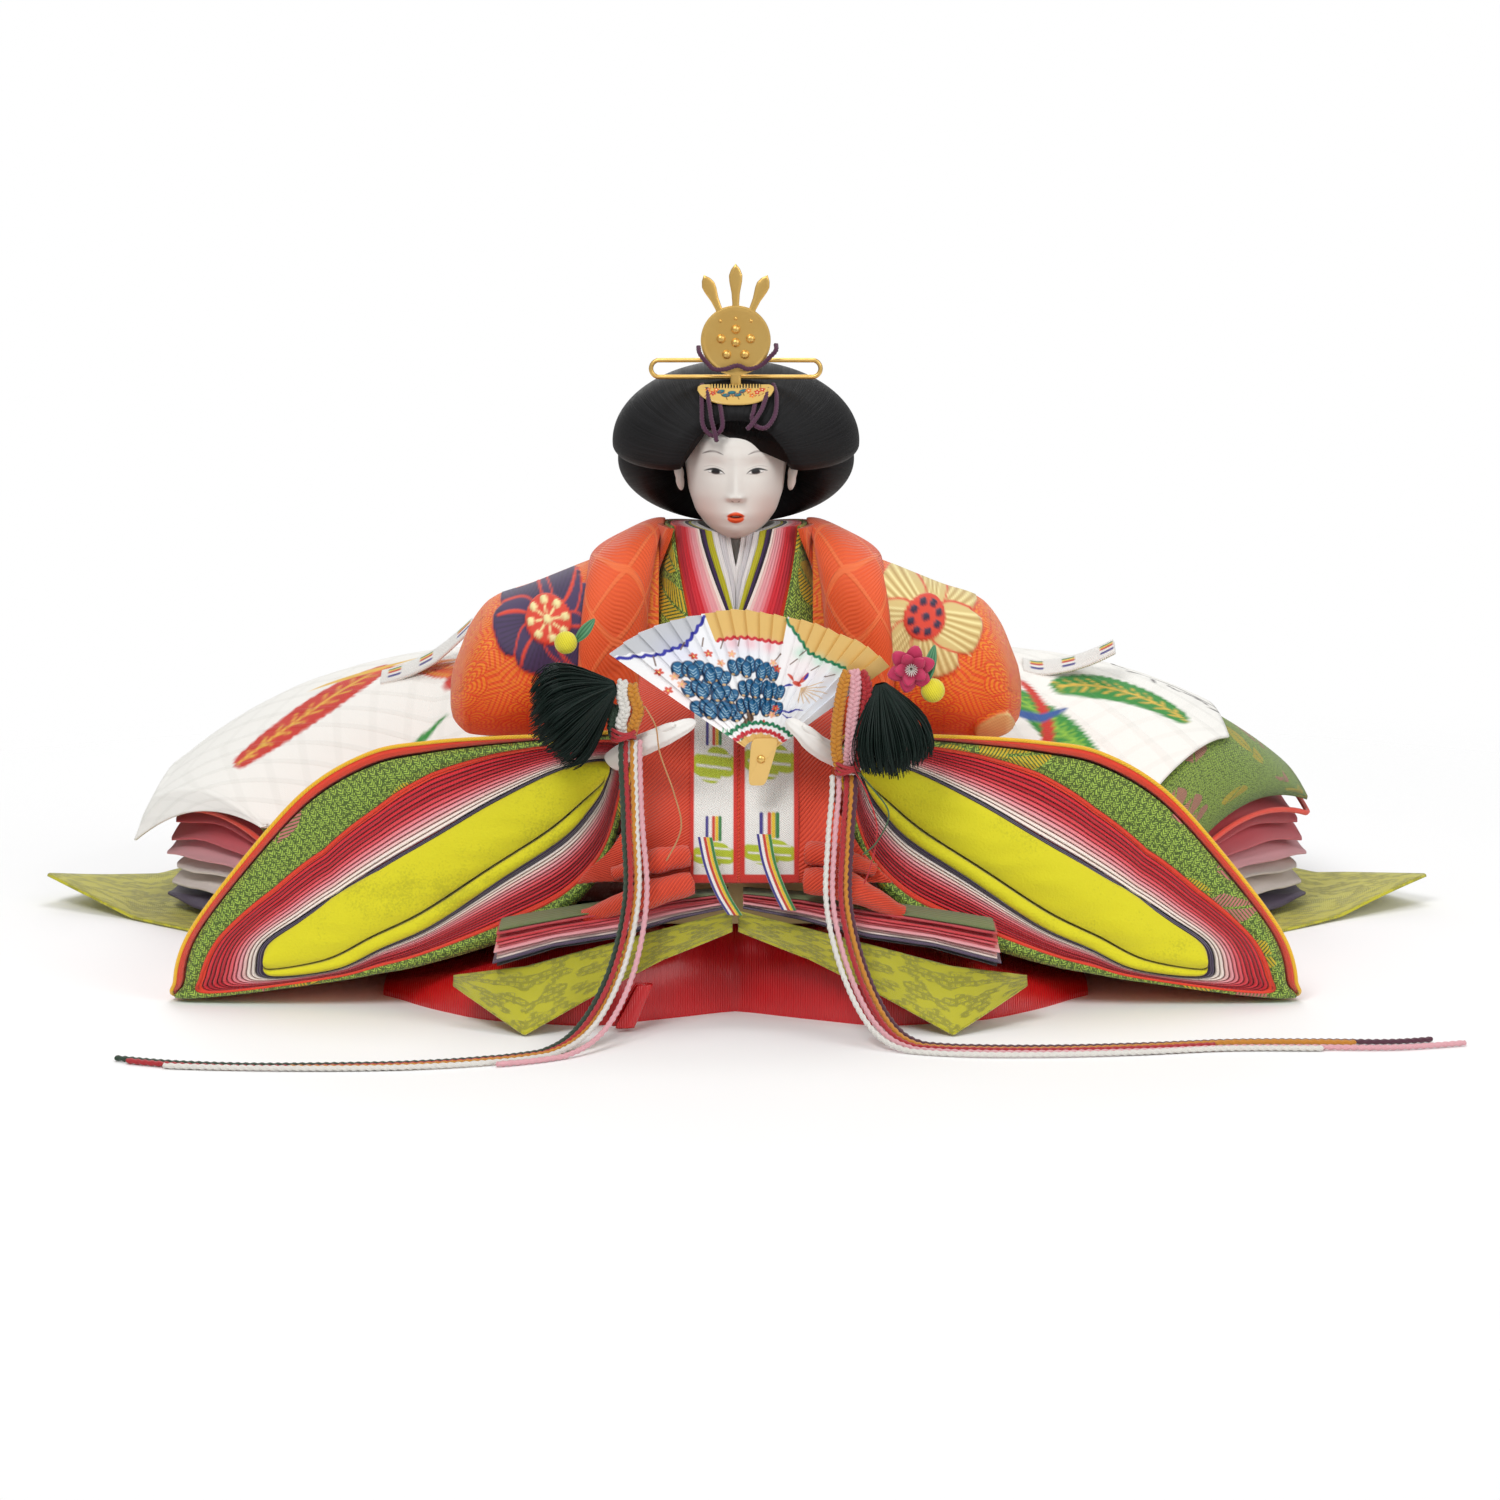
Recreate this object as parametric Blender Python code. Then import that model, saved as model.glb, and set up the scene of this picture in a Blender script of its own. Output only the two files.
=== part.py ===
"""Seated empress doll in layered court dress, in metres, +Z up, the doll facing -Y.

The origin is on the flat underside of the trousers, below the axis of the neck.
"""
import math

import bmesh
import bpy
from mathutils import Vector

for old in list(bpy.data.objects):
    bpy.data.objects.remove(old, do_unlink=True)

# Driving dimensions
GAP = 0.0004
CLOTH = 0.0012
HAKAMA_HALF_WIDTH = 0.108
HAKAMA_HEIGHT = 0.026
SHOULDER_HEIGHT = 0.134
WAIST_HALF_WIDTH = 0.0226
WAIST_HALF_DEPTH = 0.0162
SLEEVE_MOUTH_Y = -0.075
SLEEVE_INNER_X = 0.032
SLEEVE_REACH = 0.139
SLEEVE_HEIGHT = 0.084
SLEEVE_DEPTH = 0.099
HEAD_HALF_WIDTH = 0.0162
HEAD_HALF_DEPTH = 0.0200
HEAD_HEIGHT = 0.0450
CHIN_HEIGHT = 0.1350
NECK_RADIUS = 0.0078
FAN_LENGTH = 0.0500
TRAIN_HEIGHT = 0.0957
BACK_FRONT_Y = 0.040
BACK_DEPTH = 0.150
CORD_DIAMETER = 0.0018


# Common tools

def paint(name, colour, roughness, metallic=0.0):
    made = bpy.data.materials.new(name)
    made.use_nodes = True
    shader = made.node_tree.nodes["Principled BSDF"]
    shader.inputs["Base Color"].default_value = (*colour, 1.0)
    shader.inputs["Roughness"].default_value = roughness
    shader.inputs["Metallic"].default_value = metallic
    return made


def publish(name, bm, finish, crease=math.radians(40)):
    """Object from a closed mesh, its bent quads all split alike so that nested walls keep their gap."""
    quads = [face for face in bm.faces if len(face.verts) == 4]
    bmesh.ops.triangulate(bm, faces=quads, quad_method="FIXED")
    bmesh.ops.recalc_face_normals(bm, faces=bm.faces)
    if bm.calc_volume(signed=True) < 0:
        bmesh.ops.reverse_faces(bm, faces=bm.faces)
    mesh = bpy.data.meshes.new(name)
    bm.to_mesh(mesh)
    bm.free()
    mesh.shade_smooth()
    mesh.set_sharp_from_angle(angle=crease)
    piece = bpy.data.objects.new(name, mesh)
    bpy.context.collection.objects.link(piece)
    mesh.materials.append(finish)
    return piece


def skin(bm, ring_a, ring_b, split=False):
    """Faces between two rings; split ones all have their diagonal from the deeper ring's point."""
    count = len(ring_a)
    if split and sum(v.co.y for v in ring_a) < sum(v.co.y for v in ring_b):
        ring_a, ring_b = ring_b, ring_a
    for i in range(count):
        j = (i + 1) % count
        if split:
            bm.faces.new((ring_a[i], ring_a[j], ring_b[j]))
            bm.faces.new((ring_a[i], ring_b[j], ring_b[i]))
        else:
            bm.faces.new((ring_a[i], ring_a[j], ring_b[j], ring_b[i]))


def stitch(bm, ring):
    """Fill a leaf-shaped ring with strips from its upper edge to its lower one."""
    last = len(ring) - 1
    for i in range(last // 2):
        corners = [ring[i], ring[i + 1], ring[last - 1 - i], ring[last - i]]
        bm.faces.new(list(dict.fromkeys(corners)))


def loft(name, rings, finish, leaf=False):
    """Closed body through the rings, its two ends filled."""
    bm = bmesh.new()
    made = [[bm.verts.new(point) for point in ring] for ring in rings]
    for ring_a, ring_b in zip(made, made[1:]):
        skin(bm, ring_a, ring_b, split=leaf)
    for end in (made[0], made[-1]):
        if leaf:
            stitch(bm, end)
        else:
            bm.faces.new(end)
    return publish(name, bm, finish)


def slab(name, top, bottom, finish, ridges=0, bulge=0.0):
    """Closed sheet between two grids of points; its rim can carry rounded ridges, one per layer."""
    rows = len(top)
    cols = len(top[0])
    rim = [(0, c) for c in range(cols)]
    rim += [(r, cols - 1) for r in range(1, rows)]
    rim += [(rows - 1, c) for c in range(cols - 2, -1, -1)]
    rim += [(r, 0) for r in range(rows - 2, 0, -1)]
    bm = bmesh.new()
    upper = [[bm.verts.new(point) for point in row] for row in top]
    lower = [[bm.verts.new(point) for point in row] for row in bottom]
    for grid in (upper, lower):
        for r in range(rows - 1):
            for c in range(cols - 1):
                bm.faces.new((grid[r][c], grid[r][c + 1], grid[r + 1][c + 1], grid[r + 1][c]))
    centre = sum((upper[r][c].co for r, c in rim), Vector()) / len(rim)
    loops = [[lower[r][c] for r, c in rim]]
    for step in range(1, 2 * ridges):
        share = step / (2 * ridges)
        push = bulge * (step % 2)
        loop = []
        for r, c in rim:
            low, high = lower[r][c].co, upper[r][c].co
            out = (high - centre) * Vector((1, 1, 0))
            loop.append(bm.verts.new(low.lerp(high, share) + out.normalized() * push))
        loops.append(loop)
    loops.append([upper[r][c] for r, c in rim])
    for loop_a, loop_b in zip(loops, loops[1:]):
        skin(bm, loop_a, loop_b)
    return publish(name, bm, finish)


def table(rows, at):
    """Straight-line reading of a table of (place, value, ...) rows."""
    if at <= rows[0][0]:
        return rows[0][1:]
    for low, high in zip(rows, rows[1:]):
        if at <= high[0]:
            share = (at - low[0]) / (high[0] - low[0])
            return tuple(a + (b - a) * share for a, b in zip(low[1:], high[1:]))
    return rows[-1][1:]


def steps(count):
    return [i / (count - 1) for i in range(count)]


def oval(centre, half_width, half_depth, count):
    turns = [2 * math.pi * i / count for i in range(count)]
    return [centre + Vector((half_width * math.sin(a), half_depth * math.cos(a), 0)) for a in turns]


def curved(points, spacing):
    """Points at a steady spacing along a smooth curve through the given ones."""
    fine = []
    per_span = 24
    for i in range(len(points) - 1):
        p0 = Vector(points[max(i - 1, 0)])
        p1 = Vector(points[i])
        p2 = Vector(points[i + 1])
        p3 = Vector(points[min(i + 2, len(points) - 1)])
        for k in range(per_span):
            t = k / per_span
            side = (p2 - p0) * t + (2 * p0 - 5 * p1 + 4 * p2 - p3) * t ** 2
            side += (3 * p1 - p0 - 3 * p2 + p3) * t ** 3
            fine.append(p1 + side / 2)
    fine.append(Vector(points[-1]))
    reach = [0.0]
    for a, b in zip(fine, fine[1:]):
        reach.append(reach[-1] + (b - a).length)
    count = max(2, round(reach[-1] / spacing) + 1)
    marks = [(reach[i], *fine[i]) for i in range(len(fine))]
    return [Vector(table(marks, reach[-1] * share)) for share in steps(count)]


def tube(name, points, radius, finish, closed=False, girth=None, sides=2):
    line = bpy.data.curves.new(name, "CURVE")
    line.dimensions = "3D"
    line.bevel_depth = radius
    line.bevel_resolution = sides
    line.use_fill_caps = not closed
    run = line.splines.new("POLY")
    run.points.add(len(points) - 1)
    run.use_cyclic_u = closed
    for i, point in enumerate(points):
        run.points[i].co = (*point, 1.0)
        run.points[i].radius = girth[i] if girth else 1.0
    line.materials.append(finish)
    piece = bpy.data.objects.new(name, line)
    bpy.context.collection.objects.link(piece)
    return piece


def ball(name, centre, half_sizes, finish, around=20, down=10):
    bm = bmesh.new()
    bmesh.ops.create_uvsphere(bm, u_segments=around, v_segments=down, radius=1)
    bmesh.ops.scale(bm, vec=half_sizes, verts=bm.verts)
    bmesh.ops.translate(bm, vec=centre, verts=bm.verts)
    return publish(name, bm, finish)


def boolean(piece, tool, operation):
    change = piece.modifiers.new(tool.name, "BOOLEAN")
    change.operation = operation
    change.solver = "EXACT"
    change.object = tool
    tool.hide_render = True
    tool.display_type = "WIRE"


def bar(name, low, high, finish, rounding=0.0):
    bm = bmesh.new()
    bmesh.ops.create_cube(bm, size=1)
    bmesh.ops.scale(bm, vec=Vector(high) - Vector(low), verts=bm.verts)
    bmesh.ops.translate(bm, vec=(Vector(high) + Vector(low)) / 2, verts=bm.verts)
    if rounding:
        bmesh.ops.bevel(bm, geom=bm.edges[:], offset=rounding, segments=2, profile=0.5, affect="EDGES")
    return publish(name, bm, finish)


# Finishes
STRAW = paint("straw", (0.62, 0.48, 0.22), 0.9)
WOOD = paint("wood", (0.55, 0.38, 0.20), 0.7)
GOFUN = paint("gofun_white", (0.78, 0.75, 0.71), 0.55)
HAIR = paint("black_silk_hair", (0.012, 0.012, 0.014), 0.45)
GOLD = paint("gilt_metal", (0.62, 0.38, 0.10), 0.35, 1.0)
LACQUER = paint("lacquer", (0.70, 0.50, 0.15), 0.3)
PURPLE_CORD = paint("purple_cord", (0.07, 0.01, 0.04), 0.7)
WHITE_SILK = paint("white_silk", (0.80, 0.78, 0.76), 0.7)
LIME_SILK = paint("lime_silk", (0.58, 0.56, 0.01), 0.6)
PINK_SILK = paint("pink_silk", (0.80, 0.16, 0.20), 0.65)
GREEN_BROCADE = paint("green_brocade", (0.10, 0.14, 0.03), 0.7)
ORANGE_BROCADE = paint("orange_brocade", (0.80, 0.12, 0.01), 0.6)
PURPLE_SILK = paint("purple_silk", (0.03, 0.015, 0.05), 0.65)
RED_SATIN = paint("red_satin", (0.65, 0.02, 0.02), 0.35)
FAN_WHITE = paint("fan_white", (0.82, 0.80, 0.78), 0.5)
GREEN_CORD = paint("green_cord", (0.01, 0.05, 0.03), 0.7)
WHITE_CORD = paint("white_cord", (0.80, 0.76, 0.74), 0.7)
GOLD_CORD = paint("gold_cord", (0.70, 0.35, 0.03), 0.7)
PINK_CORD = paint("pink_cord", (0.80, 0.35, 0.40), 0.7)
BLOSSOM = paint("blossom", (0.55, 0.01, 0.12), 0.7)


# Trousers: the padded red base that the doll kneels on, flat underneath
HAKAMA_BACK_Y = 0.030
HAKAMA_DEPTH = 0.130
HAKAMA_EDGE = 0.0025
FRONT_LINE_SHARES = ((0.0, 0.82), (0.12, 0.88), (0.40, 1.0), (0.70, 0.93), (0.90, 0.76), (1.0, 0.62))
HEIGHT_SHARES = ((0.0, 1.0), (0.34, 1.0), (0.42, 0.94), (0.50, 0.84), (0.60, 0.70), (0.72, 0.52),
                 (0.88, 0.27), (1.0, 0.10))
PROFILE_SHARES = ((0.0, 0.10), (0.004, 0.45), (0.035, 0.80), (0.09, 1.0), (0.60, 0.96), (0.95, 0.66),
                  (1.0, 0.30))
SIDE_FALL_SHARE = 0.5


def build_hakama():
    top, bottom = [], []
    for down, height_share in PROFILE_SHARES:
        upper, lower = [], []
        for across in steps(17):
            side = 2 * across - 1
            reach = table(FRONT_LINE_SHARES, abs(side))[0] * HAKAMA_DEPTH
            height = table(HEIGHT_SHARES, abs(side))[0] * HAKAMA_HEIGHT * height_share
            height *= 1 - SIDE_FALL_SHARE * down * min(1.0, abs(side) * 2)
            y = HAKAMA_BACK_Y - reach * (1 - down)
            upper.append(Vector((side * HAKAMA_HALF_WIDTH, y, max(height, HAKAMA_EDGE))))
            lower.append(Vector((side * HAKAMA_HALF_WIDTH, y, 0)))
        top.append(upper)
        bottom.append(lower)
    slab("hakama", top, bottom, RED_SATIN)


# Trunk: bound straw with a socket for the neck peg, which the head stands on
TRUNK_TOP = 0.112
PEG_RADIUS = 0.0035
PEG_LENGTH = 0.020
PEG_CLEARANCE = 0.0003
SOCKET_DEPTH = 0.021
TRUNK_EASE = 0.0009
TRUNK_SHARES = ((0.0, 1.0), (0.75, 0.98), (0.93, 0.86), (1.0, 0.78))
ROUND_COUNT = 20


def build_trunk():
    foot = HAKAMA_HEIGHT + GAP
    tall = TRUNK_TOP - foot
    wide = WAIST_HALF_WIDTH - TRUNK_EASE
    deep = WAIST_HALF_DEPTH - TRUNK_EASE
    bore = PEG_RADIUS + PEG_CLEARANCE
    rings = [oval(Vector((0, 0, foot + tall * at)), wide * share, deep * share, ROUND_COUNT)
             for at, share in TRUNK_SHARES]
    rings.append(oval(Vector((0, 0, TRUNK_TOP)), bore, bore, ROUND_COUNT))
    rings.append(oval(Vector((0, 0, TRUNK_TOP - SOCKET_DEPTH)), bore, bore, ROUND_COUNT))
    loft("straw_torso", rings, STRAW)
    peg_top = TRUNK_TOP + GAP
    peg = [oval(Vector((0, 0, z)), PEG_RADIUS, PEG_RADIUS, ROUND_COUNT)
           for z in (peg_top - PEG_LENGTH, peg_top)]
    loft("neck_peg", peg, WOOD)


# Robes on the trunk: nested walls, open down the front, each with its collar at the neck
# Rows: height share, half width share and half depth share of the trunk
ROBE_SHARES = ((0.225, 1.0, 1.0), (0.71, 0.98, 0.97), (0.836, 0.86, 0.85), (0.91, 0.64, 0.78),
               (0.955, 0.57, 0.76), (1.0, 0.53, 0.75))
ROBE_WALLS = {"collar_white": 0.0008, "collar_lime": 0.0008, "collar_layers": 0.0045,
              "collar_brocade": 0.0010, "coat_body": 0.0016}
# Half of each robe's front opening, at the same heights, as shares of the trunk's half width
OPENING_SHARES = {
    "collar_white": (0.013, 0.013, 0.013, 0.05, 0.14, 0.22),
    "collar_lime": (0.013, 0.013, 0.02, 0.15, 0.26, 0.36),
    "collar_layers": (0.013, 0.02, 0.08, 0.28, 0.41, 0.53),
    "collar_brocade": (0.53, 0.57, 0.66, 0.77, 0.83, 0.88),
    "coat_body": (0.97, 1.06, 1.10, 1.12, 1.0, 0.86)}
ROBE_FINISHES = {"collar_white": WHITE_SILK, "collar_lime": LIME_SILK, "collar_layers": PINK_SILK,
                 "collar_brocade": GREEN_BROCADE, "coat_body": ORANGE_BROCADE}
ROBE_COLUMNS = 13
FRONT_COLUMNS = 3
FRONT_TURN = math.radians(8)
ROBE_GAP = 0.0010


def robe_offsets():
    offsets = {}
    reach = 0.0
    for name, wall in ROBE_WALLS.items():
        offsets[name] = reach
        reach += wall + ROBE_GAP
    return offsets


def robe_wall(name, offset):
    """Rows of points round the trunk; only the columns beside the opening follow its edge."""
    levels = []
    for level, opening in zip(ROBE_SHARES, OPENING_SHARES[name]):
        height, wide_share, deep_share = level
        wide = WAIST_HALF_WIDTH * wide_share + offset
        deep = WAIST_HALF_DEPTH * deep_share + offset
        end = math.pi - math.asin(min(opening * WAIST_HALF_WIDTH / wide, 0.95))
        levels.append((height * SHOULDER_HEIGHT, wide, deep, end))
    fixed = min(end for _, _, _, end in levels) - FRONT_TURN
    rows = []
    for height, wide, deep, end in levels:
        front = [fixed + (end - fixed) * (step + 1) / FRONT_COLUMNS for step in range(FRONT_COLUMNS)]
        turns = [-turn for turn in front[::-1]]
        turns += [(2 * share - 1) * fixed for share in steps(ROBE_COLUMNS)] + front
        rows.append([Vector((wide * math.sin(turn), deep * math.cos(turn), height)) for turn in turns])
    return rows


def build_robes():
    for name, offset in robe_offsets().items():
        wall = ROBE_WALLS[name]
        slab(name, robe_wall(name, offset + wall), robe_wall(name, offset), ROBE_FINISHES[name])


def coat_half_width():
    return WAIST_HALF_WIDTH + sum(ROBE_WALLS.values()) + ROBE_GAP * (len(ROBE_WALLS) - 1)


# Arms and the coat's puffed shoulders
SHOULDER_REACH = 0.056
SHOULDER_TOP = 0.1275
SHOULDER_BOTTOM = 0.0735
SHOULDER_HALF_DEPTH = 0.030
# Rows: share of the reach, top share, bottom share, depth share
SHOULDER_SHARES = ((0.0, 0.92, 0.30, 0.62), (0.12, 1.0, 0.14, 0.82), (0.35, 0.93, 0.0, 1.0),
                   (0.62, 0.80, 0.0, 1.0), (0.85, 0.66, 0.0, 0.88), (1.0, 0.34, 0.08, 0.55))
SHOULDER_SIDES = 16
ARM_SHARE = 0.42


def shoulder_ring(side, row, share, y_centre):
    at, high, low, deep = row
    tall = SHOULDER_TOP - SHOULDER_BOTTOM
    top = SHOULDER_BOTTOM + tall * high
    foot = SHOULDER_BOTTOM + tall * low
    middle = Vector((side * (coat_half_width() + GAP + SHOULDER_REACH * at), y_centre, (top + foot) / 2))
    ring = []
    for i in range(SHOULDER_SIDES):
        turn = 2 * math.pi * i / SHOULDER_SIDES
        up = math.copysign(abs(math.sin(turn)) ** 0.8, math.sin(turn)) * (top - foot) / 2
        along = math.cos(turn) * SHOULDER_HALF_DEPTH * deep
        ring.append(middle + Vector((0, along, up)) * share)
    return ring


def build_shoulders():
    arm_wall = GAP / SHOULDER_HALF_DEPTH
    for word, side in (("left", -1), ("right", 1)):
        y_centre = -SHOULDER_HALF_DEPTH * 0.15
        outer = [shoulder_ring(side, row, 1.0, y_centre) for row in SHOULDER_SHARES]
        hollow = [shoulder_ring(side, row, ARM_SHARE + 2 * arm_wall, y_centre) for row in SHOULDER_SHARES[:5]]
        loft("upper_sleeve_" + word, outer[::-1] + hollow, ORANGE_BROCADE)
        arm_rows = [SHOULDER_SHARES[0], SHOULDER_SHARES[2], (0.82, 0.68, 0.0, 0.90)]
        arm = [shoulder_ring(side, row, ARM_SHARE * 0.9, y_centre) for row in arm_rows]
        loft("arm_" + word, arm, STRAW)


# Big sleeves: nested cloths whose leaf-shaped mouths face the front
# Rows: share of the reach and of the height, from the wrist over the top to the tip and back
OUTER_LEAF_SHARES = ((0.0, 0.99), (0.144, 1.0), (0.288, 0.994), (0.432, 0.976), (0.561, 0.935),
                     (0.698, 0.80), (0.835, 0.55), (0.964, 0.262), (1.0, 0.08), (0.978, 0.012),
                     (0.66, 0.088), (0.55, 0.122), (0.453, 0.155), (0.288, 0.238), (0.151, 0.339),
                     (0.058, 0.50), (0.014, 0.72))
INNER_LEAF_SHARES = ((0.05, 0.90), (0.144, 0.869), (0.288, 0.744), (0.417, 0.607), (0.532, 0.488),
                     (0.633, 0.381), (0.712, 0.292), (0.773, 0.226), (0.784, 0.167), (0.766, 0.115),
                     (0.640, 0.143), (0.540, 0.226), (0.424, 0.321), (0.273, 0.50), (0.143, 0.649),
                     (0.085, 0.755), (0.055, 0.83))
# Rows: share of the depth, inner side in, outer side in, height share
SLEEVE_DEPTH_SHARES = ((0.0, 0.0, 0.0, 1.0), (0.13, 0.025, 0.022, 0.95), (0.35, 0.060, 0.079, 0.84),
                       (0.66, 0.075, 0.151, 0.70), (1.0, 0.090, 0.237, 0.50))
MOUTH_SWEEP = 0.012
HEM_DEPTH = 0.0016
# Rows: outer and inner place of each cloth's wall between the leaves, and how deep each runs
SLEEVE_CLOTHS = (("sleeve_coat", 0.0, 0.08, 1.0, 0.97, ORANGE_BROCADE),
                 ("sleeve_brocade", 0.11, 0.29, 0.94, 0.90, GREEN_BROCADE),
                 ("sleeve_layers", 0.33, 0.78, 0.87, 0.82, PINK_SILK),
                 ("sleeve_purple", 0.82, 0.90, 0.79, 0.75, PURPLE_SILK))
LIME_PLACE = 0.95
LIME_DEPTH = 0.72
LIME_SLIT_DEPTH = 0.012
LIME_SLIT_SHARE = 0.8
PINK_HEMS = 7


def leaf_ring(side, place, depth, lift=0.0):
    inner_in, outer_in, tall = table(SLEEVE_DEPTH_SHARES, depth)
    ring = []
    for outer, inner in zip(OUTER_LEAF_SHARES, INNER_LEAF_SHARES):
        across = outer[0] + (inner[0] - outer[0]) * place
        up = outer[1] + (inner[1] - outer[1]) * place
        x = SLEEVE_INNER_X + SLEEVE_REACH * (inner_in + across * (1 - inner_in - outer_in))
        y = SLEEVE_MOUTH_Y + MOUTH_SWEEP * across ** 2 + SLEEVE_DEPTH * depth + lift
        ring.append(Vector((side * x, y, SLEEVE_HEIGHT * up * tall)))
    return ring


def depths_to(limit):
    return [row[0] for row in SLEEVE_DEPTH_SHARES if row[0] < limit] + [limit]


def hem_rings(side, outer, inner, hems):
    rings = []
    for hem in range(hems):
        place = outer + (inner - outer) * (hem + 0.5) / hems
        rings.append(leaf_ring(side, place, 0.0, -HEM_DEPTH / 2))
        if hem < hems - 1:
            rings.append(leaf_ring(side, outer + (inner - outer) * (hem + 1) / hems, 0.0, HEM_DEPTH / 2))
    return rings


def build_sleeves():
    for word, side in (("left", -1), ("right", 1)):
        for name, outer, inner, deep, hollow, finish in SLEEVE_CLOTHS:
            outside = [leaf_ring(side, outer, depth) for depth in depths_to(deep)]
            inside = [leaf_ring(side, inner, depth) for depth in depths_to(hollow)]
            hems = PINK_HEMS if name == "sleeve_layers" else 1
            front = hem_rings(side, outer, inner, hems)
            loft(name + "_" + word, outside[::-1] + front + inside, finish, leaf=True)
        outside = [leaf_ring(side, LIME_PLACE, depth) for depth in depths_to(LIME_DEPTH)]
        rim = leaf_ring(side, 1.0, LIME_SLIT_DEPTH / SLEEVE_DEPTH)
        slit = []
        for i, point in enumerate(rim):
            middle = (point + rim[len(rim) - 1 - i]) / 2
            slit.append(point.lerp(middle, LIME_SLIT_SHARE))
        loft("sleeve_lime_" + word, outside[::-1] + [slit], LIME_SILK, leaf=True)


# Lap: the coat's front over the knees, on a padded block
# Rows: distance forward and height, shares of the lap's reach and height, then half width share
LAP_BACK_Y = -0.0345
LAP_REACH = 0.054
LAP_HEIGHT = 0.096
LAP_HALF_WIDTH = 0.0295
LAP_SHARES = ((0.0, 1.0, 1.0), (0.30, 0.958, 1.0), (0.56, 0.854, 1.0), (0.78, 0.687, 1.0),
              (0.93, 0.542, 1.25), (1.0, 0.432, 1.6))
LAP_THICKNESS = 0.0020
LAP_FOLD = 0.0008
BAND_THICKNESS = 0.0010
BAND_GAP = 0.0007
BAND_PLACES = {"left": (-0.0136, 0.0006), "right": (0.0014, 0.0190)}


def lap_line(depth):
    """The lap's side view moved in by depth, as (y, z, half width) rows."""
    points = [Vector((LAP_BACK_Y - LAP_REACH * out, LAP_HEIGHT * up)) for out, up, _ in LAP_SHARES]
    line = []
    for i, point in enumerate(points):
        before = points[max(i - 1, 0)]
        after = points[min(i + 1, len(points) - 1)]
        along = (after - before).normalized()
        inward = Vector((-along.y, along.x))
        line.append((*(point + inward * depth), LAP_HALF_WIDTH * LAP_SHARES[i][2]))
    return line


def lap_fold(x, across_limit):
    beyond = max(0.0, abs(x) - across_limit)
    return LAP_FOLD * abs(math.sin(beyond / across_limit * 2 * math.pi))


def build_lap():
    folds_from = BAND_PLACES["right"][1]
    grids = []
    for depth in (0.0, LAP_THICKNESS):
        rows = []
        for y, z, half in lap_line(depth):
            row = []
            for share in steps(17):
                x = (2 * share - 1) * half
                row.append(Vector((x, y - lap_fold(x, folds_from), z)))
            rows.append(row)
        grids.append(rows)
    slab("lap_brocade", grids[0], grids[1], ORANGE_BROCADE)
    for word, (low, high) in BAND_PLACES.items():
        rows = [lap_line(-BAND_GAP - BAND_THICKNESS)[1:], lap_line(-BAND_GAP)[1:]]
        grids = [[[Vector((low + (high - low) * share, y, z)) for share in steps(3)]
                  for y, z, _ in line] for line in rows]
        slab("band_" + word, grids[0], grids[1], WHITE_SILK)
    line = lap_line(LAP_THICKNESS + GAP)[:4]
    half = LAP_HALF_WIDTH - LAP_THICKNESS
    top = [[Vector(((2 * share - 1) * half, y, z)) for share in steps(5)] for y, z, _ in line]
    bottom = [[Vector((point.x, point.y, HAKAMA_HEIGHT + GAP)) for point in row] for row in top]
    slab("knee_form", top, bottom, STRAW)


# Front hems: the stacked robe edges, and the lime robe's corners under them
HEM_BACK_Y = -0.0785
HEM_REACH = {"left": 0.071, "right": 0.078}
# Rows: share of the reach, top, bottom, and forward reach, as shares of the hem's own sizes
HEM_TOP = 0.0385
HEM_FORWARD = 0.020
HEM_SHARES = ((0.03, 1.0, 0.88, 0.60), (0.25, 0.97, 0.80, 0.72), (0.50, 0.91, 0.665, 0.85),
              (0.75, 0.84, 0.60, 0.95), (1.0, 0.76, 0.46, 1.0))
HEM_RIDGES = 4
HEM_BULGE = 0.0009
LIME_CLOTH = 0.0010
# Rows: share of the reach, then forward and height shares of the top edge and of the bottom edge
LIME_REACH = {"left": 0.084, "right": 0.087}
LIME_FORWARD = 0.114
LIME_TOP = 0.031
LIME_FRONT_SHARES = ((0.01, 0.80, 1.08, 0.825, 0.90), (0.25, 0.805, 0.91, 0.86, 0.66),
                     (0.48, 0.825, 0.75, 0.925, 0.37), (0.74, 0.835, 0.56, 1.0, 0.02),
                     (1.0, 0.82, 0.46, 0.845, 0.38))


def build_hems():
    for word, side in (("left", -1), ("right", 1)):
        top, bottom = [], []
        for share, high, low, out in HEM_SHARES:
            x = side * HEM_REACH[word] * share
            ends = [HEM_BACK_Y - HEM_FORWARD * out * along for along in steps(3)]
            top.append([Vector((x, y, HEM_TOP * high)) for y in ends])
            bottom.append([Vector((x, y, HEM_TOP * low)) for y in ends])
        slab("hem_stack_" + word, top, bottom, PINK_SILK, HEM_RIDGES, HEM_BULGE)
        front, back = [], []
        for share, top_out, top_up, low_out, low_up in LIME_FRONT_SHARES:
            x = side * LIME_REACH[word] * share
            edge = Vector((x, -LIME_FORWARD * top_out, LIME_TOP * top_up))
            hem = Vector((x, -LIME_FORWARD * low_out, LIME_TOP * low_up))
            inward = Vector((0, LIME_CLOTH, 0))
            front.append([edge.lerp(hem, t) for t in steps(4)])
            back.append([point + inward for point in front[-1]])
        slab("hem_lime_" + word, front, back, LIME_SILK)


# Robes laid out behind: lime cloth on the floor, folded layers, green brocade and the white train
PILE_HALF_WIDTH = 0.205
PILE_SIDE_FALL = 0.68
PILE_BACK_FALL = 0.50
PILE_ROUNDNESS = 4
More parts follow.
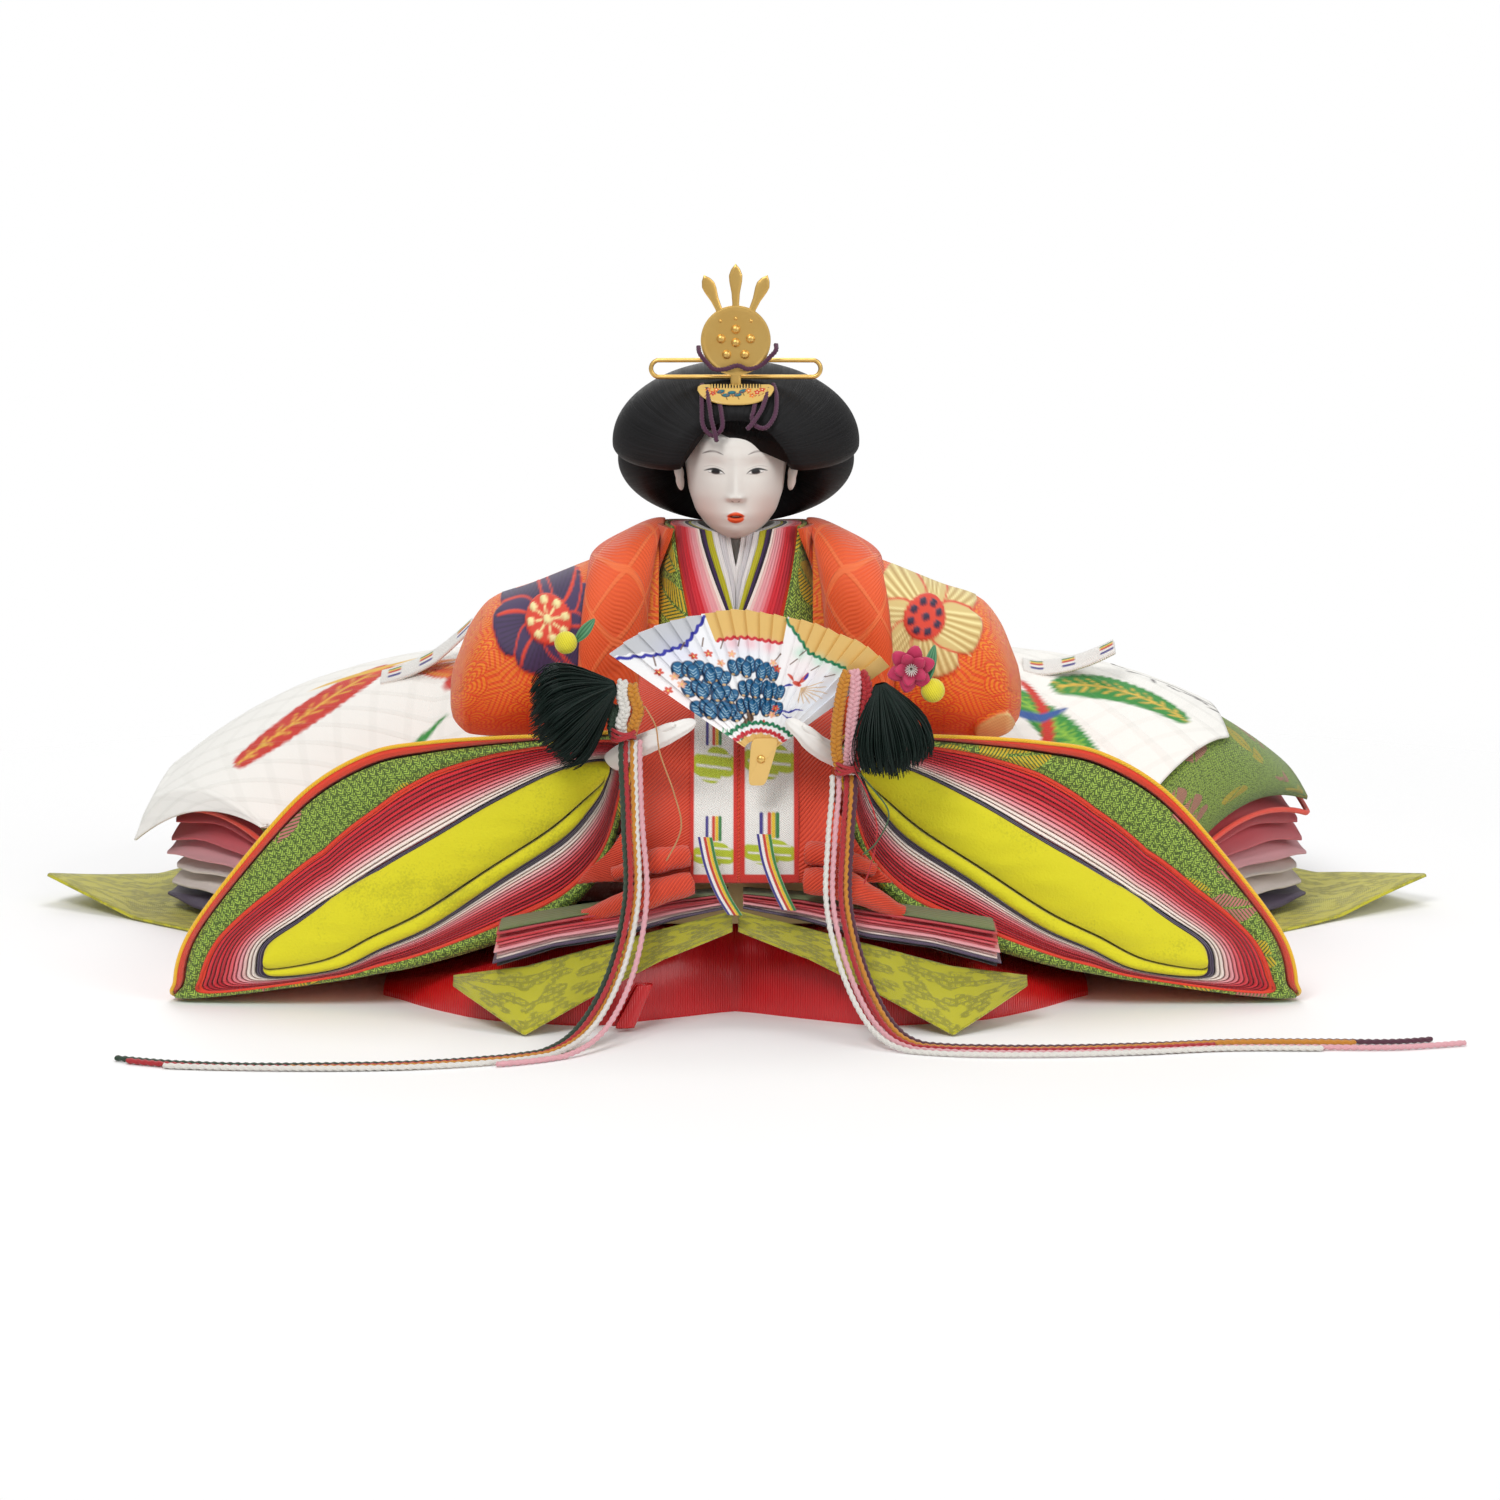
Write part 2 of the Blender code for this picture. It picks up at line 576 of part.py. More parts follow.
# At the sides the pile's front is pressed down behind the sleeves, up to its crest
PILE_FRONT_FALL = 0.50
PILE_CREST_SHARE = 0.50
PRESSED_FROM_X = 0.030
PRESSED_TO_X = 0.100
LIME_WING = 0.232
WING_LIFT = 0.009
WING_FROM_SHARE = 0.86
PILE_FROM_SHARE = 0.78
MEET_Y = 0.03135
MEET_SHARE = (MEET_Y - BACK_FRONT_Y) / BACK_DEPTH
# The pile's top leans on to the back of the coat
TOP_LEAN = 0.0010
# Rows: share of the depth, and half width share of the wing
LIME_FLOOR_SHARES = ((MEET_SHARE, 0.36), (0.0, 0.74), (0.18, 0.86), (0.37, 1.0), (0.62, 0.90), (0.88, 0.78),
                     (1.0, 0.55))
LAYER_HALF_WIDTH = 0.190
# Rows: share of the depth, half width share of the layers, and how far the train drops at the left
LAYER_SHARES = ((MEET_SHARE, 0.20, 0.0), (0.0, 0.80, 0.0), (0.28, 1.0, 1.0), (0.55, 0.97, 1.0),
                (0.78, 0.86, 1.0), (0.92, 0.68, 1.0))
BACK_COLUMNS = 15
LAYER_TOP_SHARE = 0.72
BROCADE_TOP_SHARE = 0.92
BACK_RIDGES = 4
BACK_BULGE = 0.0014
TRAIN_REACH = 0.009
TRAIN_SHORT = 1
TRAIN_DROP = 0.016


def pile_height(x, y):
    across = 1 - PILE_SIDE_FALL * (x / PILE_HALF_WIDTH) ** PILE_ROUNDNESS
    depth = max(0.0, (y - BACK_FRONT_Y) / BACK_DEPTH)
    along = 1 - PILE_BACK_FALL * depth ** PILE_ROUNDNESS
    aside = min(1.0, max(0.0, (abs(x) - PRESSED_FROM_X) / (PRESSED_TO_X - PRESSED_FROM_X)))
    forward = max(0.0, 1 - depth / PILE_CREST_SHARE)
    pressed = 1 - PILE_FRONT_FALL * (forward * aside) ** 2
    return TRAIN_HEIGHT * across * along * pressed


def wing_lift(x, from_share):
    """How far the lime cloth's pointed ends, or what lies on them, stand off the floor."""
    return WING_LIFT * max(0.0, abs(x) / LIME_WING - from_share) / (1 - WING_FROM_SHARE)


def spread(rows, left, right, count):
    """Flat grid of (x, y) between the two edges that the rows give."""
    grid = []
    for along, share, *_ in rows:
        y = BACK_FRONT_Y + BACK_DEPTH * along
        grid.append([(-left * share + (left + right) * share * t, y) for t in steps(count)])
    return grid


def build_back():
    lime = []
    for row in spread(LIME_FLOOR_SHARES, LIME_WING, LIME_WING, BACK_COLUMNS):
        lime.append([Vector((x, y, wing_lift(x, WING_FROM_SHARE))) for x, y in row])
    thick = Vector((0, 0, CLOTH))
    slab("back_lime", [[p + thick for p in row] for row in lime], lime, LIME_SILK)
    flat = spread(LAYER_SHARES, LAYER_HALF_WIDTH, LAYER_HALF_WIDTH, BACK_COLUMNS)
    floor = [[Vector((x, y, CLOTH + GAP + wing_lift(x, PILE_FROM_SHARE))) for x, y in row] for row in flat]
    leaning = [[(x, y - TOP_LEAN) for x, y in flat[0]]] + flat[1:]
    top = [[Vector((x, y, pile_height(x, y) * LAYER_TOP_SHARE)) for x, y in row] for row in leaning]
    slab("back_layers", top, floor, PINK_SILK, BACK_RIDGES, BACK_BULGE)
    under = [[p + Vector((0, 0, GAP)) for p in row] for row in top]
    over = [[Vector((p.x, p.y, pile_height(p.x, p.y) * BROCADE_TOP_SHARE)) for p in row] for row in top]
    slab("back_brocade", over, under, GREEN_BROCADE)
    train = []
    for row, (_, _, fall_share) in zip(over, LAYER_SHARES):
        line = [p + Vector((0, 0, GAP)) for p in row[:-TRAIN_SHORT]]
        corner = line[0] - Vector((BACK_BULGE + GAP, 0, 0))
        fall = Vector((TRAIN_REACH, 0, TRAIN_DROP)) * fall_share
        train.append([corner - Vector((CLOTH, 0, 0)) - fall, corner] + line)
    slab("train", [[p + thick for p in row] for row in train], train, WHITE_SILK)


# Striped ties of the train, standing a little above it
SASH_WIDTH = 0.009
SASH_LENGTH = 0.030
SASH_RISE = 0.012
# Foot of each tie as (x, y), and how far the train's flat strips lie under its true curve there
SASH_PLACES = {"left": (-0.118, 0.084, 0.0010), "right": (0.095, 0.084, 0.0001)}


def build_sashes():
    for word, (x, y, seat) in SASH_PLACES.items():
        under, over = [], []
        for share in steps(6):
            at = x + SASH_LENGTH * share
            row = []
            for across in steps(3):
                place = y + SASH_WIDTH * across
                base = pile_height(at, place) * BROCADE_TOP_SHARE + 2 * GAP + CLOTH - seat
                row.append(Vector((at, place, base + SASH_RISE * share ** 2)))
            under.append(row)
            over.append([p + Vector((0, 0, CLOTH)) for p in row])
        slab("train_sash_" + word, over, under, WHITE_SILK)


# Head: white face and neck in one piece, on the peg
# Rows: share of the head height, half width, front and back shares, all from the neck's axis
HEAD_SHARES = ((0.0, 0.55, 0.80, 0.45), (0.06, 0.70, 0.98, 0.52), (0.20, 0.87, 1.10, 0.60),
               (0.34, 0.97, 1.13, 0.68), (0.52, 1.0, 1.15, 0.76), (0.70, 0.96, 1.12, 0.76),
               (0.84, 0.80, 0.90, 0.62), (0.93, 0.52, 0.58, 0.42), (0.98, 0.22, 0.26, 0.20))
HEAD_SIDES = 20
NOSE_ROW = 3
NOSE_LENGTH = 0.0026
EAR_ROW = 3
EAR_LENGTH = 0.0020


def head_ring(row, grow):
    at, wide, front, back = HEAD_SHARES[row]
    ring = []
    for i in range(HEAD_SIDES):
        turn = 2 * math.pi * i / HEAD_SIDES
        reach = (back if math.cos(turn) > 0 else front) * HEAD_HALF_DEPTH + grow
        side = wide * HEAD_HALF_WIDTH + grow
        if row == EAR_ROW and i in (HEAD_SIDES // 4, 3 * HEAD_SIDES // 4):
            side += EAR_LENGTH
        if row == NOSE_ROW and i == HEAD_SIDES // 2:
            reach += NOSE_LENGTH
        ring.append(Vector((side * math.sin(turn), reach * math.cos(turn), CHIN_HEIGHT + HEAD_HEIGHT * at)))
    return ring


def head_rings(grow):
    neck_foot = TRUNK_TOP + 2 * GAP
    neck_top = CHIN_HEIGHT - GAP - HEAD_SHARES[1][0] * HEAD_HEIGHT / 2
    rings = [oval(Vector((0, 0, z)), NECK_RADIUS + grow, NECK_RADIUS + grow, HEAD_SIDES)
             for z in (neck_foot, neck_top)]
    rings += [head_ring(row, grow) for row in range(len(HEAD_SHARES))]
    if grow:
        rings[-1] = [point + Vector((0, 0, grow)) for point in rings[-1]]
    return rings


# Hair: two bodies of combed silk, hollow for the head, with the tail behind
HAIR_CENTRE = Vector((0, 0.006, 0.165))
HAIR_HALF = Vector((0.0390, 0.0300, 0.0250))
HAIR_TOP = HAIR_CENTRE.z + HAIR_HALF.z
ROLL_CENTRE = Vector((0, 0.014, 0.1585))
ROLL_HALF = Vector((0.0372, 0.0245, 0.0205))
FACE_CENTRE_Z = 0.149
FACE_HALF = Vector((0.0178, 0.060, 0.0222))
FACE_CUT_BACK = -0.006
TAIL_FRONT_Y = 0.0300
TAIL_THICKNESS = 0.0068
TAIL_HALF_WIDTH = 0.0080
TAIL_TOP = 0.1431
TAIL_LENGTH = 0.046
TAIL_SHARES = ((0.0, 0.62, 0.8), (0.12, 0.9, 1.0), (0.22, 0.6, 0.85), (0.34, 0.9, 1.0), (0.85, 1.0, 1.0),
               (1.0, 0.75, 0.7))


def grown(size, extra):
    return Vector([value + extra for value in size])


def build_head():
    loft("head", head_rings(0.0), GOFUN)
    front = ball("hair_front", HAIR_CENTRE, HAIR_HALF, HAIR, 24, 12)
    back = ball("hair_back", ROLL_CENTRE, ROLL_HALF, HAIR, 24, 12)
    room = loft("head_room", head_rings(GAP), HAIR)
    face = bmesh.new()
    bmesh.ops.create_cone(face, cap_ends=True, segments=24, radius1=1, radius2=1, depth=1)
    bmesh.ops.rotate(face, verts=face.verts, matrix=Vector((0, 1, 0)).rotation_difference(
        Vector((0, 0, 1))).to_matrix())
    bmesh.ops.scale(face, vec=FACE_HALF, verts=face.verts)
    bmesh.ops.translate(face, vec=(0, FACE_CUT_BACK - FACE_HALF.y / 2, FACE_CENTRE_Z), verts=face.verts)
    face_cut = publish("face_cut", face, HAIR)
    lobes = ball("lobes_room", HAIR_CENTRE, grown(HAIR_HALF, GAP), HAIR, 24, 12)
    boolean(front, room, "DIFFERENCE")
    boolean(front, face_cut, "DIFFERENCE")
    boolean(front, stem_room(), "DIFFERENCE")
    boolean(back, room, "DIFFERENCE")
    boolean(back, face_cut, "DIFFERENCE")
    boolean(back, lobes, "DIFFERENCE")
    rings = []
    for down, wide, deep in TAIL_SHARES:
        centre = Vector((0, TAIL_FRONT_Y + TAIL_THICKNESS / 2, TAIL_TOP - TAIL_LENGTH * down))
        rings.append(oval(centre, TAIL_HALF_WIDTH * wide, TAIL_THICKNESS / 2 * deep, 12))
    loft("hair_tail", rings, HAIR)


# Crown, hairpin, comb and cord, all pinned in the hair
CROWN_Y = -0.0135
CROWN_THICKNESS = 0.0009
CROWN_RADIUS = 0.0108
CROWN_RISE = 0.0076
CROWN_CENTRE_Z = HAIR_TOP + CROWN_RISE
PRONG_TIPS = ((-0.0096, 0.0199), (0.0, 0.0235), (0.0096, 0.0199))
PRONG_HALF_WIDTH = 0.0021
PRONG_SHARE = 0.72
STEM_HALF_WIDTH = 0.0016
STEM_LENGTH = 0.0082
STEM_CLEARANCE = 0.0004
DOME_RADIUS = 0.0014
DOME_SHARES = ((0.0, 0.32), (-0.42, 0.05), (0.42, 0.05), (0.0, -0.06), (-0.26, -0.40), (0.26, -0.40))
PIN_RADIUS = 0.0007
PIN_HALF_LENGTH = 0.0262
PIN_HALF_HEIGHT = 0.0026
PIN_DROP = 0.0012
PIN_CENTRE = Vector((0, -0.0117, HAIR_TOP - PIN_DROP))
COMB_HALF_WIDTH = 0.0118
COMB_HEIGHT = 0.0080
COMB_THICKNESS = 0.0012
COMB_DROP = 0.0119
COMB_FOOT = Vector((0, -0.0201, HAIR_TOP - COMB_DROP))
COMB_TILT = math.radians(40)
CROWN_CORD_RADIUS = 0.0008
# The cord's route over the hair, as (x, z)
CROWN_CORD_ROUTE = ((-0.0095, 0.1775), (-0.0102, 0.1725), (-0.0078, 0.1670), (-0.0052, 0.1712),
                    (-0.0030, 0.1752), (0.0000, 0.1764), (0.0030, 0.1752), (0.0044, 0.1722),
                    (0.0060, 0.1690), (0.0085, 0.1728), (0.0095, 0.1775))


def stem_room():
    low = CROWN_CENTRE_Z - CROWN_RADIUS - STEM_LENGTH
    reach = STEM_HALF_WIDTH + STEM_CLEARANCE
    thick = CROWN_THICKNESS / 2 + STEM_CLEARANCE
    return bar("stem_room", (-reach, CROWN_Y - thick, low),
               (reach, CROWN_Y + thick, CROWN_CENTRE_Z), HAIR)


def crown_outline():
    """The disc's rim with three spear-shaped prongs on top and the stem below, as (x, z)."""
    points = []
    for x, z in PRONG_TIPS[::-1]:
        tip = Vector((x, z))
        foot = tip.normalized() * CROWN_RADIUS * 0.97
        across = Vector((tip.y, -tip.x)).normalized() * PRONG_HALF_WIDTH
        for at, wide in ((0.0, 0.45), (PRONG_SHARE, 1.0), (1.0, 0.06)):
            points.append(foot.lerp(tip, at) + across * wide)
        for at, wide in ((PRONG_SHARE, 1.0), (0.0, 0.45)):
            points.append(foot.lerp(tip, at) - across * wide)
    start = math.radians(140)
    end = math.radians(400)
    count = 20
    stem_turn = math.radians(270)
    for i in range(count):
        turn = start + (end - start) * i / (count - 1)
        if abs(turn - stem_turn) < math.asin(STEM_HALF_WIDTH / CROWN_RADIUS) + math.radians(3):
            continue
        rim = Vector((math.cos(turn), math.sin(turn))) * CROWN_RADIUS
        if turn > stem_turn and points[-1].x < 0:
            points += [Vector((side * STEM_HALF_WIDTH, z)) for side, z in (
                (-1, -CROWN_RADIUS * 0.98), (-1, -CROWN_RADIUS - STEM_LENGTH + STEM_CLEARANCE),
                (1, -CROWN_RADIUS - STEM_LENGTH + STEM_CLEARANCE), (1, -CROWN_RADIUS * 0.98))]
        points.append(rim)
    return points


def build_crown():
    outline = crown_outline()
    rings = [[Vector((p.x, CROWN_Y + side * CROWN_THICKNESS / 2, CROWN_CENTRE_Z + p.y)) for p in outline]
             for side in (-1, 1)]
    crown = loft("crown", rings, GOLD)
    for number, (across, up) in enumerate(DOME_SHARES):
        place = Vector((CROWN_RADIUS * across, CROWN_Y - CROWN_THICKNESS / 2, CROWN_CENTRE_Z + CROWN_RADIUS * up))
        dome = ball("dome_%d" % number, place, (DOME_RADIUS, DOME_RADIUS * 0.7, DOME_RADIUS), GOLD, 8, 6)
        boolean(crown, dome, "UNION")
    loop = []
    for end in (-1, 1):
        for i in range(5):
            turn = math.radians(-90 + 45 * i) * end
            across = end * (PIN_HALF_LENGTH - PIN_HALF_HEIGHT) + end * PIN_HALF_HEIGHT * math.cos(turn)
            loop.append(PIN_CENTRE + Vector((across, 0, PIN_HALF_HEIGHT * math.sin(turn))))
    tube("hairpin", loop, PIN_RADIUS, GOLD, closed=True)


def build_comb():
    rim = []
    for i in range(13):
        turn = math.pi * (1 + i / 12)
        rim.append(Vector((COMB_HALF_WIDTH * math.cos(turn), COMB_HEIGHT * (1 + math.sin(turn)))))
    up = Vector((0, math.sin(COMB_TILT), math.cos(COMB_TILT)))
    out = Vector((0, -math.cos(COMB_TILT), math.sin(COMB_TILT)))
    rings = [[COMB_FOOT + Vector((p.x, 0, 0)) + up * p.y + out * level for p in rim]
             for level in (0.0, COMB_THICKNESS)]
    loft("comb", rings, LACQUER)
    route = [(x, hair_front_y(x, z) - CROWN_CORD_RADIUS - GAP, z) for x, z in CROWN_CORD_ROUTE]
    tube("crown_cord", curved(route, CROWN_CORD_RADIUS * 4), CROWN_CORD_RADIUS, PURPLE_CORD)


def hair_front_y(x, z):
    """Where the front of the hair lies; below the forehead's edge a cord hangs straight from it."""
    up = max(z, FACE_CENTRE_Z + FACE_HALF.z) - HAIR_CENTRE.z
    return HAIR_CENTRE.y - HAIR_HALF.y * math.sqrt(1 - (x / HAIR_HALF.x) ** 2 - (up / HAIR_HALF.z) ** 2)


# Fan of overlapping blades on one rivet, with its knots, tassels, silk flowers and cords
FAN_RIVET = Vector((0.0077, -0.0880, 0.0790))
FAN_LOW_TURN = math.radians(36)
FAN_HIGH_TURN = math.radians(145)
FAN_BLADES = 20
FAN_THICKNESS = 0.0010
FAN_STEP = 0.0006
FAN_ROOT = 0.0075
FAN_TAIL = 0.0080
FAN_TAIL_HALF_WIDTH = 0.0034
RIVET_RADIUS = 0.0012
RIVET_CLEARANCE = 0.0003
RIVET_HEAD = 0.0008


def build_fan():
    front, back = [], []
    for blade in range(FAN_BLADES):
        for end, raise_share in ((0.0, 1.0), (0.96, 0.0)):
            turn = FAN_HIGH_TURN + (FAN_LOW_TURN - FAN_HIGH_TURN) * (blade + end) / FAN_BLADES
            aim = Vector((math.cos(turn), 0, math.sin(turn)))
            step = Vector((0, -FAN_STEP * raise_share, 0))
            half = Vector((0, FAN_THICKNESS / 2, 0))
            row = [FAN_RIVET + aim * (FAN_ROOT + (FAN_LENGTH - FAN_ROOT) * t) + step for t in steps(2)]
            front.append([p - half for p in row])
            back.append([p + half for p in row])
    fan = slab("fan", front, back, FAN_WHITE)
    reach = Vector((FAN_TAIL_HALF_WIDTH, FAN_THICKNESS / 2 + FAN_STEP, 0))
    tail = bar("fan_tail", FAN_RIVET - reach - Vector((0, 0, FAN_TAIL)),
               FAN_RIVET + reach + Vector((0, 0, FAN_ROOT * 1.6)), FAN_WHITE)
    boolean(fan, tail, "UNION")
    hole = rivet_pin("rivet_hole", RIVET_RADIUS + RIVET_CLEARANCE, FAN_THICKNESS * 4)
    boolean(fan, hole, "DIFFERENCE")
    reach = FAN_THICKNESS / 2 + FAN_STEP + RIVET_CLEARANCE
    wide = RIVET_RADIUS * 1.8
    profile = ((wide * 0.6, -reach - RIVET_HEAD), (wide, -reach), (RIVET_RADIUS, -reach),
               (RIVET_RADIUS, reach), (wide, reach), (wide * 0.6, reach + RIVET_HEAD))
    rings = [[FAN_RIVET + Vector((r * math.cos(a), y, r * math.sin(a)))
              for a in (2 * math.pi * i / 12 for i in range(12))] for r, y in profile]
    loft("fan_rivet", rings, GOLD)


def rivet_pin(name, radius, length):
    rings = [[FAN_RIVET + Vector((radius * math.cos(a), y, radius * math.sin(a)))
              for a in (2 * math.pi * i / 12 for i in range(12))] for y in (-length / 2, length / 2)]
    return loft(name, rings, GOLD)


KNOT_FRONT_Y = -0.0948
KNOT_DEPTH = 0.0044
KNOT_ROUNDING = 0.0012
KNOT_PLACES = {"left": (-0.0362, -0.0272, 0.0866, 0.1045), "right": (0.0278, 0.0378, 0.0760, 0.1070)}
TASSEL_CENTRES = {"left": Vector((-0.0508, -0.0925, 0.0985)), "right": Vector((0.0484, -0.0925, 0.0895))}
TASSEL_HALVES = {"left": Vector((0.0142, 0.0080, 0.0130)), "right": Vector((0.0100, 0.0075, 0.0125))}
ORNAMENT_RADIUS = {"left": 0.0031, "right": 0.0052}
ORNAMENT_DEPTH = 0.0062


def build_trims():
    for word, (low_x, high_x, low_z, high_z) in KNOT_PLACES.items():
        bar("knot_" + word, (low_x, KNOT_FRONT_Y, low_z), (high_x, KNOT_FRONT_Y + KNOT_DEPTH, high_z),
            GOLD_CORD, KNOT_ROUNDING)
        centre = TASSEL_CENTRES[word]
        half = TASSEL_HALVES[word]
        ball("tassel_" + word, centre, half, GREEN_CORD, 16, 10)
        radius = ORNAMENT_RADIUS[word]
        place = centre + Vector((0, 0, half.z + radius + GAP))
        ball("ornament_" + word, place, (radius, ORNAMENT_DEPTH / 2, radius), BLOSSOM, 12, 8)


# Twisted cords: from the knots down over the hems and along the floor
CORD_ROUTES = {
    "cord_left_outer": (GREEN_CORD, (
        (-0.0338, -0.0930, 0.0856), (-0.0338, -0.0945, 0.0780), (-0.0330, -0.0985, 0.0600),
        (-0.0325, -0.1045, 0.0400), (-0.0370, -0.1130, 0.0200), (-0.0455, -0.1260, 0.0060),
        (-0.0560, -0.1385, 0.0010), (-0.0720, -0.1480, 0.0010), (-0.0920, -0.1540, 0.0010),
        (-0.1150, -0.1565, 0.0010), (-0.1400, -0.1570, 0.0010), (-0.1620, -0.1535, 0.0010),
        (-0.1790, -0.1470, 0.0010))),
    "cord_left_inner": (WHITE_CORD, (
        (-0.0296, -0.0930, 0.0856), (-0.0296, -0.0945, 0.0780), (-0.0290, -0.0990, 0.0600),
        (-0.0285, -0.1055, 0.0400), (-0.0330, -0.1150, 0.0200), (-0.0415, -0.1290, 0.0060),
        (-0.0530, -0.1425, 0.0010), (-0.0700, -0.1525, 0.0010), (-0.0920, -0.1590, 0.0010),
        (-0.1160, -0.1615, 0.0010), (-0.1420, -0.1610, 0.0010), (-0.1630, -0.1580, 0.0010),
        (-0.1800, -0.1525, 0.0010))),
    "cord_right_outer": (GOLD_CORD, (
        (0.0346, -0.0930, 0.0750), (0.0345, -0.0945, 0.0690), (0.0335, -0.0985, 0.0560),
        (0.0330, -0.1050, 0.0380), (0.0375, -0.1130, 0.0200), (0.0450, -0.1225, 0.0060),
        (0.0540, -0.1300, 0.0010), (0.0700, -0.1345, 0.0010), (0.0930, -0.1350, 0.0010),
        (0.1180, -0.1320, 0.0010), (0.1450, -0.1270, 0.0010), (0.1700, -0.1265, 0.0010),
        (0.1920, -0.1270, 0.0010), (0.2110, -0.1210, 0.0010))),
    "cord_right_inner": (PINK_CORD, (
        (0.0308, -0.0930, 0.0750), (0.0307, -0.0945, 0.0690), (0.0295, -0.0990, 0.0560),
        (0.0290, -0.1065, 0.0380), (0.0335, -0.1160, 0.0200), (0.0415, -0.1265, 0.0060),
        (0.0520, -0.1350, 0.0010), (0.0700, -0.1400, 0.0010), (0.0930, -0.1405, 0.0010),
        (0.1180, -0.1380, 0.0010), (0.1450, -0.1330, 0.0010), (0.1700, -0.1325, 0.0010),
        (0.1930, -0.1325, 0.0010), (0.2140, -0.1265, 0.0010)))}
CORD_SPACING = 3


def build_cords():
    for name, (finish, route) in CORD_ROUTES.items():
        points = curved(route, CORD_DIAMETER * CORD_SPACING)
        for point in points:
            point.z = max(point.z, CORD_DIAMETER / 2)
        tube(name, points, CORD_DIAMETER / 2, finish)


# Hands: carved white fingers that hold the fan from the sleeves
HAND_RADIUS = 0.0036
HAND_ROUTES = {
    "left": ((-0.0365, -0.0780, 0.0765), (-0.0330, -0.0835, 0.0800), (-0.0260, -0.0890, 0.0840),
             (-0.0180, -0.0925, 0.0880), (-0.0115, -0.0912, 0.0910)),
    "right": ((0.0365, -0.0780, 0.0750), (0.0310, -0.0835, 0.0785), (0.0240, -0.0895, 0.0835),
              (0.0195, -0.0926, 0.0880), (0.0160, -0.0912, 0.0915))}
HAND_GIRTH_SHARES = (0.75, 0.90, 1.0, 0.80, 0.45)


def build_hands():
    for word, route in HAND_ROUTES.items():
        points = curved(route, HAND_RADIUS)
        marks = [(i / (len(route) - 1), share) for i, share in enumerate(HAND_GIRTH_SHARES)]
        girth = [table(marks, at)[0] for at in steps(len(points))]
        tube("hand_" + word, points, HAND_RADIUS, GOFUN, girth=girth, sides=3)


build_hakama()
build_trunk()
build_robes()
build_shoulders()
build_sleeves()
build_lap()
build_hems()
build_back()
build_sashes()
build_head()
build_crown()
build_comb()
build_fan()
build_trims()
build_cords()
build_hands()
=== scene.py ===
import math
import random

import bmesh
import bpy
import numpy as np
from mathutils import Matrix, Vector, noise


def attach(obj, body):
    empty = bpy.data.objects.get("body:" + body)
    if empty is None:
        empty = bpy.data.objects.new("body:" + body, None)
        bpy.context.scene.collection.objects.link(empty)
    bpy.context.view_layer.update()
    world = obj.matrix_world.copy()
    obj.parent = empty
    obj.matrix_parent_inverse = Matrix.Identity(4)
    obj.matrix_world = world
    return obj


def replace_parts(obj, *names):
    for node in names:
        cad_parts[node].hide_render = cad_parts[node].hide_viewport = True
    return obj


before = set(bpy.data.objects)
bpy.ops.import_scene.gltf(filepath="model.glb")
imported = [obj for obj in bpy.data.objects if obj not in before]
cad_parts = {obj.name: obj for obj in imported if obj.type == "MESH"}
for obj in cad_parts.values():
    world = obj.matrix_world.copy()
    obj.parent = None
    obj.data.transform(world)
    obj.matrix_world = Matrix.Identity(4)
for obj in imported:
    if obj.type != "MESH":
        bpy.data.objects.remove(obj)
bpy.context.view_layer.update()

# Studio: the photo's view, nine degrees above the doll through a long lens, on a white floor
# that keeps the doll's soft shadow, under broad soft lamps
VIEW_AIM = Vector((0.0044, 0.0, 0.0676))
VIEW_TILT = math.radians(9)
VIEW_DISTANCE = 1.6
VIEW_LENS = 121.9
FLOOR_HALF = 3.0
FLOOR_CLEAR_FROM = 0.30
FLOOR_CLEAR_TO = 0.62
SKY_LIGHT = 0.42
# Rows: name, place, width and power
LAMPS = (("key", Vector((-0.7, -1.7, 1.9)), 0.9, 30.0), ("fill", Vector((1.5, -1.3, 1.0)), 1.2, 13.0),
         ("top", Vector((0.1, 0.5, 1.7)), 0.9, 9.0), ("rim", Vector((-0.3, 2.2, 1.0)), 1.2, 8.0))

scene = bpy.context.scene
scene.view_settings.view_transform = "Standard"


def dye(red, green, blue):
    """A colour written as the eye sees it, 0 to 255, in the linear values that shaders take."""
    shares = [value / 255 for value in (red, green, blue)]
    linear = [s / 12.92 if s < 0.04045 else ((s + 0.055) / 1.055) ** 2.4 for s in shares]
    return (*linear, 1.0)


class Shade:
    """A value that varies over a surface; arithmetic on it adds the Math nodes."""

    def __init__(self, finish, socket):
        self.finish = finish
        self.socket = socket

    def math(self, operation, *values):
        return self.finish.node("Math", {"operation": operation}, dict(enumerate(values)))

    def __add__(self, other):
        return self.math("ADD", self, other)

    def __sub__(self, other):
        return self.math("SUBTRACT", self, other)

    def __rsub__(self, other):
        return self.math("SUBTRACT", other, self)

    def __mul__(self, other):
        return self.math("MULTIPLY", self, other)

    def __truediv__(self, other):
        return self.math("DIVIDE", self, other)

    def __gt__(self, other):
        return self.math("GREATER_THAN", self, other)

    def __lt__(self, other):
        return self.math("LESS_THAN", self, other)

    def __pow__(self, other):
        return self.math("POWER", self, other)

    def __abs__(self):
        return self.math("ABSOLUTE", self)

    __radd__ = __add__
    __rmul__ = __mul__

    def wave(self, pitch):
        """A smooth ridge from 0 to 1 for each pitch of the value."""
        turns = self * (2 * math.pi / pitch)
        return turns.math("SINE", turns) * 0.5 + 0.5

    def clear(self, low, high):
        """0 below low, 1 above high and smooth between."""
        ramp = {"interpolation_type": "SMOOTHSTEP"}
        return self.finish.node("MapRange", ramp, {0: self, 1: low, 2: high})

    def out(self, name):
        return Shade(self.finish, self.socket.node.outputs[name])


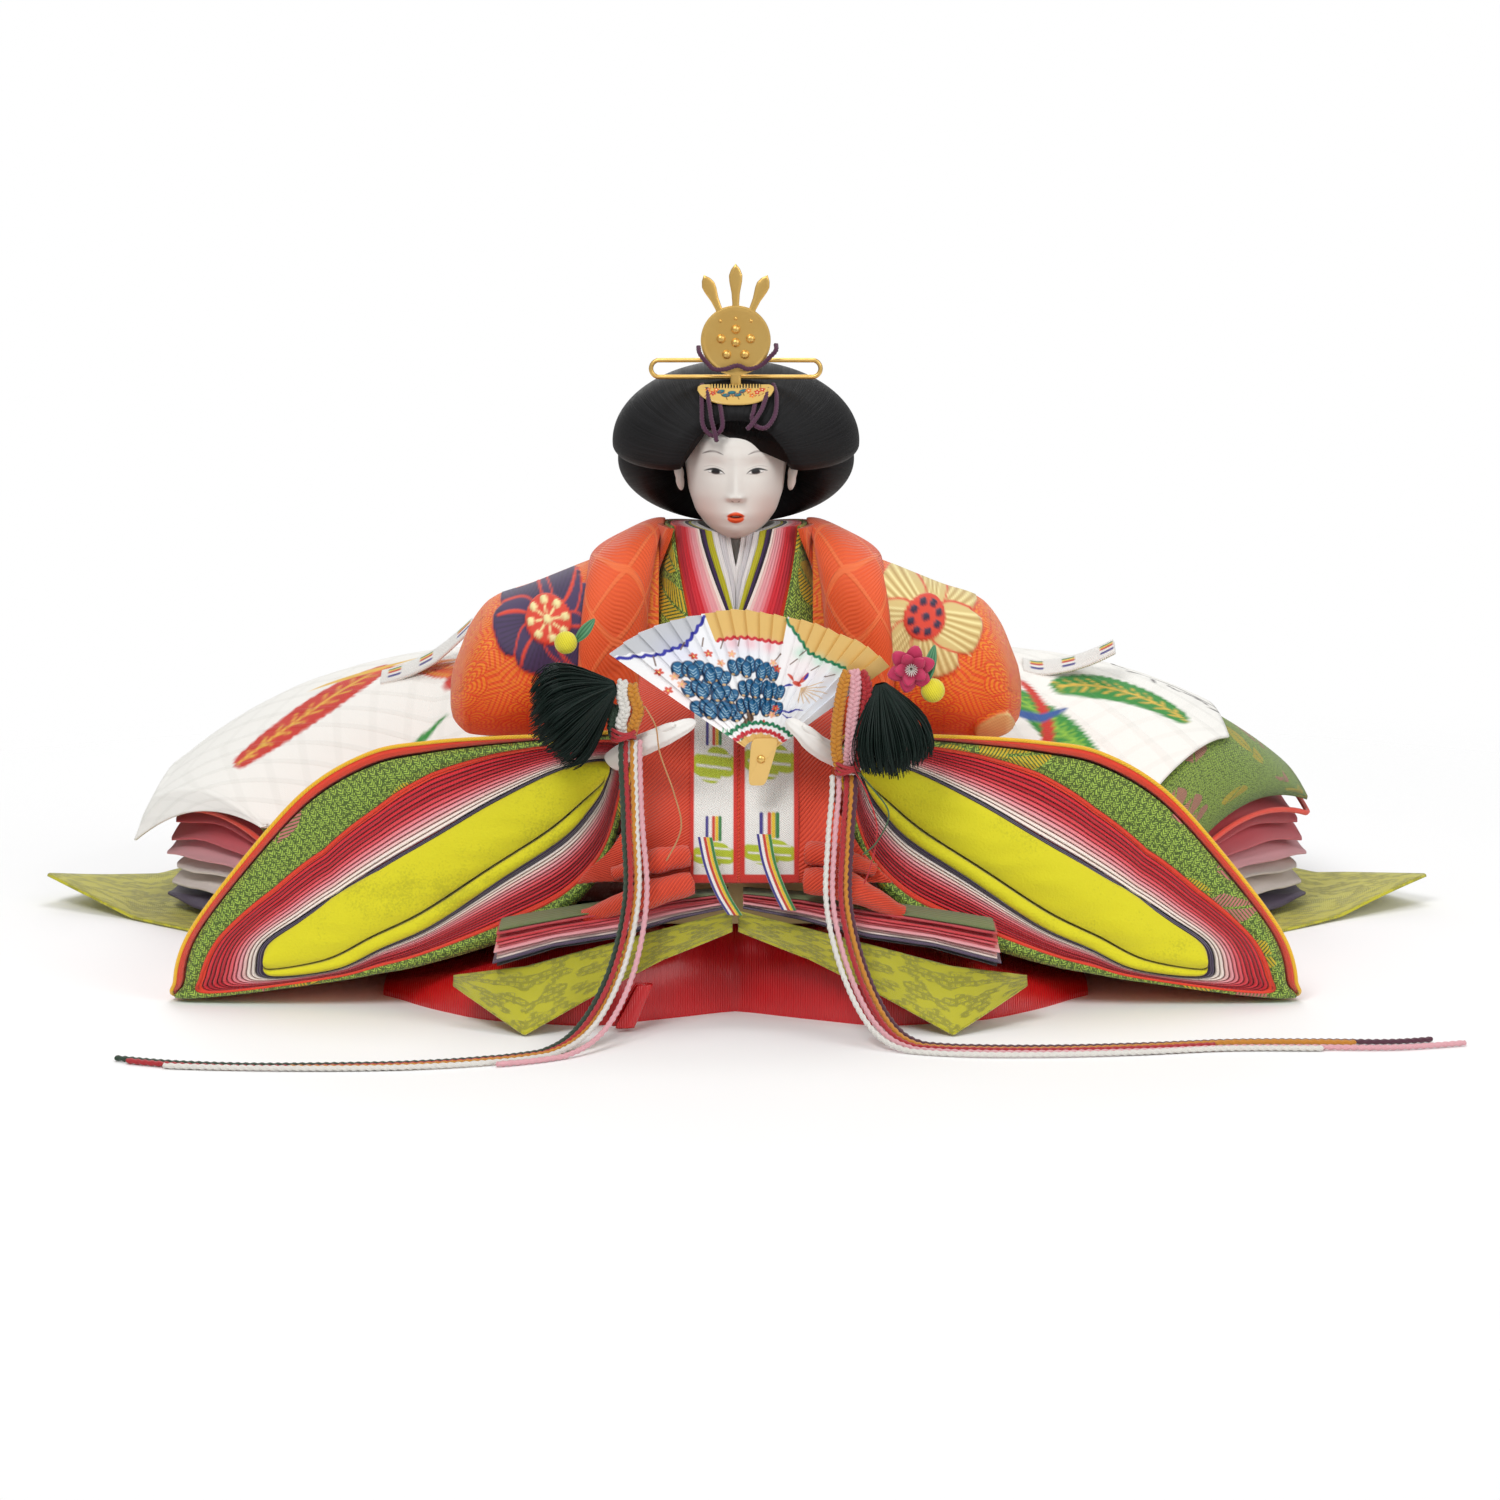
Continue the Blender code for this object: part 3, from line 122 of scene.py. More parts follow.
class Finish:
    """One material: a Principled shader, with its nodes added through one method."""

    def __init__(self, name, colour, roughness, metallic=0.0, **fixed):
        self.material = bpy.data.materials.new(name)
        self.material.use_nodes = True
        self.tree = self.material.node_tree
        self.skin = self.tree.nodes["Principled BSDF"]
        self.skin.inputs["Base Color"].default_value = colour
        self.skin.inputs["Roughness"].default_value = roughness
        self.skin.inputs["Metallic"].default_value = metallic
        for socket, value in fixed.items():
            self.skin.inputs[socket.replace("_", " ")].default_value = value

    def node(self, kind, settings=None, sockets=None, output=0):
        made = self.tree.nodes.new("ShaderNode" + kind)
        for setting, value in (settings or {}).items():
            setattr(made, setting, value)
        for place, value in (sockets or {}).items():
            if isinstance(value, Shade):
                self.tree.links.new(value.socket, made.inputs[place])
            else:
                made.inputs[place].default_value = value
        return Shade(self, made.outputs[output])

    def feed(self, socket, shade):
        self.tree.links.new(shade.socket, self.skin.inputs[socket])

    def blend(self, mask, below, above):
        return self.node("Mix", {"data_type": "RGBA"}, {0: mask, 6: below, 7: above}, 2)

    def deeper(self, share, colour, tint):
        """The colour multiplied by a tint, by this share."""
        return self.node("Mix", {"data_type": "RGBA", "blend_type": "MULTIPLY"},
                         {0: share, 6: colour, 7: (*tint, 1)}, 2)

    def cloth(self):
        """The piece's own flat map, in metres along and across the cloth."""
        flat = self.node("UVMap", {"uv_map": "cloth"})
        split = self.node("SeparateXYZ", sockets={0: flat})
        return split, split.out("Y")

    def solid(self):
        split = self.node("SeparateXYZ", sockets={0: self.node("TexCoord", output="Object")})
        return split, split.out("Y"), split.out("Z")

    def vector(self, *values):
        return self.node("CombineXYZ", sockets=dict(enumerate(values)))

    def cloud(self, where, scale, detail=3.0, roughness=0.55):
        return self.node("TexNoise", None, {"Vector": where, "Scale": scale, "Detail": detail,
                                            "Roughness": roughness})

    def painted(self):
        return self.node("Attribute", {"attribute_name": "paint"})

    def relief(self, height, depth, under=None):
        sockets = {"Height": height, "Distance": depth, "Strength": 1.0}
        if under:
            sockets["Normal"] = under
        made = self.node("Bump", None, sockets)
        self.feed("Normal", made)
        return made


FULL_FRAME_MM = 36.0
view_data = bpy.data.cameras.new("photo_view")
view_data.lens = VIEW_LENS
view_data.sensor_width = FULL_FRAME_MM
photo_view = bpy.data.objects.new("photo_view", view_data)
photo_view.location = VIEW_AIM + Vector((0, -math.cos(VIEW_TILT), math.sin(VIEW_TILT))) * VIEW_DISTANCE
photo_view.rotation_euler = (math.pi / 2 - VIEW_TILT, 0, 0)
scene.collection.objects.link(photo_view)
scene.camera = photo_view

for lamp_name, lamp_place, lamp_width, lamp_power in LAMPS:
    lamp_data = bpy.data.lights.new(lamp_name, "AREA")
    lamp_data.size = lamp_width
    lamp_data.energy = lamp_power
    lamp = bpy.data.objects.new(lamp_name, lamp_data)
    lamp.location = lamp_place
    lamp.rotation_euler = (VIEW_AIM - lamp_place).to_track_quat("-Z", "Y").to_euler()
    scene.collection.objects.link(lamp)

sky = bpy.data.worlds.new("white_room")
scene.world = sky
sky.use_nodes = True
sky_tree = sky.node_tree
sky_rays = sky_tree.nodes.new("ShaderNodeLightPath")
seen = sky_tree.nodes.new("ShaderNodeMath")
seen.operation = "MAXIMUM"
seen_strength = sky_tree.nodes.new("ShaderNodeMapRange")
seen_strength.inputs["To Min"].default_value = SKY_LIGHT
sky_tree.links.new(sky_rays.outputs["Is Camera Ray"], seen.inputs[0])
sky_tree.links.new(sky_rays.outputs["Is Transmission Ray"], seen.inputs[1])
sky_tree.links.new(seen.outputs[0], seen_strength.inputs["Value"])
sky_tree.nodes["Background"].inputs["Color"].default_value = (1, 1, 1, 1)
sky_tree.links.new(seen_strength.outputs[0], sky_tree.nodes["Background"].inputs["Strength"])

floor_bm = bmesh.new()
bmesh.ops.create_grid(floor_bm, x_segments=1, y_segments=1, size=FLOOR_HALF)
floor_mesh = bpy.data.meshes.new("white_floor")
floor_bm.to_mesh(floor_mesh)
floor_bm.free()
white_floor = bpy.data.objects.new("white_floor", floor_mesh)
scene.collection.objects.link(white_floor)
table_white = Finish("white_table", (0.93, 0.93, 0.93, 1), 0.7)
table_x, table_y, _ = table_white.solid()
table_away = (table_x * table_x + table_y * table_y) ** 0.5
table_clear = table_white.node("BsdfTransparent")
table_mix = table_white.node("MixShader", None, {
    0: table_away.clear(FLOOR_CLEAR_FROM, FLOOR_CLEAR_TO), 1: Shade(table_white, table_white.skin.outputs[0]),
    2: table_clear})
table_white.tree.links.new(table_mix.socket, table_white.tree.nodes["Material Output"].inputs[0])
floor_mesh.materials.append(table_white.material)

# Hanging cords: two-ply silk cords in the five court colours, tied below the fan's braids, falling
# over the hems and lying along the floor to their bound ends
CORD_DIAMETER = 0.0018
CORD_PLY_PITCH = 0.0046
CORD_ROUNDS = 10
CORD_STEPS_PER_PITCH = 9
CORD_DYES = {"green": (34, 62, 40), "white": (240, 236, 228), "red": (186, 22, 34),
             "gold": (214, 140, 22), "pink": (240, 176, 184), "plum": (84, 26, 52)}
LEFT_OUTER_ROUTE = (
    (-0.0338, -0.0930, 0.0856), (-0.0338, -0.0945, 0.0780), (-0.0330, -0.0985, 0.0600),
    (-0.0325, -0.1045, 0.0400), (-0.0370, -0.1130, 0.0200), (-0.0455, -0.1260, 0.0060),
    (-0.0560, -0.1385, 0.0010), (-0.0720, -0.1480, 0.0010), (-0.0920, -0.1540, 0.0010),
    (-0.1150, -0.1565, 0.0010), (-0.1400, -0.1570, 0.0010), (-0.1620, -0.1535, 0.0010),
    (-0.1790, -0.1470, 0.0010))
LEFT_INNER_ROUTE = (
    (-0.0296, -0.0930, 0.0856), (-0.0296, -0.0945, 0.0780), (-0.0290, -0.0990, 0.0600),
    (-0.0285, -0.1055, 0.0400), (-0.0330, -0.1150, 0.0200), (-0.0415, -0.1290, 0.0060),
    (-0.0530, -0.1425, 0.0010), (-0.0700, -0.1525, 0.0010), (-0.0920, -0.1590, 0.0010),
    (-0.1160, -0.1615, 0.0010), (-0.1420, -0.1610, 0.0010), (-0.1630, -0.1580, 0.0010),
    (-0.1800, -0.1525, 0.0010))
RIGHT_OUTER_ROUTE = (
    (0.0346, -0.0930, 0.0750), (0.0345, -0.0945, 0.0690), (0.0335, -0.0985, 0.0560),
    (0.0330, -0.1050, 0.0380), (0.0375, -0.1130, 0.0200), (0.0450, -0.1225, 0.0060),
    (0.0540, -0.1300, 0.0010), (0.0700, -0.1345, 0.0010), (0.0930, -0.1350, 0.0010),
    (0.1180, -0.1320, 0.0010), (0.1450, -0.1270, 0.0010), (0.1700, -0.1265, 0.0010),
    (0.1920, -0.1270, 0.0010), (0.2110, -0.1210, 0.0010))
RIGHT_INNER_ROUTE = (
    (0.0308, -0.0930, 0.0750), (0.0307, -0.0945, 0.0690), (0.0295, -0.0990, 0.0560),
    (0.0290, -0.1065, 0.0380), (0.0335, -0.1160, 0.0200), (0.0415, -0.1265, 0.0060),
    (0.0520, -0.1350, 0.0010), (0.0700, -0.1400, 0.0010), (0.0930, -0.1405, 0.0010),
    (0.1180, -0.1380, 0.0010), (0.1450, -0.1330, 0.0010), (0.1700, -0.1325, 0.0010),
    (0.1930, -0.1325, 0.0010), (0.2140, -0.1265, 0.0010))
# Rows: name, dye, base route, node replaced, shift across and forward, share of the route
CORDS = (
    ("cord_left_green", "green", LEFT_OUTER_ROUTE, "cord_left_outer", 0.0, 0.0, 1.0),
    ("cord_left_red", "red", LEFT_OUTER_ROUTE, None, 0.0014, -0.0021, 0.99),
    ("cord_left_gold", "gold", LEFT_INNER_ROUTE, None, -0.0008, 0.0019, 0.78),
    ("cord_left_white", "white", LEFT_INNER_ROUTE, "cord_left_inner", 0.0, 0.0, 0.93),
    ("cord_left_pink", "pink", LEFT_INNER_ROUTE, None, 0.0040, -0.0022, 0.55),
    ("cord_right_plum", "plum", RIGHT_OUTER_ROUTE, None, 0.0010, 0.0021, 0.97),
    ("cord_right_gold", "gold", RIGHT_OUTER_ROUTE, "cord_right_outer", 0.0, 0.0, 0.88),
    ("cord_right_red", "red", RIGHT_OUTER_ROUTE, None, -0.0016, -0.0020, 0.72),
    ("cord_right_white", "white", RIGHT_INNER_ROUTE, None, -0.0020, -0.0021, 0.84),
    ("cord_right_pink", "pink", RIGHT_INNER_ROUTE, "cord_right_inner", 0.0, 0.0, 1.0))


def between(rows, at):
    """Smooth reading of a table of (place, value, ...) rows."""
    if at <= rows[0][0]:
        return rows[0][1:]
    for low, high in zip(rows, rows[1:]):
        if at <= high[0]:
            share = (at - low[0]) / (high[0] - low[0])
            return tuple(a + (b - a) * share for a, b in zip(low[1:], high[1:]))
    return rows[-1][1:]


def curve_at(points, at, closed=False):
    """Point at a share of a smooth curve through the given ones."""
    count = len(points)
    spans = count if closed else count - 1
    place = min(max(at, 0.0), 1.0) * spans
    i = min(int(place), spans - 1)
    t = place - i
    picks = []
    for k in (i - 1, i, i + 1, i + 2):
        picks.append(Vector(points[k % count] if closed else points[min(max(k, 0), count - 1)]))
    p0, p1, p2, p3 = picks
    turn = (p2 - p0) * t + (2 * p0 - 5 * p1 + 4 * p2 - p3) * t ** 2
    turn += (3 * p1 - p0 - 3 * p2 + p3) * t ** 3
    return p1 + turn / 2


def even(points, spacing, closed=False):
    """Points at a steady spacing along a smooth curve through the given ones."""
    fine = [curve_at(points, i / (len(points) * 24), closed) for i in range(len(points) * 24 + 1)]
    reach = [0.0]
    for a, b in zip(fine, fine[1:]):
        reach.append(reach[-1] + (b - a).length)
    count = max(2, round(reach[-1] / spacing) + 1)
    marks = np.linspace(0, reach[-1], count)
    axes = [np.interp(marks, reach, [p[axis] for p in fine]) for axis in range(3)]
    return [Vector(point) for point in zip(*axes)]


def run_length(points):
    return sum((b - a).length for a, b in zip(points, points[1:]))


def finished(name, bm, finish, body, smooth=40.0, paint=None, wall=0.0, offset=-1.0, subdivide=0):
    """Object from a bmesh, with its finish, its wall and the body that it rides on."""
    mesh = bpy.data.meshes.new(name)
    bm.to_mesh(mesh)
    bm.free()
    mesh.shade_smooth()
    mesh.set_sharp_from_angle(angle=math.radians(smooth))
    if paint is not None:
        layer = mesh.attributes.new("paint", "FLOAT_COLOR", "POINT")
        layer.data.foreach_set("color", np.asarray(paint, dtype=np.float32).ravel())
    mesh.materials.append(finish.material)
    piece = bpy.data.objects.new(name, mesh)
    scene.collection.objects.link(piece)
    if subdivide:
        rounding = piece.modifiers.new("rounding", "SUBSURF")
        rounding.levels = rounding.render_levels = subdivide
    if wall:
        thickness = piece.modifiers.new("wall", "SOLIDIFY")
        thickness.thickness = wall
        thickness.offset = offset
    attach(piece, body)
    return piece


def paint_of(bm):
    return bm.verts.layers.float_color.get("paint") or bm.verts.layers.float_color.new("paint")


def laid_grid(bm, columns, rows, place, size=(1.0, 1.0), closed=False, merge=0.0, colour=None):
    """Cloth cut as a grid, each point then moved to where place(across, along) puts it and dyed."""
    dyed = paint_of(bm) if colour else None
    flat = bm.loops.layers.uv.get("cloth") or bm.loops.layers.uv.new("cloth")
    made = bmesh.ops.create_grid(bm, x_segments=columns, y_segments=rows, size=0.5)["verts"]
    for face in {face for point in made for face in point.link_faces}:
        for corner in face.loops:
            across, along = corner.vert.co.x + 0.5, corner.vert.co.y + 0.5
            corner[flat].uv = (across * size[0], along * size[1])
    shares = []
    for point in made:
        across, along = point.co.x + 0.5, point.co.y + 0.5
        shares.append((across, along))
        point.co = place(across, along)
        if dyed:
            point[dyed] = colour(across, along) if callable(colour) else colour
    if closed:
        bmesh.ops.remove_doubles(bm, verts=made, dist=merge or 1e-6)
    return made, shares


def facing_out(bm):
    bmesh.ops.recalc_face_normals(bm, faces=bm.faces)
    if bm.calc_volume(signed=True) < 0:
        bmesh.ops.reverse_faces(bm, faces=bm.faces)


def sealed(bm):
    """Closes the open ends of a form and turns its faces out."""
    bmesh.ops.holes_fill(bm, edges=[edge for edge in bm.edges if edge.is_boundary], sides=0)
    facing_out(bm)


def axes_along(points):
    """Two square axes at each point of a route that turn as little as they can."""
    frames = []
    side = None
    for i, point in enumerate(points):
        along = (points[min(i + 1, len(points) - 1)] - points[max(i - 1, 0)]).normalized()
        if side is None:
            side = along.orthogonal().normalized()
        side = (side - along * side.dot(along)).normalized()
        frames.append((side, along.cross(side)))
    return frames


def rope(bm, points, radius, rounds=10, plies=2, pitch=0.0, groove=0.30, girth=None):
    """Closed tube along the points, its plies twisted round each other."""
    frames = axes_along(points)
    reach = [0.0]
    for a, b in zip(points, points[1:]):
        reach.append(reach[-1] + (b - a).length)
    last = len(points) - 1

    def place(around, along):
        i = round(along * last)
        side, up = frames[i]
        turn = 2 * math.pi * around
        twist = 2 * math.pi * reach[i] / pitch if pitch else 0.0
        size = radius * (1 - groove * (0.5 - 0.5 * math.cos(plies * (turn - twist)))) if pitch else radius
        size *= girth(along) if girth else 1.0
        if i in (0, last):
            size *= 0.02
        return points[i] + (side * math.cos(turn) + up * math.sin(turn)) * size

    laid_grid(bm, rounds, last, place, (2 * math.pi * radius, reach[-1]), closed=True)


def silk_cord(name, colour, sheen=0.25):
    finish = Finish(name, colour, 0.55, Sheen_Weight=sheen)
    along = finish.cloth()[1]
    across = finish.cloth()[0]
    fibre = (across * 1.0 + along * 0.45).wave(0.00045)
    fuzz = finish.cloud(finish.node("TexCoord", output="Object"), 900.0)
    dark = tuple(v * 0.55 for v in colour[:3]) + (1.0,)
    finish.feed("Base Color", finish.blend(fibre * 0.35 + fuzz * 0.35, colour, dark))
    finish.relief(fibre + fuzz * 0.5, 0.00008)
    return finish


cord_finishes = {name: silk_cord("silk_cord_" + name, dye(*colour)) for name, colour in CORD_DYES.items()}
for cord_name, cord_dye, route, node, aside, forward, share in CORDS:
    fine = even(route, CORD_PLY_PITCH / CORD_STEPS_PER_PITCH)
    fine = fine[:max(2, round(len(fine) * share))]
    hang = route[0][2] - 0.02
    points = []
    for i, point in enumerate(fine):
        down = min(1.0, max(0.0, (hang - point.z) / hang))
        spread = 0.35 + 0.65 * down if cord_name == "cord_left_pink" else 1.0
        shift = Vector((aside * spread, forward * down, 0))
        place = point + shift
        place.z = max(place.z, CORD_DIAMETER / 2)
        points.append(place)
    stray = random.Random(cord_name)
    bend = stray.uniform(-1, 1) * 0.0012
    for i, point in enumerate(points):
        late = i / len(points)
        point.y += bend * math.sin(late * 9.0) * late
    bm = bmesh.new()
    rope(bm, points, CORD_DIAMETER / 2, CORD_ROUNDS, 2, CORD_PLY_PITCH)
    facing_out(bm)
    cord = finished(cord_name, bm, cord_finishes[cord_dye], "fan", smooth=180)
    if node:
        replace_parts(cord, node)
    route_read = points[::12] + [points[-1]]
    tuple(points[0])
    round(run_length(points), 3)
    [tuple(p) for p in route_read]

# Hakama: the padded trousers of glossy red satin that the doll kneels on, sewn up the middle,
# flat underneath, with one corner of their hem turned out at the front
HAKAMA_HALF_WIDTH = 0.108
HAKAMA_HEIGHT = 0.026
HAKAMA_BACK_Y = 0.030
HAKAMA_DEPTH = 0.130
HAKAMA_EDGE = 0.0025
HAKAMA_FRONT_SHARES = ((0.0, 0.82), (0.12, 0.88), (0.40, 1.0), (0.70, 0.93), (0.90, 0.76), (1.0, 0.62))
HAKAMA_HEIGHT_SHARES = ((0.0, 1.0), (0.34, 1.0), (0.42, 0.94), (0.50, 0.84), (0.60, 0.70), (0.72, 0.52),
                        (0.88, 0.27), (1.0, 0.10))
HAKAMA_ROUND = 0.13
HAKAMA_SIDE_FALL = 0.5
HAKAMA_SEAM = 0.0012
HAKAMA_WRINKLE = 0.0007


def smooth_between(rows, at):
    """Reading of a table of (place, value) rows without corners."""
    width = 0.06
    return sum(between(rows, at + width * k)[0] for k in (-1, -0.5, 0, 0.5, 1)) / 5


def hakama_place(across, down):
    side = 2 * across - 1
    reach = smooth_between(HAKAMA_FRONT_SHARES, abs(side)) * HAKAMA_DEPTH
    bulge = min(1.0, down / HAKAMA_ROUND)
    rise = math.sqrt(max(0.0, 1 - (1 - bulge) ** 2)) * (1 - 0.30 * max(0.0, down - 0.5))
    height = smooth_between(HAKAMA_HEIGHT_SHARES, abs(side)) * HAKAMA_HEIGHT * rise
    height *= 1 - HAKAMA_SIDE_FALL * down * min(1.0, abs(side) * 2)
    height -= HAKAMA_SEAM * math.exp(-(side / 0.012) ** 2) * rise
    x = side * HAKAMA_HALF_WIDTH
    y = HAKAMA_BACK_Y - reach * (1 - down)
    crease = noise.noise(Vector((x * 26, y * 60, 3.1))) * HAKAMA_WRINKLE * rise
    return Vector((x, y - abs(crease) * 0.6, max(height + crease * 0.4, HAKAMA_EDGE * 0.6)))


satin = Finish("red_satin", dye(206, 20, 26), 0.30, Coat_Weight=0.35, Coat_Roughness=0.18)
satin_weft = satin.solid()[0].wave(0.0007)
satin_mist = satin.cloud(satin.node("TexCoord", output="Object"), 55.0)
satin.feed("Base Color", satin.blend(satin_mist, dye(214, 20, 28), dye(176, 12, 20)))
satin.relief(satin_weft * 0.3 + satin_mist, 0.0004)
bm = bmesh.new()
laid_grid(bm, 120, 70, hakama_place, (2 * HAKAMA_HALF_WIDTH, HAKAMA_DEPTH))
rim = [edge for edge in bm.edges if edge.is_boundary]
skirt = bmesh.ops.extrude_edge_only(bm, edges=rim)["geom"]
for point in (item for item in skirt if isinstance(item, bmesh.types.BMVert)):
    point.co.z = 0.0
sealed(bm)
hakama = finished("hakama_satin", bm, satin, "doll", smooth=60)
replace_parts(hakama, "hakama")

TAB_PLACE = Vector((-0.0335, -0.1035, 0.0012))
TAB_WIDTH = 0.0115
TAB_HEIGHT = 0.0125


def tab_place(across, along):
    """The turned-out corner: a strip rolled into a loose loop that leans to the right."""
    turn = -2.2 + 4.9 * across
    loop = Vector((math.cos(turn) * TAB_WIDTH * 0.30, math.sin(turn) * 0.0022 - 0.0022, 0))
    lean = Vector((TAB_WIDTH * 0.55 * along, 0.0022 * along, TAB_HEIGHT * along))
    return TAB_PLACE + loop * (1 - 0.25 * along) + lean


bm = bmesh.new()
laid_grid(bm, 24, 10, tab_place, (TAB_WIDTH, TAB_HEIGHT))
tab = finished("hakama_corner", bm, satin, "doll", wall=0.0006, offset=0.0, subdivide=1)

# Lime under robe, front corners: one cloth a side, figured with woven blocks, laid over the
# trousers with its point on the floor
LIME_DYE = dye(196, 190, 4)
LIME_SHADE = dye(120, 118, 10)
LIME_REACH = {"left": 0.084, "right": 0.087}
LIME_FORWARD = 0.114
LIME_TOP = 0.031
LIME_WALL = 0.0008
LIME_CORNER_DEPTH = 0.040
# Rows: share of the reach, then forward and height shares of the top edge and of the bottom edge
LIME_FRONT_SHARES = ((0.01, 0.80, 1.08, 0.825, 0.90), (0.25, 0.805, 0.91, 0.86, 0.66),
                     (0.48, 0.825, 0.75, 0.925, 0.37), (0.74, 0.835, 0.56, 1.0, 0.02),
                     (1.0, 0.82, 0.46, 0.845, 0.38))


def lime_finish(name):
    """Lime silk with a dull woven figure of small blocks in broken patches."""
    finish = Finish(name, LIME_DYE, 0.62, Sheen_Weight=0.3)
    across, along = finish.cloth()
    here = finish.vector(across, along, 0.0)
    warp = (across + along).wave(0.0007)
    weft = (across - along).wave(0.0007)
    blocks = finish.node("TexBrick", {"offset": 0.5}, {
        "Vector": here, "Scale": 1.0, "Mortar Size": 0.0006, "Brick Width": 0.0042, "Row Height": 0.0034,
        "Mortar Smooth": 0.1, "Color1": (0, 0, 0, 1), "Color2": (0, 0, 0, 1), "Mortar": (1, 1, 1, 1)})
    loops = finish.node("TexVoronoi", {"feature": "DISTANCE_TO_EDGE"}, {"Vector": here, "Scale": 620.0})
    patch = finish.cloud(here, 150.0, 1.0).clear(0.44, 0.52)
    line = 1 - (1 - blocks.clear(0.3, 0.7)) * (1 - (loops < 0.07))
    figure = line * patch * (0.35 + 0.35 * warp)
    mist = finish.cloud(here, 24.0)
    ground = finish.blend(mist.clear(0.35, 0.7) * 0.5, LIME_DYE, dye(176, 172, 4))
    finish.feed("Base Color", finish.blend(figure, ground, LIME_SHADE))
    finish.relief(warp * weft + figure * 1.5, 0.00012)
    return finish


lime_silk = lime_finish("lime_figured_silk")


def front_lime(word, side):
    reach = LIME_REACH[word]

    def place(across, down):
        row = between(LIME_FRONT_SHARES, 0.01 + 0.99 * across)
        x = side * reach * (0.01 + 0.99 * across)
        edge = Vector((x, -LIME_FORWARD * row[0], LIME_TOP * row[1]))
        hem = Vector((x, -LIME_FORWARD * row[2], LIME_TOP * row[3]))
        point = edge.lerp(hem, down)
        wave = math.sin(across * 9 + down * 3) * 0.0008 * down * (1 - across * 0.5)
        point.y += wave - 0.0003
        point.z = max(point.z, 0.0002)
        return point

    bm = bmesh.new()
    size = (reach * 1.06, LIME_CORNER_DEPTH)
    laid_grid(bm, 90, 40, place, size)
    piece = finished("lime_corner_" + word, bm, lime_silk, "doll", wall=LIME_WALL, offset=0.0)
    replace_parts(piece, "hem_lime_" + word)


for word, side in (("left", -1), ("right", 1)):
    front_lime(word, side)

# Stacked front hems: the folded edges of the layered robes, from green brocade through crimson,
# coral and pink to cream, on a dark purple one
HEM_BACK_Y = -0.0785
HEM_REACH = {"left": 0.071, "right": 0.078}
HEM_TOP = 0.0385
HEM_FORWARD = 0.020
HEM_SHARES = ((0.03, 1.0, 0.88, 0.60), (0.25, 0.97, 0.80, 0.72), (0.50, 0.91, 0.665, 0.85),
              (0.75, 0.84, 0.60, 0.95), (1.0, 0.76, 0.46, 1.0))
CRIMSON, RED = dye(196, 10, 38), dye(222, 26, 46)
CORAL, ROSE = dye(236, 92, 104), dye(244, 140, 148)
PINK, PALE_PINK = dye(244, 170, 176), dye(248, 204, 200)
CREAM, PURPLE = dye(253, 240, 230), dye(58, 28, 78)
NAVY, GREEN = dye(24, 18, 38), dye(84, 104, 32)
ORANGE_RED, CORAL_RED = dye(240, 60, 22), dye(228, 62, 74)
STACK_DYES = (GREEN, CRIMSON, CRIMSON, RED, CORAL, ROSE, PINK, PALE_PINK, CREAM, PURPLE, NAVY)

robe_silk = Finish("layered_silk", PINK, 0.6, Sheen_Weight=0.3)
silk_along = robe_silk.cloth()[0]
silk_rib = silk_along.wave(0.0009)
silk_mist = robe_silk.cloud(robe_silk.node("TexCoord", output="Object"), 320.0)
silk_dyed = robe_silk.painted()
robe_silk.feed("Base Color", robe_silk.blend(
    silk_mist * 0.12, silk_dyed, robe_silk.deeper(1.0, silk_dyed, (0.62, 0.58, 0.6))))
robe_silk.relief(silk_rib * 0.6 + silk_mist * 0.5, 0.00014)


def flat_oval(turn, half_y, half_z, square=0.55):
    """Point of a flattened oval, its ends rounded like a folded hem."""
    c, s = math.cos(turn), math.sin(turn)
    return (math.copysign(abs(c) ** square, c) * half_y, math.copysign(abs(s) ** square, s) * half_z)


def hem_stack(word, side):
    reach = HEM_REACH[word]
    count = len(STACK_DYES)
    bm = bmesh.new()
    for k, colour in enumerate(STACK_DYES):
        level = 1 - (k + 0.5) / count
        inset = 0.0012 * math.sin(k * 2.3) + 0.0022 * (1 - level) - 0.0012

        def place(around, along):
            share = 0.03 + 0.97 * along
            high, low, out = between(HEM_SHARES, share)
            tall = HEM_TOP * (high - low) / count
            forward = HEM_FORWARD * out + inset
            end = min(1.0, (1 - along) / 0.03 + 0.25)
            half_y, up = flat_oval(2 * math.pi * around, forward / 2, tall * 0.53 * math.sqrt(end))
            x = side * (reach * share + inset * along * 0.6)
            ripple = math.sin(along * 31 + k * 1.7) * 0.0002
            y = HEM_BACK_Y - forward / 2 + half_y + ripple
            return Vector((x, y, HEM_TOP * (low + (high - low) * level) + up))

        laid_grid(bm, 20, 46, place, (0.03, reach), closed=True, colour=colour)
    sealed(bm)
    piece = finished("hem_layers_" + word, bm, robe_silk, "doll")
    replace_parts(piece, "hem_stack_" + word)


for word, side in (("left", -1), ("right", 1)):
    hem_stack(word, side)

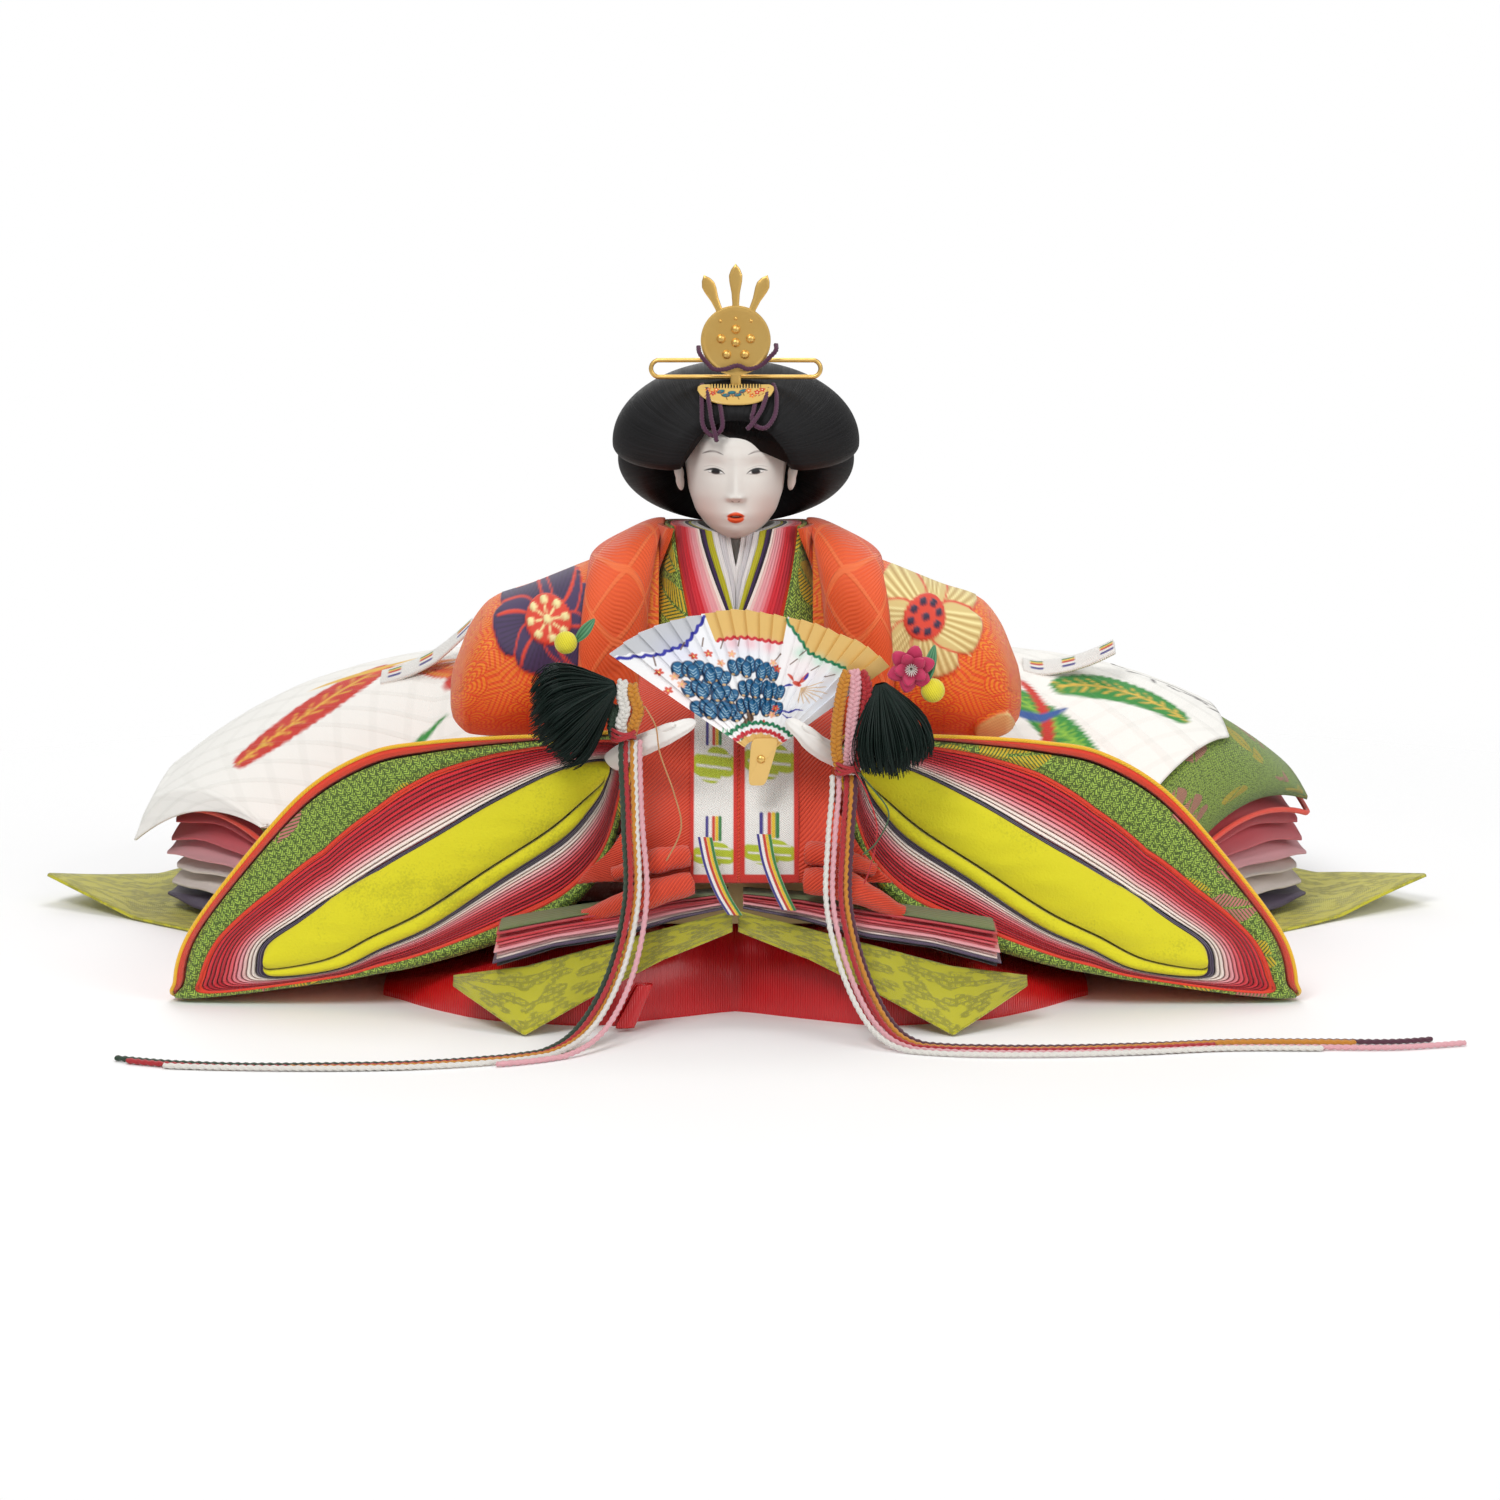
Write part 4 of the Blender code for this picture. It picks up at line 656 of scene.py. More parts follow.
# Robes laid out behind the doll: the lime under robe spread on the floor with two pointed ends,
# then the folded layers, the green brocade and the white train over them all
TRAIN_HEIGHT = 0.0957
BACK_FRONT_Y = 0.040
BACK_DEPTH = 0.150
PILE_HALF_WIDTH = 0.205
PILE_SIDE_FALL = 0.68
PILE_BACK_FALL = 0.50
PILE_ROUNDNESS = 4
PILE_FRONT_FALL = 0.50
PILE_CREST_SHARE = 0.50
PRESSED_FROM_X = 0.030
PRESSED_TO_X = 0.100
LIME_WING = 0.232
WING_LIFT = 0.009
WING_FROM_SHARE = 0.86
PILE_FROM_SHARE = 0.78
MEET_Y = 0.0312
MEET_SHARE = (MEET_Y - BACK_FRONT_Y) / BACK_DEPTH
BACK_WALL = 0.0012
BACK_GAP = 0.0004
LIME_FLOOR_SHARES = ((MEET_SHARE, 0.36), (0.0, 0.74), (0.18, 0.86), (0.37, 1.0), (0.62, 0.90), (0.88, 0.78),
                     (1.0, 0.55))
LAYER_HALF_WIDTH = 0.190
LAYER_SHARES = ((MEET_SHARE, 0.20, 0.0), (0.0, 0.80, 0.0), (0.28, 1.0, 1.0), (0.55, 0.97, 1.0),
                (0.78, 0.86, 1.0), (0.92, 0.68, 1.0))
LAYER_TOP_SHARE = 0.72
BROCADE_TOP_SHARE = 0.92


def pile_height(x, y):
    across = 1 - PILE_SIDE_FALL * (x / PILE_HALF_WIDTH) ** PILE_ROUNDNESS
    depth = max(0.0, (y - BACK_FRONT_Y) / BACK_DEPTH)
    along = 1 - PILE_BACK_FALL * depth ** PILE_ROUNDNESS
    aside = min(1.0, max(0.0, (abs(x) - PRESSED_FROM_X) / (PRESSED_TO_X - PRESSED_FROM_X)))
    forward = max(0.0, 1 - depth / PILE_CREST_SHARE)
    return TRAIN_HEIGHT * across * along * (1 - PILE_FRONT_FALL * (forward * aside) ** 2)


def wing_lift(x, from_share):
    return WING_LIFT * max(0.0, abs(x) / LIME_WING - from_share) / (1 - WING_FROM_SHARE)


def back_y(rows, along):
    return BACK_FRONT_Y + BACK_DEPTH * (rows[0][0] + (rows[-1][0] - rows[0][0]) * along)


def lime_floor_place(across, along):
    y = back_y(LIME_FLOOR_SHARES, along)
    share = between(LIME_FLOOR_SHARES, (y - BACK_FRONT_Y) / BACK_DEPTH)[0]
    x = (2 * across - 1) * LIME_WING * share
    ripple = 0.0006 * (1 + math.sin(x * 55 + y * 30)) * min(1.0, max(0.0, (abs(x) - 0.13) / 0.04))
    return Vector((x, y, 0.0006 + wing_lift(x, WING_FROM_SHARE) + ripple))


bm = bmesh.new()
laid_grid(bm, 120, 60, lime_floor_place, (2 * LIME_WING, BACK_DEPTH))
lime_floor = finished("lime_robe_behind", bm, lime_silk, "doll", wall=0.0008, offset=0.0)
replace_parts(lime_floor, "back_lime")

# Layered robes behind: six padded folds of silk a side, dark purple lowest and coral on top,
# fanned apart at their outer ends
BACK_DYES = (PURPLE, CREAM, CREAM, PINK, CORAL, CORAL_RED)
bm = bmesh.new()
for k, colour in enumerate(BACK_DYES):
    low_share = k / len(BACK_DYES)
    high_share = (k + 0.96) / len(BACK_DYES)

    def fold_place(around, along, low_share=low_share, high_share=high_share, k=k):
        y = back_y(LAYER_SHARES, along)
        share = between(LAYER_SHARES, (y - BACK_FRONT_Y) / BACK_DEPTH)[0]
        width = (LAYER_HALF_WIDTH - 0.0016 * (k % 3)) * share
        turn = 2 * math.pi * around
        c, s = math.cos(turn), math.sin(turn)
        x = math.copysign(abs(c) ** 0.62, c) * width
        floor = BACK_WALL + BACK_GAP + wing_lift(x, PILE_FROM_SHARE)
        top = max(pile_height(x, y) * LAYER_TOP_SHARE, floor + 0.002)
        low = floor + (top - floor) * low_share
        high = floor + (top - floor) * high_share
        end = min(1.0, along / 0.02, (1 - along) / 0.03)
        swell = math.copysign(abs(s) ** 0.7, s) * (0.2 + 0.8 * math.sqrt(max(end, 0.0)))
        ripple = math.sin(y * 260 + k * 2.1) * 0.0004 * abs(c)
        return Vector((x, y, (low + high) / 2 + (high - low) / 2 * swell + ripple))

    laid_grid(bm, 120, 44, fold_place, (0.8, BACK_DEPTH), closed=True, colour=colour)
sealed(bm)
back_folds = finished("layers_behind", bm, robe_silk, "doll")
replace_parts(back_folds, "back_layers")

# Green brocade: dark olive ground thick with light sprigs, rose and yellow leaves floated over it,
# and its edge piped in orange red
BROCADE_GROUND = dye(70, 92, 26)
SPRIG = dye(158, 188, 70)
LEAF_ROSE = dye(196, 118, 112)
LEAF_YELLOW = dye(206, 178, 30)


def brocade_finish(name):
    """Sprigs are short slanted stitches in alternating columns; leaves are hatched ovals."""
    finish = Finish(name, BROCADE_GROUND, 0.7, Sheen_Weight=0.2)
    across, along = finish.cloth()
    here = finish.vector(across, along, 0.0)
    wander = finish.cloud(here, 240.0, 1.0)
    column = (across + wander * 0.0012) / 0.0022
    lean = abs(column.math("FRACT", column) - 0.5)
    stitch = (along / 0.00095 + lean * 2.6 + wander * 1.2)
    stitch = stitch.math("FRACT", stitch)
    grain = finish.cloud(here, 900.0, 1.0)
    sprig = (stitch > 0.40) * grain.clear(0.36, 0.50) * lean.clear(0.03, 0.10)
    cells = finish.node("TexVoronoi", {"feature": "F1"}, {"Vector": here, "Scale": 42.0, "Randomness": 0.8},
                        "Position")
    local = finish.node("VectorMath", {"operation": "SUBTRACT"}, {0: here, 1: cells})
    local_x = finish.node("SeparateXYZ", sockets={0: local})
    local_y = local_x.out("Y")
    tilt_x = local_x * 0.80 + local_y * 0.60
    tilt_y = local_y * 0.80 - local_x * 0.60
    lobe = abs(tilt_x) / 0.0095
    leaf_half = (1 - lobe * lobe) * 0.0050
    leaf = (abs(tilt_y) < leaf_half) * (abs(tilt_y) > 0.0004)
    hatch = (tilt_x - abs(tilt_y) * 0.8).wave(0.0012) > 0.35
    pick = finish.node("SeparateXYZ", sockets={0: cells})
    which = (pick * 913.0 + pick.out("Y") * 571.0)
    which = which.math("FRACT", which)
    shown = which > 0.30
    leaf_dye = finish.blend(which > 0.68, LEAF_ROSE, LEAF_YELLOW)
    body = finish.blend(sprig, BROCADE_GROUND, SPRIG)
    body = finish.blend(leaf * shown * 0.75, body, BROCADE_GROUND)
    body = finish.blend(leaf * shown * hatch, body, leaf_dye)
    finish.feed("Base Color", body)
    finish.relief(sprig * 0.6 + leaf * shown * hatch, 0.00022)
    return finish


green_brocade = brocade_finish("green_brocade")


def brocade_body_place(around, along):
    y = back_y(LAYER_SHARES, along)
    share = between(LAYER_SHARES, (y - BACK_FRONT_Y) / BACK_DEPTH)[0]
    turn = 2 * math.pi * around
    c, s = math.cos(turn), math.sin(turn)
    x = math.copysign(abs(c) ** 0.5, c) * LAYER_HALF_WIDTH * share
    low = pile_height(x, y) * LAYER_TOP_SHARE + BACK_GAP
    high = pile_height(x, y) * BROCADE_TOP_SHARE
    thin = 1 - 0.62 * min(1.0, max(0.0, (abs(x) / (LAYER_HALF_WIDTH * share) - 0.72) / 0.28))
    swell = math.copysign(abs(s) ** 0.5, s)
    middle = high - (high - low) / 2 * thin
    return Vector((x, y, middle + (high - low) / 2 * thin * swell))


bm = bmesh.new()
laid_grid(bm, 160, 50, brocade_body_place, (0.8, BACK_DEPTH), closed=True)
sealed(bm)
brocade_behind = finished("brocade_behind", bm, green_brocade, "doll", smooth=60)
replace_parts(brocade_behind, "back_brocade")

piping_red = Finish("orange_red_silk", ORANGE_RED, 0.5, Sheen_Weight=0.3)
piping_twill = (piping_red.cloth()[0] + piping_red.cloth()[1]).wave(0.0006)
piping_red.feed("Base Color", piping_red.blend(piping_twill * 0.4, ORANGE_RED, dye(204, 36, 14)))
piping_red.relief(piping_twill, 0.0001)
edge_points = []
for step in range(60):
    along = step / 59
    y = back_y(LAYER_SHARES, along)
    share = between(LAYER_SHARES, (y - BACK_FRONT_Y) / BACK_DEPTH)[0]
    x = LAYER_HALF_WIDTH * share
    edge_points.append(Vector((x - 0.0002, y, pile_height(x, y) * (BROCADE_TOP_SHARE - 0.145))))
for word, side in (("left", -1), ("right", 1)):
    bm = bmesh.new()
    rope(bm, [Vector((p.x * side, p.y, p.z)) for p in edge_points], 0.0009, 8)
    facing_out(bm)
    finished("brocade_piping_" + word, bm, piping_red, "doll")


class Painting:
    """Dye laid on a piece's points: places are metres on the piece, colours cover what is below."""

    def __init__(self, x, y, ground):
        self.x = np.asarray(x)
        self.y = np.asarray(y)
        self.colour = np.tile(np.asarray(ground, dtype=float), (len(self.x), 1))
        self.soft = 0.0004
        self.raised = np.zeros(len(self.x))

    def cover(self, mask, colour, raised=0.0):
        mask = np.clip(mask, 0, 1)[:, None]
        self.colour = self.colour * (1 - mask) + np.asarray(colour) * mask
        self.raised = np.maximum(self.raised, mask[:, 0] * raised)

    def inside(self, depth):
        return np.clip(depth / self.soft + 0.5, 0, 1)

    def stroke(self, points, half_width, colour, taper=0.0, raised=0.0):
        """Brush line; taper 1 thins it to nothing at both ends."""
        best = np.full(len(self.x), -1.0)
        count = len(points) - 1
        for i, (a, b) in enumerate(zip(points, points[1:])):
            dx, dy = b[0] - a[0], b[1] - a[1]
            long = dx * dx + dy * dy or 1e-12
            t = np.clip(((self.x - a[0]) * dx + (self.y - a[1]) * dy) / long, 0, 1)
            away = np.hypot(self.x - a[0] - t * dx, self.y - a[1] - t * dy)
            share = (i + t) / count
            wide = half_width * (1 - taper * np.abs(2 * share - 1) ** 2)
            best = np.maximum(best, wide - away)
        self.cover(self.inside(best), colour, raised)

    def oval(self, x, y, half_long, half_wide, turn, colour, raised=0.0, power=2.0):
        c, s = math.cos(turn), math.sin(turn)
        u = ((self.x - x) * c + (self.y - y) * s) / half_long
        v = ((self.y - y) * c - (self.x - x) * s) / half_wide
        self.cover(self.inside((1 - (np.abs(u) ** power + np.abs(v) ** power) ** (1 / power)) * half_wide),
                   colour, raised)

    def petals(self, x, y, count, reach, half_wide, colour, turn=0.0, raised=0.0):
        for k in range(count):
            angle = turn + 2 * math.pi * k / count
            self.oval(x + math.cos(angle) * reach * 0.6, y + math.sin(angle) * reach * 0.6,
                      reach * 0.5, half_wide, angle, colour, raised)

    def blot(self, x, y, radius, colour, strength):
        away = np.hypot(self.x - x, self.y - y) / radius
        self.cover(np.exp(-away ** 2) * strength, colour)


def bent(x, y, turn, length, bend, count=12):
    """Points of a line that leaves (x, y) and bends steadily."""
    points = [(x, y)]
    for k in range(count):
        turn += bend / count
        x += math.cos(turn) * length / count
        y += math.sin(turn) * length / count
        points.append((x, y))
    return points


# White train: stiff white damask over the pile, hand painted with long feathers, a wing, grasses
# and twigs in a generic arrangement of the traditional kind, its left corner turned down
TRAIN_WHITE = dye(246, 244, 238)
TRAIN_DROP = 0.016
TRAIN_REACH = 0.009
TRAIN_LEFT = 0.0018
VERMILION, FEATHER_GREEN = dye(204, 46, 30), dye(44, 140, 52)
PAINT_YELLOW, PAINT_BLUE, PAINT_INK = dye(232, 186, 66), dye(50, 90, 160), dye(60, 52, 54)
PAINT_ORANGE = dye(232, 96, 40)


def painted_feather(art, x, y, turn, length, half_wide, bend, colour, vein):
    """Serrated feather: slanted barbs on a bent rib, with light veins."""
    rib = bent(x, y, turn, length, bend, 22)
    for k, (a, b) in enumerate(zip(rib[1:], rib[2:])):
        share = k / 20
        wide = half_wide * math.sin(math.pi * min(1.0, 0.12 + share * 0.84)) ** 0.6
        aim = math.atan2(b[1] - a[1], b[0] - a[0])
        for side in (-1, 1):
            tip_turn = aim + side * 0.85
            tip = (a[0] + math.cos(tip_turn) * wide, a[1] + math.sin(tip_turn) * wide)
            art.stroke([a, ((a[0] + tip[0]) / 2, (a[1] + tip[1]) / 2), tip], length * 0.036, colour, 0.5)
    for k, (a, b) in enumerate(zip(rib[2::2], rib[3::2])):
        wide = half_wide * 0.62 * math.sin(math.pi * min(1.0, 0.15 + k / 11 * 0.8)) ** 0.6
        aim = math.atan2(b[1] - a[1], b[0] - a[0])
        for side in (-1, 1):
            tip_turn = aim + side * 0.75
            tip = (a[0] + math.cos(tip_turn) * wide, a[1] + math.sin(tip_turn) * wide)
            art.stroke([a, tip], 0.00035, vein)
    art.stroke(rib[1:-1], 0.0005, vein)


def paint_train(art):
    art.soft = 0.0008
    painted_feather(art, -0.166, 0.066, 0.42, 0.060, 0.0085, 0.30, VERMILION, PAINT_YELLOW)
    painted_feather(art, -0.118, 0.136, 0.30, 0.055, 0.0080, -0.5, FEATHER_GREEN, PAINT_YELLOW)
    painted_feather(art, 0.150, 0.078, 2.55, 0.048, 0.0085, 1.1, FEATHER_GREEN, PAINT_YELLOW)
    painted_feather(art, 0.118, 0.052, 2.35, 0.036, 0.0080, 0.5, FEATHER_GREEN, dye(150, 200, 60))
    painted_feather(art, 0.060, 0.150, 1.0, 0.050, 0.0080, 0.9, VERMILION, PAINT_YELLOW)
    for k in range(7):
        art.stroke(bent(-0.092 + 0.002 * k, 0.092 - 0.004 * k, 2.9 - 0.10 * k, 0.030 + 0.002 * k, 0.3),
                   0.0017, VERMILION if k % 2 else PAINT_ORANGE, 0.7)
        art.stroke(bent(-0.092 + 0.002 * k, 0.092 - 0.004 * k, 2.9 - 0.10 * k, 0.026 + 0.002 * k, 0.3),
                   0.0003, PAINT_YELLOW)
    art.oval(-0.086, 0.080, 0.011, 0.006, 0.4, VERMILION)
    art.oval(-0.081, 0.078, 0.004, 0.003, 0.4, PAINT_ORANGE)
    art.stroke(bent(-0.142, 0.094, 0.10, 0.036, 0.1), 0.0016, PAINT_YELLOW, 0.9)
    art.stroke(bent(-0.108, 0.052, 1.1, 0.018, -0.8), 0.0013, FEATHER_GREEN, 0.8)
    art.stroke(bent(0.098, 0.050, 0.9, 0.030, 1.5), 0.0022, VERMILION, 0.3)
    art.stroke(bent(0.083, 0.058, 0.3, 0.028, 0.3), 0.0015, PAINT_BLUE, 0.7)
    art.stroke(bent(0.135, 0.106, 0.1, 0.036, -0.5), 0.0005, PAINT_INK, 0.5)
    for k in range(9):
        art.stroke(bent(0.126 + 0.0045 * k, 0.108 - 0.0012 * k, 1.2 + k, 0.005, 0.8), 0.0007, PAINT_INK, 0.6)
    for k in range(5):
        art.stroke(bent(-0.060 + 0.03 * k, 0.150, 0.5 + 0.5 * k, 0.02, 1.0), 0.0012,
                   (PAINT_BLUE, FEATHER_GREEN, PAINT_YELLOW)[k % 3], 0.8)


def train_place(across, along):
    """The first share of the width is the corner that hangs down at the left."""
    corner = 0.07
    y = back_y(LAYER_SHARES, along)
    share, fall = between(LAYER_SHARES, (y - BACK_FRONT_Y) / BACK_DEPTH)
    left = -LAYER_HALF_WIDTH * share
    right = LAYER_HALF_WIDTH * share * (1 - 2 / 14)
    damask = 0.0003 * noise.noise(Vector((across * 30, along * 16, 0.4)))
    if across >= corner:
        x = left + (right - left) * (across - corner) / (1 - corner)
        return Vector((x, y, pile_height(x, y) * BROCADE_TOP_SHARE + BACK_GAP * 1.5 + 0.0004 + damask))
    down = 1 - across / corner
    edge = pile_height(left, y) * BROCADE_TOP_SHARE + BACK_GAP * 1.5
    curl = 0.0012 * math.sin(along * 14) * down * fall
    fall *= down
    return Vector((left - TRAIN_LEFT * min(1, down * 6) - TRAIN_REACH * fall - curl, y,
                   edge - TRAIN_DROP * fall ** 1.2))


white_damask = Finish("white_damask", TRAIN_WHITE, 0.72, Sheen_Weight=0.2)
damask_u, damask_v = white_damask.cloth()
damask_lines = (damask_u * 0.5 + damask_v).wave(0.0105).clear(0.80, 0.95)
damask_lines2 = (damask_u - damask_v * 0.6).wave(0.0125).clear(0.80, 0.95)
damask_weave = damask_u.wave(0.0006) * damask_v.wave(0.0006)
damask_mist = white_damask.cloud(white_damask.vector(damask_u, damask_v, 0.0), 30.0)
damask_paint = white_damask.painted()
damask_dull = white_damask.deeper(1.0, damask_paint, (0.86, 0.86, 0.85))
white_damask.feed("Base Color", white_damask.blend(
    damask_lines * 0.35 + damask_lines2 * 0.25 + damask_mist * 0.2, damask_paint, damask_dull))
white_damask.relief(damask_weave * 0.5 + damask_lines + damask_mist, 0.00015)
bm = bmesh.new()
train_points, _ = laid_grid(bm, 280, 165, train_place, (0.375, 0.147))
train_art = Painting([v.co.x for v in train_points], [v.co.y for v in train_points], TRAIN_WHITE)
paint_train(train_art)
train = finished("painted_train", bm, white_damask, "doll", paint=train_art.colour, wall=0.0008, offset=1.0)
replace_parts(train, "train")

# Ties of the train: white woven bands with the court stripes, their ends standing a little clear
SASH_WIDTH = 0.009
SASH_LENGTH = 0.030
SASH_RISE = 0.012
SASH_PLACES = {"left": (-0.118, 0.084), "right": (0.095, 0.084)}
STRIPE_DYES = (dye(60, 50, 140), dye(250, 246, 240), dye(214, 60, 40), dye(240, 200, 40), dye(50, 130, 60))

woven_band = Finish("white_woven_band", TRAIN_WHITE, 0.6, Sheen_Weight=0.25)
band_u, band_v = woven_band.cloth()
band_lean = abs(((band_u / 0.0016).math("FRACT", band_u / 0.0016)) - 0.5)
band_herring = (band_v + band_lean * 0.0016).wave(0.0007)
woven_band.feed("Base Color", woven_band.deeper(band_herring * 0.35, woven_band.painted(), (0.72, 0.71, 0.72)))
woven_band.relief(band_herring, 0.00018)


def court_stripes(art, x, y, half_wide, half_long, turn=0.0):
    """The five court colours side by side in one small block."""
    wide = 2 * half_wide / len(STRIPE_DYES)
    for k, colour in enumerate(STRIPE_DYES):
        aside = -half_wide + wide * (k + 0.5)
        place = (x + math.cos(turn) * aside, y + math.sin(turn) * aside)
        aim = (-math.sin(turn) * half_long, math.cos(turn) * half_long)
        art.stroke([(place[0] - aim[0], place[1] - aim[1]), (place[0] + aim[0], place[1] + aim[1])],
                   wide / 2, colour)


for word, (sash_x, sash_y) in SASH_PLACES.items():
    def sash_place(across, along, sash_x=sash_x, sash_y=sash_y):
        at = sash_x + SASH_LENGTH * along
        place = sash_y + SASH_WIDTH * across
        base = pile_height(at, place) * BROCADE_TOP_SHARE + 2 * BACK_GAP + 0.0016
        return Vector((at, place, base + SASH_RISE * along ** 2 + 0.0006 * math.sin(across * 3)))

    bm = bmesh.new()
    made, shares = laid_grid(bm, 24, 80, sash_place, (SASH_WIDTH, SASH_LENGTH))
    art = Painting([s[0] * SASH_WIDTH for s in shares], [s[1] * SASH_LENGTH for s in shares], TRAIN_WHITE)
    art.soft = 0.0003
    for mark in (0.15, 0.5, 0.92):
        court_stripes(art, SASH_WIDTH / 2, SASH_LENGTH * mark, SASH_WIDTH * 0.30, 0.0017)
    sash = finished("train_tie_" + word, bm, woven_band, "doll", paint=art.colour, wall=0.0009, offset=1.0)
    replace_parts(sash, "train_sash_" + word)

# Robes on the trunk: nested silk walls open down the front, whose edges make the collar, from three
# white under collars through lime, purple, cream and pink to crimson, then brocade, then the coat
SHOULDER_HEIGHT = 0.134
WAIST_HALF_WIDTH = 0.0226
WAIST_HALF_DEPTH = 0.0162
ROBE_SHARES = ((0.225, 1.0, 1.0), (0.71, 0.98, 0.97), (0.836, 0.86, 0.85), (0.91, 0.64, 0.78),
               (0.955, 0.57, 0.76), (1.0, 0.53, 0.75))
ROBE_GAP = 0.0010
COLLAR_STAND = 0.0058
# Rows: name, how far out the wall lies, its thickness, half of the opening at the heights above,
# as shares of the trunk's half width, and its dye
WHITE_OPENING = (0.013, 0.013, 0.013, 0.05, 0.14, 0.22)
LIME_OPENING = (0.013, 0.013, 0.02, 0.15, 0.26, 0.36)
LAYER_OPENING = (0.013, 0.02, 0.10, 0.30, 0.42, 0.53)
OUTER_OPENING = (0.50, 0.53, 0.60, 0.73, 0.80, 0.84)
BROCADE_OPENING = (0.53, 0.57, 0.66, 0.77, 0.83, 0.88)
COAT_OPENING = (0.97, 1.06, 1.10, 1.12, 1.0, 0.86)
COLLAR_DYES = (CREAM, PALE_PINK, PINK, PINK, ROSE, CORAL, RED, RED, CRIMSON, CRIMSON, ORANGE_RED)
ROBE_LEVELS = 46
ROBE_COLUMNS = 96


def robe_place(offset, opening):
    """Wall round the trunk whose front ends stop at the opening."""
    def place(across, along):
        level = ROBE_SHARES[0][0] + (1 - ROBE_SHARES[0][0]) * along
        rows = [(row[0], row[1], row[2], gap) for row, gap in zip(ROBE_SHARES, opening)]
        spread = 0.02
        picks = [between(rows, level + spread * k) for k in (-1, -0.5, 0, 0.5, 1)]
        wide_share, deep_share, gap = [sum(pick[axis] for pick in picks) / 5 for axis in range(3)]
        wide = WAIST_HALF_WIDTH * wide_share + offset
        deep = WAIST_HALF_DEPTH * deep_share + offset
        end = math.pi - math.asin(min(gap * WAIST_HALF_WIDTH / wide, 0.95))
        turn = (2 * across - 1) * end
        near_edge = max(0.0, (abs(2 * across - 1) - 0.96) / 0.04)
        stand = COLLAR_STAND * max(0.0, (along - 0.75) / 0.25) ** 2 * (0.45 + 0.55 * abs(math.sin(turn)))
        return Vector(((wide - near_edge * 0.0002) * math.sin(turn), deep * math.cos(turn),
                       level * SHOULDER_HEIGHT + stand))
    return place


def robe_wall(bm, offset, thickness, opening, rows=ROBE_LEVELS, columns=ROBE_COLUMNS, colour=None):
    """Closed wall with rounded front edges: outer face, edge and inner face in one sheet."""
    outer = robe_place(offset + thickness, opening)
    inner = robe_place(offset, opening)
    middle = robe_place(offset + thickness / 2, opening)
    tip = 0.5 * thickness

    def place(around, along):
        turn = (around * 2) % 2
        face = outer if turn <= 1 else inner
        across = turn if turn <= 1 else 2 - turn
        edge = min(across, 1 - across) * columns / 2
        point = face(across, along)
        if edge < 1.2:
            ease = math.sqrt(max(0.0, 1 - (1 - edge / 1.2) ** 2))
            point = middle(across, along).lerp(point, ease)
            point.x -= math.copysign(tip * (1 - ease) * 0.6, point.x) if point.y < 0 else 0.0
        return point

    laid_grid(bm, 2 * columns, rows, place, (0.24, 0.104), closed=True, colour=colour)


def collar_piece(name, node, finish, walls):
    """Several walls of one collar, each with its dye."""
    bm = bmesh.new()
    for offset, thickness, opening, colour in walls:
        robe_wall(bm, offset, thickness, opening, 36, 48, colour)
    sealed(bm)
    piece = finished(name, bm, finish, "doll", smooth=70)
    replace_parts(piece, node)


def opened(low, high, share):
    return tuple(a + (b - a) * share for a, b in zip(low, high))


WHITE_WALL = 0.0008
LAYERS_FROM = 2 * (WHITE_WALL + ROBE_GAP)
LAYERS_WALL = 0.0045
BROCADE_FROM = LAYERS_FROM + LAYERS_WALL + ROBE_GAP
COAT_FROM = BROCADE_FROM + 0.0010 + ROBE_GAP
COAT_WALL = 0.0016
COAT_HALF_WIDTH = WAIST_HALF_WIDTH + COAT_FROM + COAT_WALL
UNDER_WHITE, UNDER_GREY = dye(238, 236, 234), dye(214, 212, 214)
collar_piece("collar_white_silk", "collar_white", robe_silk, [
    (0.0000, 0.0005, opened(WHITE_OPENING, LIME_OPENING, -0.9), UNDER_WHITE),
    (0.0007, 0.0005, opened(WHITE_OPENING, LIME_OPENING, -0.3), UNDER_GREY),
    (0.0014, 0.0005, opened(WHITE_OPENING, LIME_OPENING, 0.35), UNDER_WHITE)])
collar_piece("collar_lime_silk", "collar_lime", robe_silk, [
    (0.0021, 0.0006, LIME_OPENING, dye(188, 182, 6))])
inner_walls = [(0.0029, 0.0005, opened(LIME_OPENING, LAYER_OPENING, 0.55), PURPLE),
               (0.0035, 0.0004, opened(LIME_OPENING, LAYER_OPENING, 0.85), NAVY)]
step_out = LAYERS_WALL / len(COLLAR_DYES)
for k, colour in enumerate(COLLAR_DYES):
    share = k / (len(COLLAR_DYES) - 1)
    inner_walls.append((LAYERS_FROM + 0.0003 + step_out * k, step_out * 0.9,
                        opened(LAYER_OPENING, OUTER_OPENING, share), colour))
collar_piece("collar_layered_silk", "collar_layers", robe_silk, inner_walls)

bm = bmesh.new()
robe_wall(bm, BROCADE_FROM, 0.0010, BROCADE_OPENING)
sealed(bm)
brocade_collar = finished("collar_green_brocade", bm, green_brocade, "doll", smooth=70)
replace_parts(brocade_collar, "collar_brocade")

# Coat: orange figured twill, plain with a light lattice at the lapels
COAT_DYE = dye(238, 92, 28)
COAT_DEEP = dye(214, 62, 16)
FLORAL_DYE = dye(244, 146, 30)


